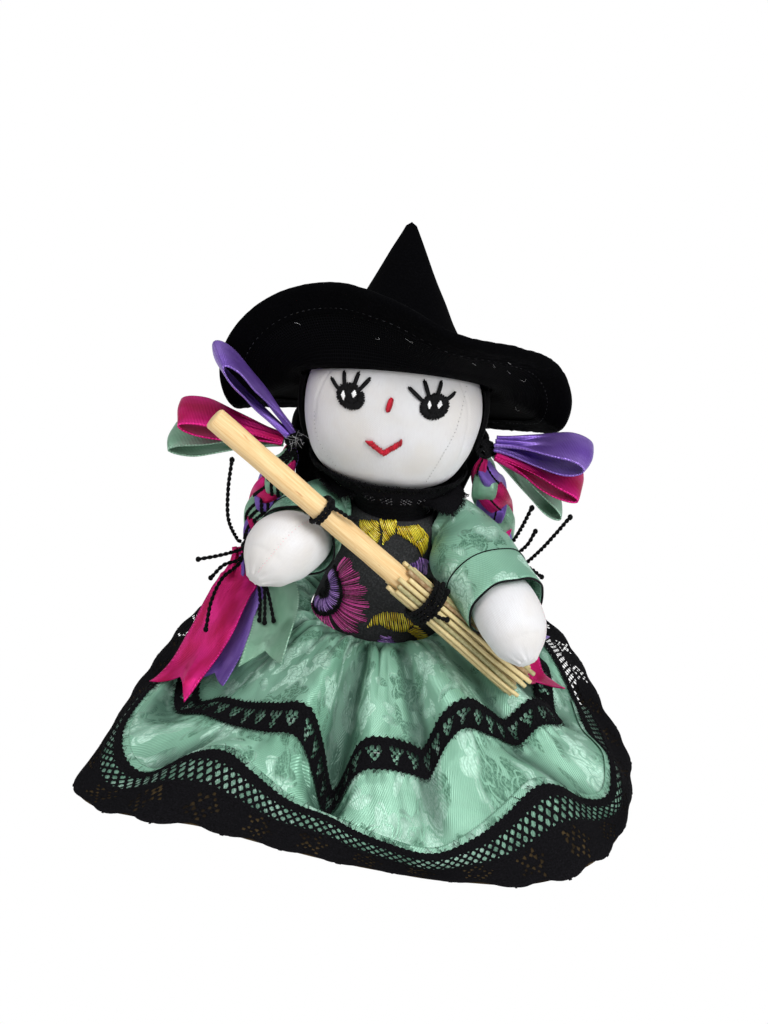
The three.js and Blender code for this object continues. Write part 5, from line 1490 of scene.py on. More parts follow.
# %% Bodice
BODICE_GROW, CHEST_R = GAP + FELT, 18
heights = np.linspace(WAIST_Z - 6, 90.5, 60)
bodice_faces = body_ring(heights, BODICE_GROW, 180), body_ring(heights[::4], GAP, 180)
finish_piece(shell("bodice_felt_shell", *bodice_faces, material=BODICE_FELT), "doll", "bodice_felt", "bodice")


def on_bodice(w, z):
    """w runs round the chest from the middle of the front: with p = w / 18, x = a sin p and
    y = middle - b cos p, where a and b are the body's half width and half depth at that height."""
    w, z = np.broadcast_arrays(np.asarray(w, float), np.asarray(z, float))
    a, b = np.moveaxis(through(BODY_ROWS, z) + BODICE_GROW, -1, 0)
    return np.stack([a * np.sin(w / CHEST_R), BODY_Y - b * np.cos(w / CHEST_R), z], axis=-1)


BODICE = (on_bodice, square_to(on_bodice))


def seen_from_front(outline):
    """An outline of (x, z) in the front view, with x turned into the way round the chest."""
    x, z = np.array(outline, float).T
    a = through(BODY_ROWS, z)[:, 0] + BODICE_GROW
    return np.stack([CHEST_R * np.arcsin(np.clip(x / a, -0.98, 0.98)), z], axis=1)


# %% Filling a petal and a ring with threads
def fill_petal(outline, slant_, gap=0.58, longest=7.0):
    """Threads side by side across an outline: in a frame turned by the slant, each column's thread runs
    from the outline's lowest crossing to its highest. Long columns are split into two threads."""
    c, s = math.cos(math.radians(slant_)), math.sin(math.radians(slant_))
    turn = np.array([[c, s], [-s, c]])
    p = outline @ turn.T
    q = np.roll(p, -1, 0)
    starts, ends = [], []
    for x in np.arange(p[:, 0].min() + gap / 2, p[:, 0].max(), gap):
        cross = (p[:, 0] - x) * (q[:, 0] - x) < 0
        if cross.sum() < 2:
            continue
        share = (x - p[cross, 0]) / (q[cross, 0] - p[cross, 0])
        y = p[cross, 1] + share * (q[cross, 1] - p[cross, 1])
        low, high = y.min() + rng.uniform(-0.3, 0.2), y.max() + rng.uniform(-0.2, 0.3)
        shift = rng.uniform(-0.14, 0.14, 2)
        if high - low > longest:
            middle = (low + high) / 2 + rng.uniform(-0.5, 0.5)
            starts += [(x, low), (x + shift[0], middle - 0.3)]
            ends += [(x + shift[1], middle + 0.3), (x, high)]
        elif high - low > 0.6:
            starts.append((x + shift[0], low))
            ends.append((x + shift[1], high))
    return np.array(starts) @ turn, np.array(ends) @ turn


def fan(middle, low, high, first, last, gap, waves, depth):
    """Threads like spokes between two radii; the outer end swells in waves for the petals' edges."""
    count = int(abs(last - first) * (low + high) / 2 / gap)
    t = np.linspace(first, last, count) + rng.uniform(-0.01, 0.01, count)
    swell = 1 - np.abs(np.sin(waves * np.pi * (t - first) / (last - first)))
    far = high - depth * swell + rng.uniform(-0.3, 0.3, count)
    near = low + rng.uniform(-0.25, 0.35, count)
    way = np.stack([np.cos(t), np.sin(t)], axis=1)
    return middle + way * near[:, None], middle + way * far[:, None]


# %% The flowers
FLOWER = vector(-22.5, 53.5)
PETALS = [  # the thread's colour, its slant in degrees, and the outline seen from the front
    ("yellow", 62, [(-11.1, 87.8), (-4.5, 89.8), (-2.9, 84.8), (-5.0, 77.9), (-7.8, 82.5), (-11.4, 86.1)]),
    ("yellow", 35, [(-4.1, 90.2), (2.0, 90.9), (2.0, 86.4), (-1.8, 81.5), (-2.6, 87.5)]),
    ("yellow", 30, [(2.3, 88.8), (9.7, 89.2), (14.0, 84.1), (14.4, 78.4), (13.0, 76.0), (10.4, 80.6)]
     + [(6.2, 84.2), (2.7, 86.4)]),
    ("purple", 10, [(4.1, 72.7), (6.8, 74.2), (10.4, 74.2), (12.3, 76.1), (15.1, 73.7), (15.6, 67.8)]
     + [(11.3, 71.0), (9.8, 69.0), (6.8, 68.8)]),
    ("magenta", 100, [(12.6, 66.2), (16.5, 65.5), (17.6, 59.9), (14.0, 61.2)]),
    ("yellow", 8, [(-3.3, 47.6), (-1.6, 52.6), (2.0, 54.9), (8.6, 54.6), (13.4, 49.6), (11.8, 46.7)]
     + [(8.9, 46.9), (4.4, 48.0), (1.2, 49.6)]),
    ("yellow", 60, [(12.0, 46.8), (14.5, 49.4), (20.0, 42.6), (20.6, 39.4), (16.1, 42.7)]),
    ("purple", 80, [(1.4, 41.4), (2.3, 45.4), (5.7, 45.2), (9.7, 40.0), (9.0, 38.8), (2.3, 38.8)]),
]
RINGS = [  # colour, inner and outer radius, first and last direction, gap, waves and their depth
    ("magenta", 10.6, 19.8, 1.25, -0.62, 0.62, 6, 2.2),
    ("magenta", 10.4, 18.6, -0.78, -1.9, 0.62, 4, 1.8),
    ("purple", 4.4, 9.3, 1.5, -1.75, 0.62, 9, 0.8),
]


def joined(parts):
    """Several pairs of starts and ends as one pair."""
    return [np.concatenate(part) for part in zip(*parts)]


threads_of = {"yellow": [], "magenta": [], "purple": []}
for name, slant_, outline in PETALS:
    threads_of[name].append(fill_petal(seen_from_front(outline), slant_))
for name, *numbers in RINGS:
    threads_of[name].append(fan(FLOWER, *numbers))
for name, material in (("yellow", YELLOW_THREAD), ("magenta", MAGENTA_THREAD), ("purple", PURPLE_THREAD)):
    stitches("flowers_" + name, joined(threads_of[name]), *BODICE, 0.47, 0.75, material, "bodice_felt")
dark = [fan(FLOWER, 0.3, 4.3, 1.6, -1.9, 0.5, 5, 0.3), fan(FLOWER, 9.2, 10.7, 1.5, -1.9, 0.5, 5, 0.2)]
stitches("flowers_black", joined(dark), *BODICE, 0.5, 0.42, BLACK_THREAD, "bodice_felt")

# %% [markdown]
# The collar is a high band of black lace that stands up to the chin. It uses the same lace helper, laid on
# ovals that widen upwards, with a close black lining at its lower and upper edge, through which no skin
# shows. The upper lining reaches up under the chin, where it is a dark sheet that stands for the shade on the
# neck.

# %% Collar
COLLAR_ROWS = [
    [92, -0.6, -3, 14, 12.8], [96, -1.2, -2.6, 16, 15],
    [100, -2.5, -1.8, 21, 17.6], [105.5, -4, -1.2, 27.4, 19.6],
]
COLLAR_TOP, COLLAR_DROP, COLLAR_WIDTH, COLLAR_LENGTH = 105.5, 13.5, 19.0, 128.0


def collar_rings(z, grow, t):
    """Ovals of the collar at heights z, with middle and half sizes read from the rows and grown."""
    z = np.asarray(z, float)
    x, y, a, b = np.moveaxis(through(COLLAR_ROWS, z), -1, 0)[..., None]
    return ovals(x, y, a + grow, b + grow, t, z[:, None])


def from_behind(u):
    """A length along the collar as a direction, which starts behind the neck."""
    return 2 * np.pi * u / COLLAR_LENGTH + np.pi / 2


def collar_place(u, v):
    """A band of rings: v runs down from the chin, and u round from the back."""
    return collar_rings(COLLAR_TOP - COLLAR_DROP * v / COLLAR_WIDTH, 0.45, from_behind(u))


def collar_mask(u, v):
    """Twenty windows in a row, each filled with a fine net, between two wavy edges."""
    off = np.abs(from_middle(u, COLLAR_LENGTH / 20))
    window = np.minimum(2.5 - 0.25 * np.abs(v - 7.4) - off, 2.3 - np.abs(v - 7.4))
    net = diamonds(u, v, 1.7, 1.8) - 0.56
    edge = np.minimum(v - 0.5 + 0.45 * wave(u, 1.9), COLLAR_WIDTH - 0.3 + 0.3 * wave(u, 2.3) - v)
    return np.minimum(np.maximum(-window, net), edge)


def collar_relief(u, v):
    """Five raised lines round the band, with a slight twist."""
    lines = sum(ridge(v, c, 0.5) for c in (1.4, 3.6, 11.2, 13.6, 16.4))
    return 0.35 * lines * (0.7 + 0.3 * wave(u, 1.3)) + 0.15 * wave(u + 2 * v, 1.9)


def looped(ring):
    """A ring's points with the first one again at the end."""
    return np.concatenate([ring, ring[:1]])


# The upper lining reaches up to 106.3 under the chin, as a dark sheet over the neck: painted shade.
for name, low, high in (("collar_lining_low", 88.6, 97.4), ("collar_lining_and_chin_shade", 101.4, 106.3)):
    band = [collar_rings(np.linspace(low, high, 14), grow, turns(160)) for grow in (0.12, -0.1)]
    finish_piece(shell(name, *band, material=LACE_THREAD), "doll", "lace")
low_ring = looped(body_ring([89.6, 89.9], 0.35, 160)[1])
cord = tubes("collar_low_cord", low_ring[None], 0.75, (0, 0, 1.0), 8, material=LACE_THREAD, tint=[0.5])
finish_piece(cord, "doll", "lace")
band = (collar_place, collar_mask, collar_relief, COLLAR_LENGTH, COLLAR_WIDTH, 0.36)
collar = lace("collar_crochet", *band, "lace_collar")

# %% [markdown]
# Cotton lace frays. Short curled hairs stand out of its edges and soften the line between black lace
# and green satin. Blender's hair could grow them, but it isn't part of a mesh, so they are tubes too.

# %% Loose thread ends along the lace
def fuzz_along(name, roots, outwards, upwards, longest, thick=0.075, lie=0.5):
    """Short curled hairs: each leaves its root along the cloth's edge direction and bends as it goes."""
    n = len(roots)
    u = np.linspace(0, 1, 5)[None, :, None]
    length = (0.35 + 0.65 * rng.random((n, 1, 1))) * longest
    side = unit(np.cross(outwards, upwards))
    swing = rng.uniform(-0.9, 0.9, (n, 1, 1))
    rise = lie * u * (1 - 0.6 * u) * rng.uniform(0.2, 1.2, (n, 1, 1)) + 0.03
    ways = outwards[:, None] * u + side[:, None] * swing * u**1.5 + upwards[:, None] * rise
    paths, tint = roots[:, None] + ways * length, rng.random(n)
    hair = tubes(name, paths, thick, upwards[:, None], sides=4, material=BLACK_THREAD, tint=tint)
    finish_piece(hair, "doll", "lace")


t = from_behind(rng.uniform(0, COLLAR_LENGTH, 1100))
roots = collar_rings([105.4], 0.5, t)[0]
roots[:, 2] = 105.0 + rng.uniform(-0.8, 0.6, t.size)
away = np.stack([np.cos(t), np.sin(t), 0 * t], axis=1)
fuzz_along("collar_fuzz", roots, unit(away * 0.3 + (0, 0, 1)), away, 2.5, thick=0.1)


def sheet_fuzz(name, share, lift, count, way, longest):
    """Hairs that stand out of a lace edge and lie over the satin beside it."""
    b = np.sort(rng.uniform(-180, 180, count))
    at = np.array([share])
    p, q = (sheet_lifted(b, at + step, lift)[0] for step in (0, 0.01 * way))
    fuzz_along(name, p, unit(q - p), sheet_square(b, at)[0], longest, lie=0.25)


sheet_fuzz("hem_lace_fuzz", 0.773, LAID + 0.6, 420, -1, 2.6)
sheet_fuzz("mid_lace_fuzz_low", 0.508, LAID + 0.4, 520, 1, 1.3)
sheet_fuzz("mid_lace_fuzz_high", 0.403, LAID + 0.6, 260, -1, 1.0)

# %% [markdown]
# Arms, legs and sleeves are tubes along short rows of middle points and radii. A skin modifier could
# do it, but it gives no say over where a cuff ends. The sleeves and the broom ride with the arms. Each
# sleeve is an outer and an inner face, drawn in at the shoulder, with soft creases.

# %% Tubes with changing sections
def along_rows(rows, count, sides, first_side, start_way, grow=0.0):
    """Rings square to a smooth path through rows of x, y, z and two half sizes. At the start the ring
    stands square to a given direction, which gives way to the path over the first fifth."""
    rows, first_side, start_way = (np.asarray(x, float) for x in (rows, first_side, start_way))
    shares_ = np.linspace(0, 1, count)

    def read(share):
        """The rows read smoothly at a share of the way."""
        return hermite(np.arange(len(rows)), rows, share * (len(rows) - 1))

    at = read(shares_)
    way = unit(read(np.minimum(shares_ + 0.01, 1))[:, :3] - read(np.maximum(shares_ - 0.01, 0))[:, :3])
    k = smoothstep(shares_, 0, 0.22)[:, None]
    way = unit(start_way * (1 - k) + way * k)
    side = unit(first_side - way * (way @ first_side)[:, None])
    t = turns(sides)
    wide = side[:, None] * ((at[:, 3] + grow)[:, None] * np.cos(t))[..., None]
    high = np.cross(way, side)[:, None] * ((at[:, 4] + grow)[:, None] * np.sin(t))[..., None]
    return at[:, None, :3] + wide + high, way


ARM_ROOT = (19.1, -1, 85)
ARMS = {  # which way is out, rows of x, y, z and radius for the arm, the middle and radius of the cuff
    "right": (
        -1,
        [[25, -4.5, 85, 8.5], [28, -14, 84, 9.5], [31, -25, 83, 11.5]]
        + [[36.5, -37, 85, 12.6], [40.5, -45, 82.5, 9.5], [43.5, -50, 79.8, 3.2]],
        [32, -27, 83.2, 14.6],
    ),
    "left": (
        1,
        [[25, -4.5, 83.5, 8.5], [31.5, -14.5, 79.5, 9.5], [39, -27.6, 75.6, 11]]
        + [[45.8, -42.6, 73.3, 11.8], [50, -50.6, 68.7, 9.3], [53, -55.6, 65.4, 3.2]],
        [44.4, -36.4, 74.4, 14.4],
    ),
}


# %% An arm with the stitched seam of its hand
def sew_arm(side_name, body, way_x, rows_, seam_turn):
    """The arm's tube, puckered at the hand, with a ridge where it is sewn and two dotted seams."""
    arm_rows = [[way_x * ARM_ROOT[0], *ARM_ROOT[1:], 7.5, 7.5]]
    arm_rows += [[way_x * x, y, z, r, r] for x, y, z, r in rows_]
    points, _ = along_rows(arm_rows, 120, 96, (0, 0, 1), (way_x, 0, 0))
    t, s = turns(96)[None, :], np.linspace(0, 1, 120)[:, None]
    middle = points.mean(1, keepdims=True)
    pucker = smoothstep(s, 0.86, 1) * (0.25 * np.sin(9 * t) + 0.12 * np.sin(17 * t + 1))
    sewn = 0.25 * np.exp(-(((t - seam_turn) / 0.05) ** 2))
    points = points + unit(points - middle) * (pucker - sewn - 0.15 + 0.22 * bumps(points, 6))[..., None]
    arm = padded(side_name + "_arm_muslin", points, body, side_name + "_arm")
    column = int(round(seam_turn / (2 * np.pi) * 96)) % 96
    line = points[62:116, column]
    ups = unit(line - middle[62:116, 0])
    seam_dots(side_name + "_hand_seam", line[::2], ups[::2], 0.3, 0.3, PINK_THREAD, body)
    shifted = line + np.cross(unit(np.gradient(line, axis=0)), ups) * 0.7
    seam_dots(side_name + "_hand_seam_beside", shifted[1::4], ups[1::4], 0.22, 0.26, GREY_THREAD, body)
    return arm


# %% A sleeve with its cuff
CUFF_LINES = ((72, 0.24, "cuff_stitch", 0.12, 0), (83, 0.42, "cuff_edge", -0.35, 0.2))


def sew_sleeve(side_name, body, way_x, rows_, cuff):
    """Two faces along the sleeve's rows. Creases are waves round the arm that die off along it; the
    left sleeve is fuller on the side of the bodice; the cuff's edge hangs a little unevenly."""
    sleeve_rows = [
        [way_x * 17.9, *ARM_ROOT[1:], 8.3, 8.3],
        [way_x * ARM_ROOT[0], *ARM_ROOT[1:], 10.6, 10.6],
        [way_x * rows_[0][0], *rows_[0][1:3], 11.6, 11.6],
        [way_x * (rows_[1][0] + 0.9), *rows_[1][1:3], 14.2, 14.2],
        [way_x * cuff[0], *cuff[1:], cuff[3]],
    ]
    outer, ways = along_rows(sleeve_rows, 84, 144, (0, 0, 1), (way_x, 0, 0))
    inner, _ = along_rows(sleeve_rows, 84, 144, (0, 0, 1), (way_x, 0, 0), -0.7)
    t, s = turns(144)[None, :], np.linspace(0, 1, 84)[:, None]
    middle = outer.mean(1, keepdims=True)
    creases = 0.55 * np.sin(5 * t + 6 * s + way_x) * np.exp(-(((s - 0.18) / 0.22) ** 2))
    creases = creases + 0.3 * np.sin(11 * t - 4 * s) * np.exp(-((s / 0.16) ** 2))
    creases = creases + 0.3 * bumps(outer, 6, way_x)
    hem_step = 0.22 * (smoothstep(s, 0.86, 0.875) - 0.5)
    off = (np.minimum(creases, 0.3) - 0.2) * (1 - smoothstep(s, 0.9, 1)) + hem_step
    if side_name == "left":
        facing = np.clip(unit(outer - middle) @ unit(vector(-1.0, -0.15, 0.15)), 0, 1)
        off = off + 4.6 * facing**1.5 * np.exp(-(((s - 0.74) / 0.2) ** 2))
    pressed = off - np.maximum(off, 0) * (side_name == "right") - 0.05
    slack = smoothstep(s, 0.8, 1) * (0.6 * np.sin(3 * t + 1 + way_x) + 0.3 * np.sin(7 * t + way_x))
    slack = ways[:, None] * slack[..., None]
    outer = outer + unit(outer - middle) * off[..., None] + slack
    inner = inner + unit(inner - middle) * pressed[..., None] + slack
    sleeve = shell(side_name + "_sleeve_satin", outer, inner, material=BROCADE)
    finish_piece(sleeve, body, "mint_satin", side_name + "_sleeve")
    for row, thick, label, out, beyond in CUFF_LINES:
        ring = looped(outer[row] + unit(outer[row] - middle[row]) * out) + ways[row] * beyond
        ups = unit(ring - middle[row])[None]
        line = tubes(f"{side_name}_{label}", ring[None], thick, ups, material=BLACK_THREAD, tint=[0.5])
        finish_piece(line, body, "mint_satin")


for side_name, (way_x, rows_, cuff) in ARMS.items():
    body = "right_arm_and_broom" if side_name == "right" else "left_arm"
    seam_turn = (-0.14 if side_name == "right" else -0.3) * np.pi % (2 * np.pi)
    arm = sew_arm(side_name, body, way_x, rows_, seam_turn)
    sew_sleeve(side_name, body, way_x, rows_, cuff)

# %% [markdown]
# From the collar a frill of lace falls over each shoulder and rests on the sleeve. It could be let fall
# in a simulation. Here its edge is given and every point is then raised on to the sleeve below it.

# %% The lace that falls from the collar over each shoulder
def sleeve_top(x, y, way_x, rows_, cuff):
    """The height of the sleeve over a place: the highest of the balls that its rows sweep."""
    keys = [(way_x * ARM_ROOT[0], *ARM_ROOT[1:], 11.5), (way_x * rows_[0][0], *rows_[0][1:3], 12.1)]
    keys += [(way_x * (rows_[1][0] + 0.9), *rows_[1][1:3], 14.2), (way_x * cuff[0], *cuff[1:])]
    found = np.full(x.shape, -1e3)
    for bx, by, bz, br in hermite(np.arange(4), np.array(keys), np.linspace(0, 3, 60)):
        room = (br + 0.75) ** 2 - (x - bx) ** 2 - (y - by) ** 2
        found = np.maximum(found, np.where(room > 0, bz + np.sqrt(np.maximum(room, 0)), -1e3))
    return found


FRILL_EDGE = [
    [-66, 9.5, -16.6, 94], [-50, 18.2, -16.4, 93], [-30, 26, -14.6, 90.5],
    [-8, 30, -7, 93], [14, 30.5, 2, 93], [40, 26, 11, 90],
]
FRILL_HEIGHT, FRILL_TURN = 100.0, (-58, 34)
for side_name, (way_x, rows_, cuff) in ARMS.items():
    degrees = np.linspace(*FRILL_TURN, 190)
    t, v = np.radians(degrees), np.linspace(0, 1, 34)[:, None, None]
    x, y, a, b = through(COLLAR_ROWS, [FRILL_HEIGHT])[0]
    top = ovals(x, y, way_x * (a + 0.9), b + 0.9, t, FRILL_HEIGHT)
    open_ = (smoothstep(degrees, -58, -36) * (1 - smoothstep(degrees, 16, 34)))[:, None]
    fall = through(FRILL_EDGE, degrees) * (way_x, 1, 1) - top
    fall = fall * (0.14 + (0.36 if side_name == "left" else 0.5) * open_)
    outer = top + fall * v + np.array([0, 0, 1.0]) * 1.6 * np.sin(np.pi * v) * open_
    frill = v[..., 0] * open_[:, 0] * (0.3 * np.sin(19 * t) + 0.2 * np.sin(31 * t + 1))
    outer = outer + unit(fall * (1, 1, 0)) * frill[..., None]
    rest = sleeve_top(outer[..., 0], outer[..., 1], way_x, rows_, cuff) + 0.8 + 0.5 * np.abs(frill)
    outer[..., 2] = np.maximum(outer[..., 2], rest)
    square = unit(np.cross(np.gradient(outer, axis=1), np.gradient(outer, axis=0)))
    square = np.where(square[..., 2:] < 0, -square, square)
    knots = (0.3 + 0.16 * bumps(outer, 0.7) + 0.16 * rng.standard_normal(outer.shape[:2]))[..., None]
    faces = outer + square * knots, outer - square * 0.15
    frill = strip(side_name + "_shoulder_frill", *faces, 0.0, LACE_THREAD)
    finish_piece(frill, "doll", "lace")
    at = rng.integers(0, 190, 260)
    edge_way = unit(outer[-1] - outer[-4])[at]
    fuzz_along(side_name + "_frill_fuzz", outer[-1, at], edge_way, square[-1, at], 1.7, lie=0.3)
    width, area = longest_row(outer) * MM, 1.35 * cloth_area(outer, False) * MM * MM
    flat = (width, max(0.0102, 1.05 * area / width))
    print(frill.name, "cut", [round(x * 1000) for x in flat], "mm")

# %% [markdown]
# The legs lie under the skirt and are not seen at rest. They are drawn all the same, as simple padded
# tubes, because each turns at the front of the seat and shows when the doll is posed.

# %% Legs
LEG_REACH, LEG_R, LEG_SPLAY = 58, 8.6, math.radians(41)
LEG_ROWS = [  # share of the reach, height, half width and half depth
    (0, 7.5, LEG_R, LEG_R * 0.72),
    (0.22, LEG_R + 1.2, LEG_R + 0.6, LEG_R + 0.4),
    (0.5, LEG_R + 0.8, LEG_R, LEG_R),
    (0.76, LEG_R - 0.2, LEG_R - 1, LEG_R - 1),
    (0.93, LEG_R - 1.4, LEG_R - 2.6, LEG_R - 2.8),
    (1, LEG_R - 2, 1.6, 1.6),
]
a, b = through(BODY_ROWS, [5.0])[0]
front = BODY_Y - b * math.sqrt(1 - ((12.5 - 8) / a) ** 2) - GAP
for side_name, way_x in (("right", -1), ("left", 1)):
    leg_rows = [[way_x * 12.5, front, 5, 8, 1.2]]
    for share, *sizes in LEG_ROWS:
        d = LEG_REACH * share
        out = way_x * (14 + d * math.sin(LEG_SPLAY))
        leg_rows.append([out, front - 5 - d * math.cos(LEG_SPLAY), *sizes])
    points, _ = along_rows(leg_rows, 90, 64, (1, 0, 0), (0, -1, 0))
    outward = unit(points - points.mean(1, keepdims=True))
    points = points + outward * (0.2 * bumps(points, 6) - 0.22)[..., None]
    padded(side_name + "_leg_muslin", points, side_name + "_leg", side_name + "_leg")

# %% [markdown]
# The hair is black yarn laid over the back of the head, from the parting and from under the hat to the
# knot at each temple. Particle hair would be too fine: this hair is yarn, each strand two millimetres
# thick, so every strand is a tube over the scalp, above a thin cap that closes the gaps between them.

# %% Hair
KNOTS, KNOT_R = {"right": vector(-38.5, -5, 112), "left": vector(29.5, -5, 118.5)}, 3.8


def hat_plane(x, y, below):
    """The height of the hat's tilted seam plane above (x, y), less a margin."""
    off = (x - HAT_RING[0]) * HAT_UP[0] + (y - HAT_RING[1]) * HAT_UP[1]
    return HAT_RING[2] - (off + below) / HAT_UP[2]


def scalp(t, z, grow):
    """The head's surface at a direction t and a height z, kept below the hat."""
    for _ in range(3):
        a, b = head_half(z, grow)
        x = a * powered(np.cos(t), 2 / SQUARE) + HEAD_MIDDLE[0]
        y = b * powered(np.sin(t), 2 / SQUARE) + HEAD_MIDDLE[1]
        z = np.minimum(z, hat_plane(x, y, 1.4))
    return np.stack([x, y, z], axis=-1)


CAP_LOW, UNDER_HAT = 108, 150.0
t = np.radians(np.linspace(-1, 181, 120))
v = np.linspace(0, 1, 26)[:, None]
cap_z = CAP_LOW + (scalp(t, np.full(120, UNDER_HAT), GAP + 0.9)[:, 2] - CAP_LOW) * v
cap_faces = [scalp(t + 0 * v, cap_z, GAP + grow) for grow in (0.8, 0.2)]
finish_piece(strip("hair_cap", *cap_faces, 0.0, BLACK_YARN), "doll", "yarn", "hair")
strands = []
u = np.linspace(0, 1, 30)
for side_name, t_end, way_round in (("right", math.radians(176), 1), ("left", math.radians(4), -1)):
    starts = [(90, 108.6 + 1.9 * k) for k in range(8)]
    starts += [(90 + way_round * s, UNDER_HAT) for s in np.linspace(2, 84, 32)]
    for k, (t0, z0) in enumerate(starts):
        t0 = math.radians(t0)
        z0 = min(z0, scalp(np.array([t0]), np.array([UNDER_HAT]), GAP + 1.1)[0, 2])
        z1 = KNOTS[side_name][2] + 5.5 * (k / len(starts) - 0.45) + rng.uniform(-0.5, 0.5)
        t_ = t0 + (t_end - t0) * u + 0.01 * np.sin(9 * u + k)
        z_ = z0 + (z1 - z0) * u**1.7 + 0.25 * np.sin(7 * u + 2 * k) * np.sin(np.pi * u)
        strands.append(scalp(t_, z_, GAP + 1.05 + 0.25 * (k % 2)))
strands = np.array(strands)
ups = unit(strands - (HEAD_MIDDLE + (0, 0, 122)))
finish_piece(tubes("hair_strands", strands, 1.0, ups, sides=8, material=BLACK_YARN), "doll", "yarn")

# %% [markdown]
# Behind the neck the yarn hangs loose, strand beside strand, with ragged ends. As single tubes it would
# be heavy, and only the outer face shows, so it is one strip with a rounded ridge for each lock.

# %% Loose hair behind the neck
NAPE = [
    [70, -7, 3.5, 29, 15.5], [79, -7, 3, 30.5, 15.5], [84, -7, 3, 31.5, 16],
    [92, -6.5, 2.5, 33, 17.5], [100, -6, 2, 35, 19.5], [108, -5.5, 2, 37, 21.5],
    [115, -4.5, 2.5, 37.5, 22.5], [121, -5, 2.5, 33.5, 22], [125, -5, 2.5, 31.5, 21.5],
]
NAPE_COLUMNS, LOCKS = 391, 50
LOCK_WIDE = 7.8  # columns from one lock to the next
t = np.radians(np.linspace(20, 160, NAPE_COLUMNS))
v = np.linspace(0, 1, 44)[:, None]
lock = np.clip((np.arange(NAPE_COLUMNS) - 0.01) // LOCK_WIDE, 0, LOCKS - 1).astype(int)
low_z = 71 + rng.uniform(0, 3.5, LOCKS)[lock] + 3.0 * (1 - np.sin(t)) ** 2
high_z = np.minimum(124.5, hat_plane(-5 + 33 * np.cos(t), 2.5 + 22 * np.sin(t), 2.2))
z = high_z + (low_z - high_z) * v
x, y, a, b = np.moveaxis(through(NAPE, z), -1, 0)
round_lock = 0.75 * np.sqrt(np.abs(np.sin(np.pi * np.arange(NAPE_COLUMNS) / LOCK_WIDE)))
out = round_lock + 0.35 * rng.random(LOCKS)[lock] + 0.3 * np.sin(9 * v + lock)
sway = t + 0.03 * np.sin(5 * v + 0.7 * lock) * v
nape_faces = [ovals(x, y, a + grow, b + grow, sway, z) for grow in (out, -0.9)]
finish_piece(strip("nape_hair", *nape_faces, 0.0, BLACK_YARN), "doll", "yarn")

# %% [markdown]
# Yarn wound to a ball makes the knot at each temple, the tie of each braid and the tip of each yarn
# end. A ball with a picture of yarn would do from afar. Here one yarn really is wound up.

# %% Wound knots
def wound_ball(name, middle, radius, thickness, rounds, seed, body, node=(), squash=(1, 1, 1)):
    """One yarn round a ball: a circle whose axis slowly turns, so that each round crosses the last."""
    s = np.linspace(0, 2 * np.pi * rounds, int(rounds * 22))
    p = np.stack([np.cos(s), np.sin(s), 0.12 * np.sin(2.3 * s + seed)], axis=1)
    a, b = 0.37 * s + seed, 0.23 * s + 2 * seed
    y, z = p[:, 1] * np.cos(a) - p[:, 2] * np.sin(a), p[:, 1] * np.sin(a) + p[:, 2] * np.cos(a)
    x, z = p[:, 0] * np.cos(b) + z * np.sin(b), -p[:, 0] * np.sin(b) + z * np.cos(b)
    wound = unit(np.stack([x, y, z], axis=1)) * (radius - thickness / 2) * np.asarray(squash)
    path, ups = middle + wound, unit(wound)
    strands_ = twisted(path, ups, thickness * 0.22, 3.4)
    ball = tubes(name, strands_, thickness * 0.29, ups, material=BLACK_YARN)
    return finish_piece(ball, body, "yarn", *node)


for side_name, knot in KNOTS.items():
    node = [side_name + "_bow_knot"]
    wound_ball(node[0] + "_yarn", knot, KNOT_R - 0.1, 1.7, 9, 1.0 + len(side_name), "doll", node)

# %% [markdown]
# A bow loop is a ribbon whose middle line runs out to a tip and back. It could be a curve with a flat
# bevel, but a real loop is gathered where the knot holds it and opens towards its tip, and that needs a
# width and folds that change along the way. The same helper makes the tails.

# %% A ribbon with gathers
RIBBON_WIDTH, COLUMNS = 16, np.linspace(-1, 1, 25)


def evenly(values, count):
    """Stations of several quantities spaced evenly along the first, which is a path."""
    along = steps_of(values[0])
    at = np.linspace(0, along[-1], count)
    return along[-1], [read_evenly(v, along, at) for v in values]


def seat_on_ball(middle, radius, direction, section_at):
    """Moves out along a direction until the ribbon's first section clears the ball by the gap."""
    way = unit(direction)
    out = radius + 1
    for _ in range(12):
        least = np.linalg.norm(section_at(middle + way * out) - middle, axis=-1).min()
        out += radius + GAP - least
    return middle + way * out


def flat_section(middle, wide, normal, width):
    """Six points of a ribbon's section: both edges and the middle, on both faces."""
    places = [(a, b) for a in (-1, 0, 1) for b in (-1, 1)]
    return np.array([middle + wide * (a * width / 2) + normal * (b * RIBBON / 2) for a, b in places])


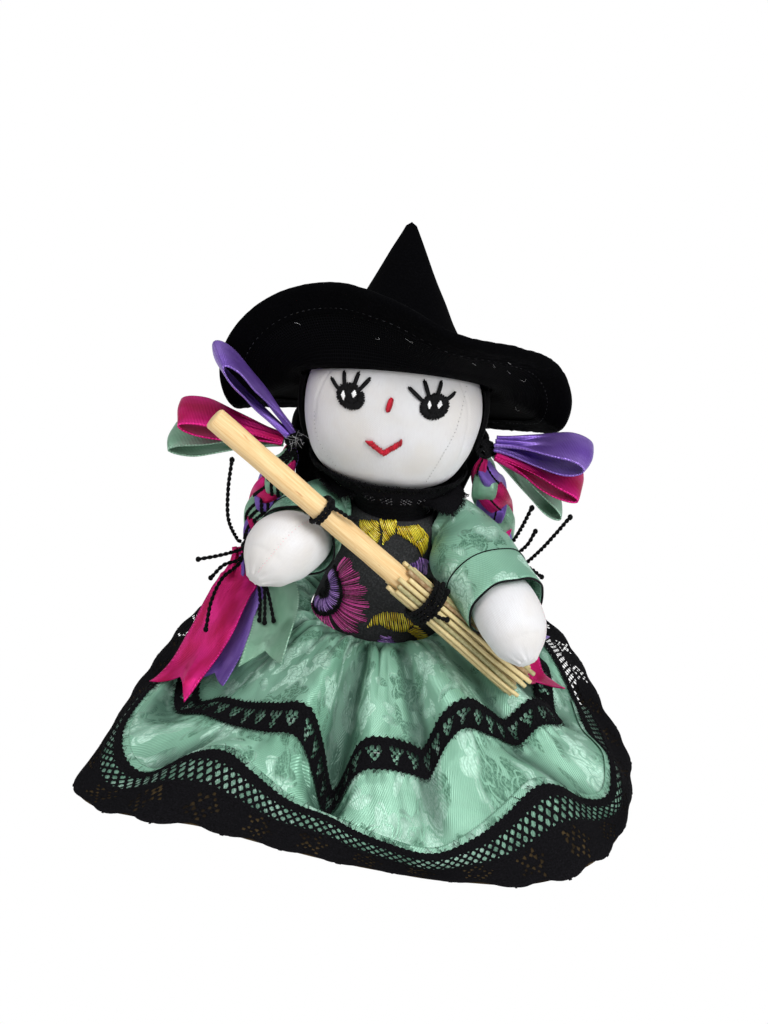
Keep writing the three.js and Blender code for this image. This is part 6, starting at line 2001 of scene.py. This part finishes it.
def ribbon(middle, wide, width, normal, gather, curl, seed, notch=0.0, folds=2.5):
    """Top and under faces from a middle line. Across the ribbon, gathers of `folds` half waves stand
    where gather is near 1, and the open stretch curls a little towards its back. A notch is a swallow
    tail: each column ends earlier towards the middle, along its own line."""
    s = COLUMNS[None, :]
    gathers = np.sin(np.pi * folds * s + seed) + 0.4 * np.sin(np.pi * 1.9 * folds * s + 2 * seed)
    along = steps_of(middle)[:, None]
    soft = 0.22 * np.sin(along / 5.5 + 2.1 * s + seed) + 0.12 * np.sin(along / 2.6 - 3.3 * s + 2 * seed)
    off = gather * 0.75 * gathers + curl * (s**2 - 0.35) * (1 - gather) + soft * (1 - 0.5 * gather)
    cloth = middle[:, None] + wide[:, None] * (s * width / 2)[..., None] + normal[:, None] * off[..., None]
    if notch:
        k = smoothstep(along / along[-1], 1 - 2 * notch / along[-1, 0], 1) * (1 - np.abs(s))
        at = along - notch * k
        cut = [read_evenly(cloth[:, j], along[:, 0], at[:, j]) for j in range(s.size)]
        cloth = np.stack(cut, axis=1)
    square = unit(np.cross(np.gradient(cloth, axis=1), np.gradient(cloth, axis=0)))
    facing = np.where((square * normal[:, None]).sum(-1, keepdims=True) < 0, -1.0, 1.0)
    return cloth, square * facing * (0.5 * RIBBON - 0.1)


def make_ribbon(name, colour_name, cloth, half, body, node, flat, held, rests_on):
    """A ribbon's two faces as a strip in its colour, whose flat size is printed."""
    made = strip(name, cloth + half, cloth - half, np.abs(COLUMNS), RIBBONS[colour_name])
    finish_piece(made, body, "ribbon_" + colour_name, node)
    print(name, "cut", [round(x * 1000) for x in flat], "mm")


# %% Bows
LOOPS = [  # side, colour, tip, the direction it stands in, how far it opens, its place on the knot, twist
    ("right", "purple", (-65, -21, 148), (0.72, 0.2, 0.65), 2.5, (-2.6, -2.4, 4.8), 0.1),
    ("right", "magenta", (-79, -12, 119.5), (0, -0.15, 1), 2.6, (-5.2, -2.2, -0.4), 0.1),
    ("right", "mint", (-83, -4, 105), (0, -0.15, 1), 2.4, (-5.4, 2, -2.2), 0.1),
    ("left", "purple", (65, -15, 125.4), (0, -0.15, 1), 3.4, (3.8, -2.4, 4), -0.1),
    ("left", "magenta", (65, -10, 110.5), (0.1, -0.15, 1), 2.3, (5.2, -2.8, -0.6), -0.1),
    ("left", "mint", (60.6, 2, 95.8), (0.5, -0.1, 0.8), 2.4, (5.2, 3.4, -2.2), -0.1),
]


def loop_path(root, shape, u):
    """With t from 0 to 180 degrees the middle is root + reach (sin t)^0.8 + lift (opening sin 2t +
    1.1 cos t). The ribbon is narrow at both ends, where the knot holds it."""
    tip, stands, opens, turn = shape
    along = tip - root
    side = unit(np.cross(along, stands))
    lift = unit(np.cross(side, along))
    t = np.pi * u[:, None]
    out = np.sin(t)
    middle = root + along * out**0.8 + lift * (opens * np.sin(2 * t) + 1.1 * np.cos(t))
    wide = side * np.cos(turn * np.cos(t)) + lift * np.sin(turn * np.cos(t))
    return middle, wide, RIBBON_WIDTH * (0.3 + 0.7 * smoothstep(out, 0, 0.75)), out


for n, (side_name, colour_name, tip, stands, opens, place, twist) in enumerate(LOOPS):
    shape = vector(*tip), vector(*stands), opens, twist

    def both_ends(root):
        """The loop's first and last section, both of which have to clear the knot."""
        middle, wide, width, _ = loop_path(root, shape, np.linspace(0, 1, 14))
        found = []
        for i, j in ((0, 1), (-1, -2)):
            normal = unit(np.cross(middle[j] - middle[i], wide[i]))
            found.append(flat_section(middle[i], wide[i], normal, float(width[i, 0])))
        return np.concatenate(found)

    root = seat_on_ball(KNOTS[side_name], KNOT_R, place, both_ends)
    length, stations = evenly(loop_path(root, shape, np.linspace(0, 1, 500)), 100)
    middle, wide, width, out = stations
    wide = unit(wide)
    normal = unit(np.cross(np.gradient(middle, axis=0), wide))
    cloth, half = ribbon(middle, wide, width, normal, 1 - smoothstep(out, 0, 0.62), 0.7, 1.7 * n)
    node = side_name + "_bow_" + colour_name
    flat, knot = (RIBBON_WIDTH * MM, length * MM), [side_name + "_bow_knot_yarn"]
    make_ribbon(node + "_ribbon", colour_name, cloth, half, "doll", node, flat, "folded", knot)

# %% [markdown]
# A braid is three strands that change places. It could be a picture on a tube, but from the side one
# sees each strand dive under the next, so with p growing along the braid, strand k lies at
# A sin(p + 120k) to the side and B sin(2p + 240k) to the front. Each is a folded ribbon with yarn on it.

# %% Braids
BRAIDS = {
    "right": [[-40.2, -2, 102, 3.3], [-45, 3, 88, 5.6], [-50, 6, 73, 5], [-52, 6, 61, 2.8]],
    "left": [[30.8, -2, 108.4, 3.9], [34.8, 3, 96.4, 6.2], [40.4, 9, 81, 5.9], [44.4, 10, 69.2, 3.1]],
}
# the length of one turn, where it starts, the yarn's thickness, and the yarns laid on each strand
PLAITS = {
    "right": (32, 1.9, 1.5, ([0.3], [-0.62, -0.1, 0.42], [-0.62, -0.1, 0.42])),
    "left": (42, 0.6, 0.8, ([0.25], [-0.3], [])),
}
TIE_R, TIES = 3.4, {}
FRONT = vector(0, -1, 0.25)
for side_name, rows_ in BRAIDS.items():
    rows_, knot = np.array(rows_, float), KNOTS[side_name]
    pitch, start, thickness, yarns = PLAITS[side_name]
    top_point = knot + unit(rows_[0, :3] - knot) * (KNOT_R + GAP)
    TIES[side_name] = rows_[3, :3] + unit(rows_[3, :3] - rows_[2, :3]) * (TIE_R + GAP)
    rows_ = np.concatenate([[[*top_point, 1.6]], rows_])
    _, (path,) = evenly([hermite(np.arange(5), rows_, np.linspace(0, 4, 300))], 90)
    middle, radius = path[:, :3], path[:, 3:4]
    way = unit(np.gradient(middle, axis=0))
    front = unit(FRONT - way * (way @ FRONT)[:, None])
    side = np.cross(way, front)
    along = steps_of(middle)[:, None]
    half_thick = 0.24 * radius + 0.25
    c, s = np.cos(turns(36))[None, :, None], np.sin(turns(36))[None, :, None]
    edge = np.broadcast_to(np.abs(np.cos(turns(36))) * 0.98, (90, 36))
    for k, colour_name in enumerate(["magenta", "purple", "mint"]):
        p = 2 * np.pi * (along / pitch + k / 3) + start
        line = middle + side * (0.42 * radius) * np.sin(p) + front * (0.34 * radius) * np.sin(2 * p)
        flat_way = unit(np.gradient(line, axis=0))
        across = unit(np.cross(flat_way, front + 0.35 * side * np.sin(p)))
        out = np.cross(across, flat_way)
        half_wide = 0.82 * radius * (1 + 0.12 * np.cos(2 * p))
        fold = 0.16 * np.sin(2.5 * np.pi * c + 0.25 * along[:, :, None] + k)
        wide = across[:, None] * (half_wide[:, None] * powered(c, 0.8))
        ring = line[:, None] + wide + out[:, None] * (half_thick[:, None] * powered(s, 0.7) + fold)
        look = {"attributes": {"edge": edge}, "material": RIBBONS[colour_name]}
        made = surface(f"{side_name}_braid_{colour_name}", ring, around=True, capped=True, **look)
        node = [side_name + "_braid"] if k == 0 else []
        finish_piece(made, side_name + "_braid_body", "ribbon_" + colour_name, *node)
        for j, spot in enumerate(yarns[k]):
            lift = half_thick * (1 - 0.3 * spot * spot) + 0.25
            laid = line + across * half_wide * spot + out * lift
            laid = yarn(f"{side_name}_braid_yarn_{k}_{j}", laid, thickness, 3.6)
            finish_piece(laid, side_name + "_braid_body", "yarn")

# %% [markdown]
# The yarn of the hair is tied round the end of each braid, and its ends stand out, each with a knotted tip.
# The long ones stand for solids of the part, which they hide; the short ones only add to the look. All are
# two-ply yarn along a curve.

# %% Ties and yarn ends
YARN_THICK, YARN_DIAMETER = 1.55, 0.0022
YARN_ENDS = {
    "right": (
        [[(-56.5, 0.5, 58), (-63, -4, 57.5), (-70, -6, 56)]]
        + [[(-55.5, -1, 55), (-60.6, -3.6, 53.4), (-64.6, -7.5, 49.4)]],
        {
            "up": [(-57, 4, 61), (-60.5, 0, 72), (-61.5, 1, 84), (-61, 2, 96)],
            "down": [(-55.6, -1, 52.5), (-60.4, -6, 49), (-63, -12.6, 42.4), (-63.6, -18, 33)],
        },
    ),
    "left": (
        [[(48.5, 6, 70), (52, 3, 77), (54, 3.5, 83)], [(50.5, 9, 64.5), (56, 12, 61.5), (61.5, 14, 57)]],
        {
            "up": [(43.5, 4.4, 69), (45, -2, 78), (47.5, -6, 89), (49.5, -8, 99)],
            "out": [(52, 6, 66), (57, 3, 75), (61.5, 1, 85), (65, 0, 93)],
        },
    ),
}


for side_name, (short, long_) in YARN_ENDS.items():
    tie, body = TIES[side_name], side_name + "_braid_body"
    tie_node = [side_name + "_braid_tie"]
    wound_ball(side_name + "_tie_yarn", tie, TIE_R - 0.1, 1.6, 8, 2.0 + len(side_name), body, tie_node)
    for k, points in enumerate(short):
        route = curve_through([tie + unit(vector(*points[0]) - tie) * 2.4, *points], 60)
        finish_piece(yarn(f"{side_name}_tie_end_{k}", route, YARN_THICK), body, "yarn")
        tip = f"{side_name}_tie_tip_{k}"
        wound_ball(tip, route[-1], 1.0, 0.8, 6, k + 1.0, body, squash=(1, 1, 1.25))
    for label, points in long_.items():
        start = tie + unit(vector(*points[0]) - tie) * (TIE_R + 2 * GAP)
        route, node = curve_through([start, *points], 120), f"{side_name}_yarn_{label}"
        tip_ball = wound_ball(node + "_tip", route[-1], 1.05, 0.8, 6, 3.0, body, squash=(1, 1, 1.3))
        end = finish_piece(yarn(node + "_plies", route, YARN_THICK), body, "yarn", node)

# %% [markdown]
# The tails run down over the skirt. A cloth simulation would settle them, but slowly and never twice
# alike. A map of small cells keeps the highest cloth above each spot of the floor instead, and every
# point of a ribbon is lifted clear of the cloth below it. Each tail is then added to the map.

# %% A map of the highest cloth
CELL, CELLS = 1.0, 256


def cell_of(points):
    """The map's cell for each point: its place over the cell size, rounded, plus half the map."""
    places = (np.round(points[..., k] / CELL).astype(int) + CELLS // 2 for k in (0, 1))
    return tuple(np.clip(place, 0, CELLS - 1) for place in places)


def spread_map(cells, reach):
    """The highest value within reach cells, then a mean over neighbours."""
    grown = cells.copy()
    for di in range(-reach, reach + 1):
        for dj in range(-reach, reach + 1):
            grown = np.maximum(grown, np.roll(cells, (di, dj), (0, 1)))
    return sum(np.roll(grown, (di, dj), (0, 1)) for di in (-1, 0, 1) for dj in (-1, 0, 1)) / 9


def height_under(cells, points):
    """The map read between cell middles: the four nearest cells, each weighed by how near it is."""
    x, y = points[..., 0] / CELL + CELLS // 2, points[..., 1] / CELL + CELLS // 2
    i, j = np.floor(x).astype(int), np.floor(y).astype(int)
    fx, fy = x - i, y - j
    near = cells[i, j] * (1 - fx) * (1 - fy) + cells[i + 1, j] * fx * (1 - fy)
    return near + cells[i, j + 1] * (1 - fx) * fy + cells[i + 1, j + 1] * fx * fy


cloth_map = np.zeros((CELLS, CELLS))
share, bearing = np.linspace(0, 1, 420), np.arange(-180, 180, 0.35)
over = np.maximum(SATIN, np.where((share > 0.39) & (share < 0.52), LAID + LACE, 0))
over = np.maximum(over, np.where(share > 0.76, over_satin(share) + LACE, 0))
tops = sheet_lifted(bearing, share, over[:, None]).reshape(-1, 3)
np.maximum.at(cloth_map, cell_of(tops), tops[:, 2])
print("highest cloth", round(float(cloth_map.max()), 1), "mm")

# %% Ribbon tails over the skirt
NOTCH, WIDE_TAIL = 8, 19.0
TAILS = [  # side, colour, its place on the tie, and a route, whose last points lie on the cloth
    ("right", "mint", (5.4, -0.6, -3), [(-42, 3, 46), (-39, -4), (-38, -13), (-38.2, -22)]
     + [(-39.2, -30), (-40.2, -37.4)]),
    ("right", "purple", (-1.6, 0.6, -5.4), [(-50.4, 1, 44), (-51, -6), (-53.4, -14.5), (-57.4, -21.8)]
     + [(-61, -30)]),
    ("right", "magenta", (-5, 3.2, -3), [(-54.4, 1, 46.5), (-56.8, -3.5), (-60.4, -9.6), (-65, -15.8)]
     + [(-70.4, -22), (-75.4, -29.2)]),
    ("left", "mint", (-3.6, 3.4, -3.6), [(42, 19, 50), (42.5, 27), (44, 37), (46, 47), (47, 54)]),
    ("left", "purple", (3, 4.4, -3.4), [(52, 20, 50), (57, 26), (61.4, 32), (64.6, 37.6), (66.6, 42)]),
    ("left", "magenta", (3.6, -3.4, -3.8), [(51.4, 5, 51), (54, 2), (57, -3), (60.4, -9)]
     + [(64.2, -15), (67.6, -21)]),
]


def on_cloth(cells, point, above):
    """A point given by x and y, set above the cloth that the map holds there."""
    return vector(*point, float(height_under(cells, vector(*point))) + above)


def tail_path(start, points, count):
    """A tail's middle line, its level side direction and its upward square direction."""
    middle = curve_through([start, *points], count)
    way = unit(np.gradient(middle, axis=0))
    wide = unit(np.stack([way[:, 1], -way[:, 0], 0 * way[:, 0]], axis=1))
    normal = unit(np.cross(wide, way))
    return middle, wide, np.where(normal[:, 2:] < 0, -normal, normal)


def relaxed(raise_):
    """Lifts spread out to their neighbours: forty times each takes the mean of its four neighbours
    where that is more than its own."""
    for _ in range(40):
        w = np.pad(raise_, 1, mode="edge")
        mean = (w[:-2, 1:-1] + w[2:, 1:-1] + w[1:-1, :-2] + w[1:-1, 2:]) / 4
        raise_ = np.maximum(raise_, mean * 0.998)
    return raise_


for n, (side_name, colour_name, place, route) in enumerate(TAILS):
    cells = spread_map(cloth_map, 2)
    points = [vector(*p) if len(p) == 3 else on_cloth(cells, p, 1.5) for p in route]

    def first_section(spot):
        """The tail's first section, which has to clear the tie."""
        middle, wide, normal = tail_path(spot, points, 40)
        return flat_section(middle[0], wide[0], normal[0], 0.33 * RIBBON_WIDTH)

    start = seat_on_ball(TIES[side_name], TIE_R, place, first_section)
    middle, wide, normal = tail_path(start, points, 84)
    u = np.linspace(0, 1, 84)[:, None]
    widest = (side_name, colour_name) == ("right", "magenta")
    whole, early = (WIDE_TAIL, 0.4) if widest else (RIBBON_WIDTH, 1)
    width = whole * (0.31 + 0.69 * smoothstep(u, 0.03 * early, 0.42 * (0.4 + 0.6 * early)))
    gather = 1 - smoothstep(u, 0.03, 0.36 * (0.5 + 0.5 * early))
    cloth, half = ribbon(middle, wide, width, normal, gather, -0.5, 0.9 + n, NOTCH)
    lack = height_under(cells, cloth) + GAP + 0.5 * RIBBON - cloth[..., 2]
    cloth[..., 2] += relaxed(np.maximum(lack, 0) * smoothstep(u, 0.12, 0.3))
    flat, node = (whole * MM, float(steps_of(middle)[-1]) * MM), side_name + "_tail_" + colour_name
    told = (side_name + "_braid_body", node, flat, "draped", ["skirt_upper_satin", "skirt_lower_satin"])
    make_ribbon(node + "_ribbon", colour_name, cloth, half, *told)
    marks = (cloth + half).reshape(-1, 3)
    marks = marks[marks[:, 2] < height_under(cloth_map, marks) + 11]
    np.maximum.at(cloth_map, cell_of(marks), marks[:, 2])

# %% [markdown]
# A tassel of three yarn strands hangs from the right tie over the mint tail. The strands use the map
# too: both their bend and their end are set just above what lies below.

# %% Tassel
for k, last in enumerate([(-43.6, -19.4), (-41.4, -20.4), (-38.2, -19.6)]):
    tie = TIES["right"]
    start = tie + unit(vector(-47.5, -3.5, 54) - tie) * (TIE_R + 2 * GAP) + vector(0.9 * k, 0, -0.4 * k)
    bend = on_cloth(cloth_map, (-45.4 + 1.5 * k, -9.5), 3.4)
    route, body = curve_through([start, bend, on_cloth(cloth_map, last, 1.3)], 100), "right_braid_body"
    wound_ball(f"tassel_tip_{k}", route[-1], 0.95, 0.8, 6, 3.0 + k, body, squash=(1, 1, 1.3))
    finish_piece(yarn(f"tassel_strand_{k}_plies", route, 1.45), body, "yarn")

# %% [markdown]
# The broom: a turned dowel, a ring of split reeds round its lower end, and black yarn wound round both
# in one unbroken helix. Everything is placed by a share of its length and by two distances from its
# middle line, so that the broom could be tilted by changing only its two end points.

# %% Broom
BROOM_TOP, BROOM_END = vector(-62.5, -38, 132.5), vector(55.5, -35, 41)
DOWEL_R, STRAW_R, REED_POINTS = 4.0, 0.95, 34
BUTT, BOUND, HAND_TIED = 0.575, 0.665, 0.325
BROOM_BODY = "right_arm_and_broom"
BROOM_LONG = float(np.linalg.norm(BROOM_END - BROOM_TOP))
broom_way = unit(BROOM_END - BROOM_TOP)
broom_side = unit(vector(0, -1, 0) + broom_way * broom_way[1])
broom_up = np.cross(broom_way, broom_side)


def on_broom(share, a=0.0, b=0.0):
    """top + way * length * share + side * a + up * b."""
    share, a, b = (np.asarray(x, float)[..., None] for x in (share, a, b))
    return BROOM_TOP + broom_way * (BROOM_LONG * share) + broom_side * a + broom_up * b


share = np.concatenate([[0, 0.0008, 0.0025, 0.004], np.linspace(0.008, BOUND + 0.02, 150)])[:, None]
t = turns(64)[None, :]
r = DOWEL_R - 0.5 * (1 - smoothstep(share, 0, 0.004)) - 0.06
r = r + 0.06 * np.sin(37 * share) + 0.035 * np.sin(5 * t + 9 * share)
dowel = on_broom(share, r * np.cos(t), r * np.sin(t))
handle = surface("broom_dowel", dowel, around=True, capped=True, material=WOOD)
finish_piece(handle, BROOM_BODY, "wood", "broom_handle")


# %% Reeds
def reed_path(i, ring, radius, count, first, spread):
    """One reed along the broom: it leans out to `spread` times its radius, each a little unevenly."""
    t = 2 * math.pi * i / count + 0.2 * ring + rng.uniform(-0.05, 0.05)
    start = first + (0 if ring else 0.012 * math.sin(2.4 * i))
    s = np.linspace(start, 1 - 0.012 * (1 + math.cos(2.4 * (i + 5 * ring))), REED_POINTS)
    k = np.clip((s - BOUND) / (1 - BOUND), 0, 1)
    reach = radius * (1 + (spread - 1) * k) + 0.25 * np.sin(np.pi * k) * rng.uniform(-0.6, 1)
    reach = reach + 0.35 * np.clip((BOUND - s) / (BOUND - BUTT), 0, 1) * rng.uniform(0, 1)
    t = t + 0.05 * np.sin(3 * k * np.pi + i) * k
    return on_broom(s, reach * np.cos(t), reach * np.sin(t))


REED_RINGS = ((5.3, 16, BUTT, 1.14), (2.4, 6, BOUND + 0.024, 1.35))
paths = [reed_path(i, ring, *row) for ring, row in enumerate(REED_RINGS) for i in range(row[1])]
paths = np.array(paths)
reed_r = STRAW_R * rng.uniform(0.84, 1.03, (len(paths), 1))
reed_r = reed_r * (1 + 0.05 * np.sin(np.linspace(0, 9, REED_POINTS)))
reed_look = {"flat": 0.88, "tint": rng.random(len(paths)), "material": STRAW}
straws = tubes("broom_reeds", paths, reed_r, unit(paths - on_broom(0.7)), sides=10, **reed_look)
finish_piece(straws, BROOM_BODY, "straw", "broom_straws")


# %% Windings, their knots and loose ends
def winding(name, share, radius, rounds, cord_r, node):
    """x = radius cos t, y = radius sin t, while the share climbs by one pitch for each round."""
    t = np.linspace(0, 2 * np.pi * rounds, int(rounds * 60))
    at = share + 1.9 * cord_r * (t / (2 * np.pi) - rounds / 2) / BROOM_LONG
    path = on_broom(at, radius * np.cos(t + 2.4), radius * np.sin(t + 2.4))
    ups = unit(path - on_broom(at))
    strands_ = twisted(path, ups, cord_r * 0.5, 3.6, 0.8)
    made = tubes(name, strands_, cord_r * 0.62, ups, sides=8, material=BLACK_YARN)
    finish_piece(made, BROOM_BODY, "yarn", node)


winding("binding_yarn", BOUND, 5.3 + STRAW_R + GAP + 0.85, 4.0, 0.85, "broom_binding")
winding("hand_tie_yarn", HAND_TIED, DOWEL_R + GAP + 0.75, 1.7, 0.75, "hand_tie")
LOOSE_ENDS = {  # rows of share, side and up
    "binding_end_a": [(0.668, 7.2, -1.8), (0.664, 8.6, -4.6), (0.652, 8.8, -8.8), (0.633, 8.6, -13.2)],
    "binding_end_b": [(0.672, 7.2, -1.4), (0.673, 9.0, -4.4), (0.665, 9.4, -8.6), (0.652, 9.4, -12.8)],
    "binding_end_c": [(0.676, 7.2, -1.6), (0.69, 8.9, -2.8), (0.708, 9.2, -4.4)],
    "hand_tie_end": [(0.334, 2.2, -4.6), (0.35, 2.8, -5.7), (0.372, 2.8, -6.2), (0.39, 2.4, -7.2)],
}
for name, rows_ in LOOSE_ENDS.items():
    route = curve_through(on_broom(*np.array(rows_).T), 50)
    finish_piece(yarn(name, route, 1.5, 3.6), BROOM_BODY, "yarn")
    wound_ball(name + "_tip", route[-1], 1.0, 0.8, 6, 1.3, BROOM_BODY, squash=(1, 1, 1.2))
wound_ball("binding_knot", on_broom(0.668, 7.4, -2.2), 1.8, 1.0, 6, 0.7, BROOM_BODY)
wound_ball("hand_tie_knot", on_broom(0.33, 2.4, -4.8), 1.3, 1.0, 6, 0.7, BROOM_BODY)

# %% [markdown]
# Pale lint is caught at the right knot. Such small dirt could be left out, but it tells the eye that
# black yarn is dark cotton and not a hole.

# %% Lint at the right knot
LINT_HAIRS = 14
start = KNOTS["right"] + rng.normal(0, 1.6, (LINT_HAIRS, 3)) + (1.0, -3.6, 1.5)
away = unit(rng.normal(0, 1, (LINT_HAIRS, 3)) + (0.2, -0.9, 0.5))
bend = rng.normal(0, 1.4, (LINT_HAIRS, 3))
u = np.linspace(0, 1, 9)[None, :, None]
reach = 4.2 * u * rng.uniform(0.4, 1.2, (LINT_HAIRS, 1, 1))
paths = start[:, None] + away[:, None] * reach + bend[:, None] * u**2
finish_piece(tubes("knot_lint", paths, 0.05, bend[:, None], sides=4, material=LINT), "doll", "yarn")
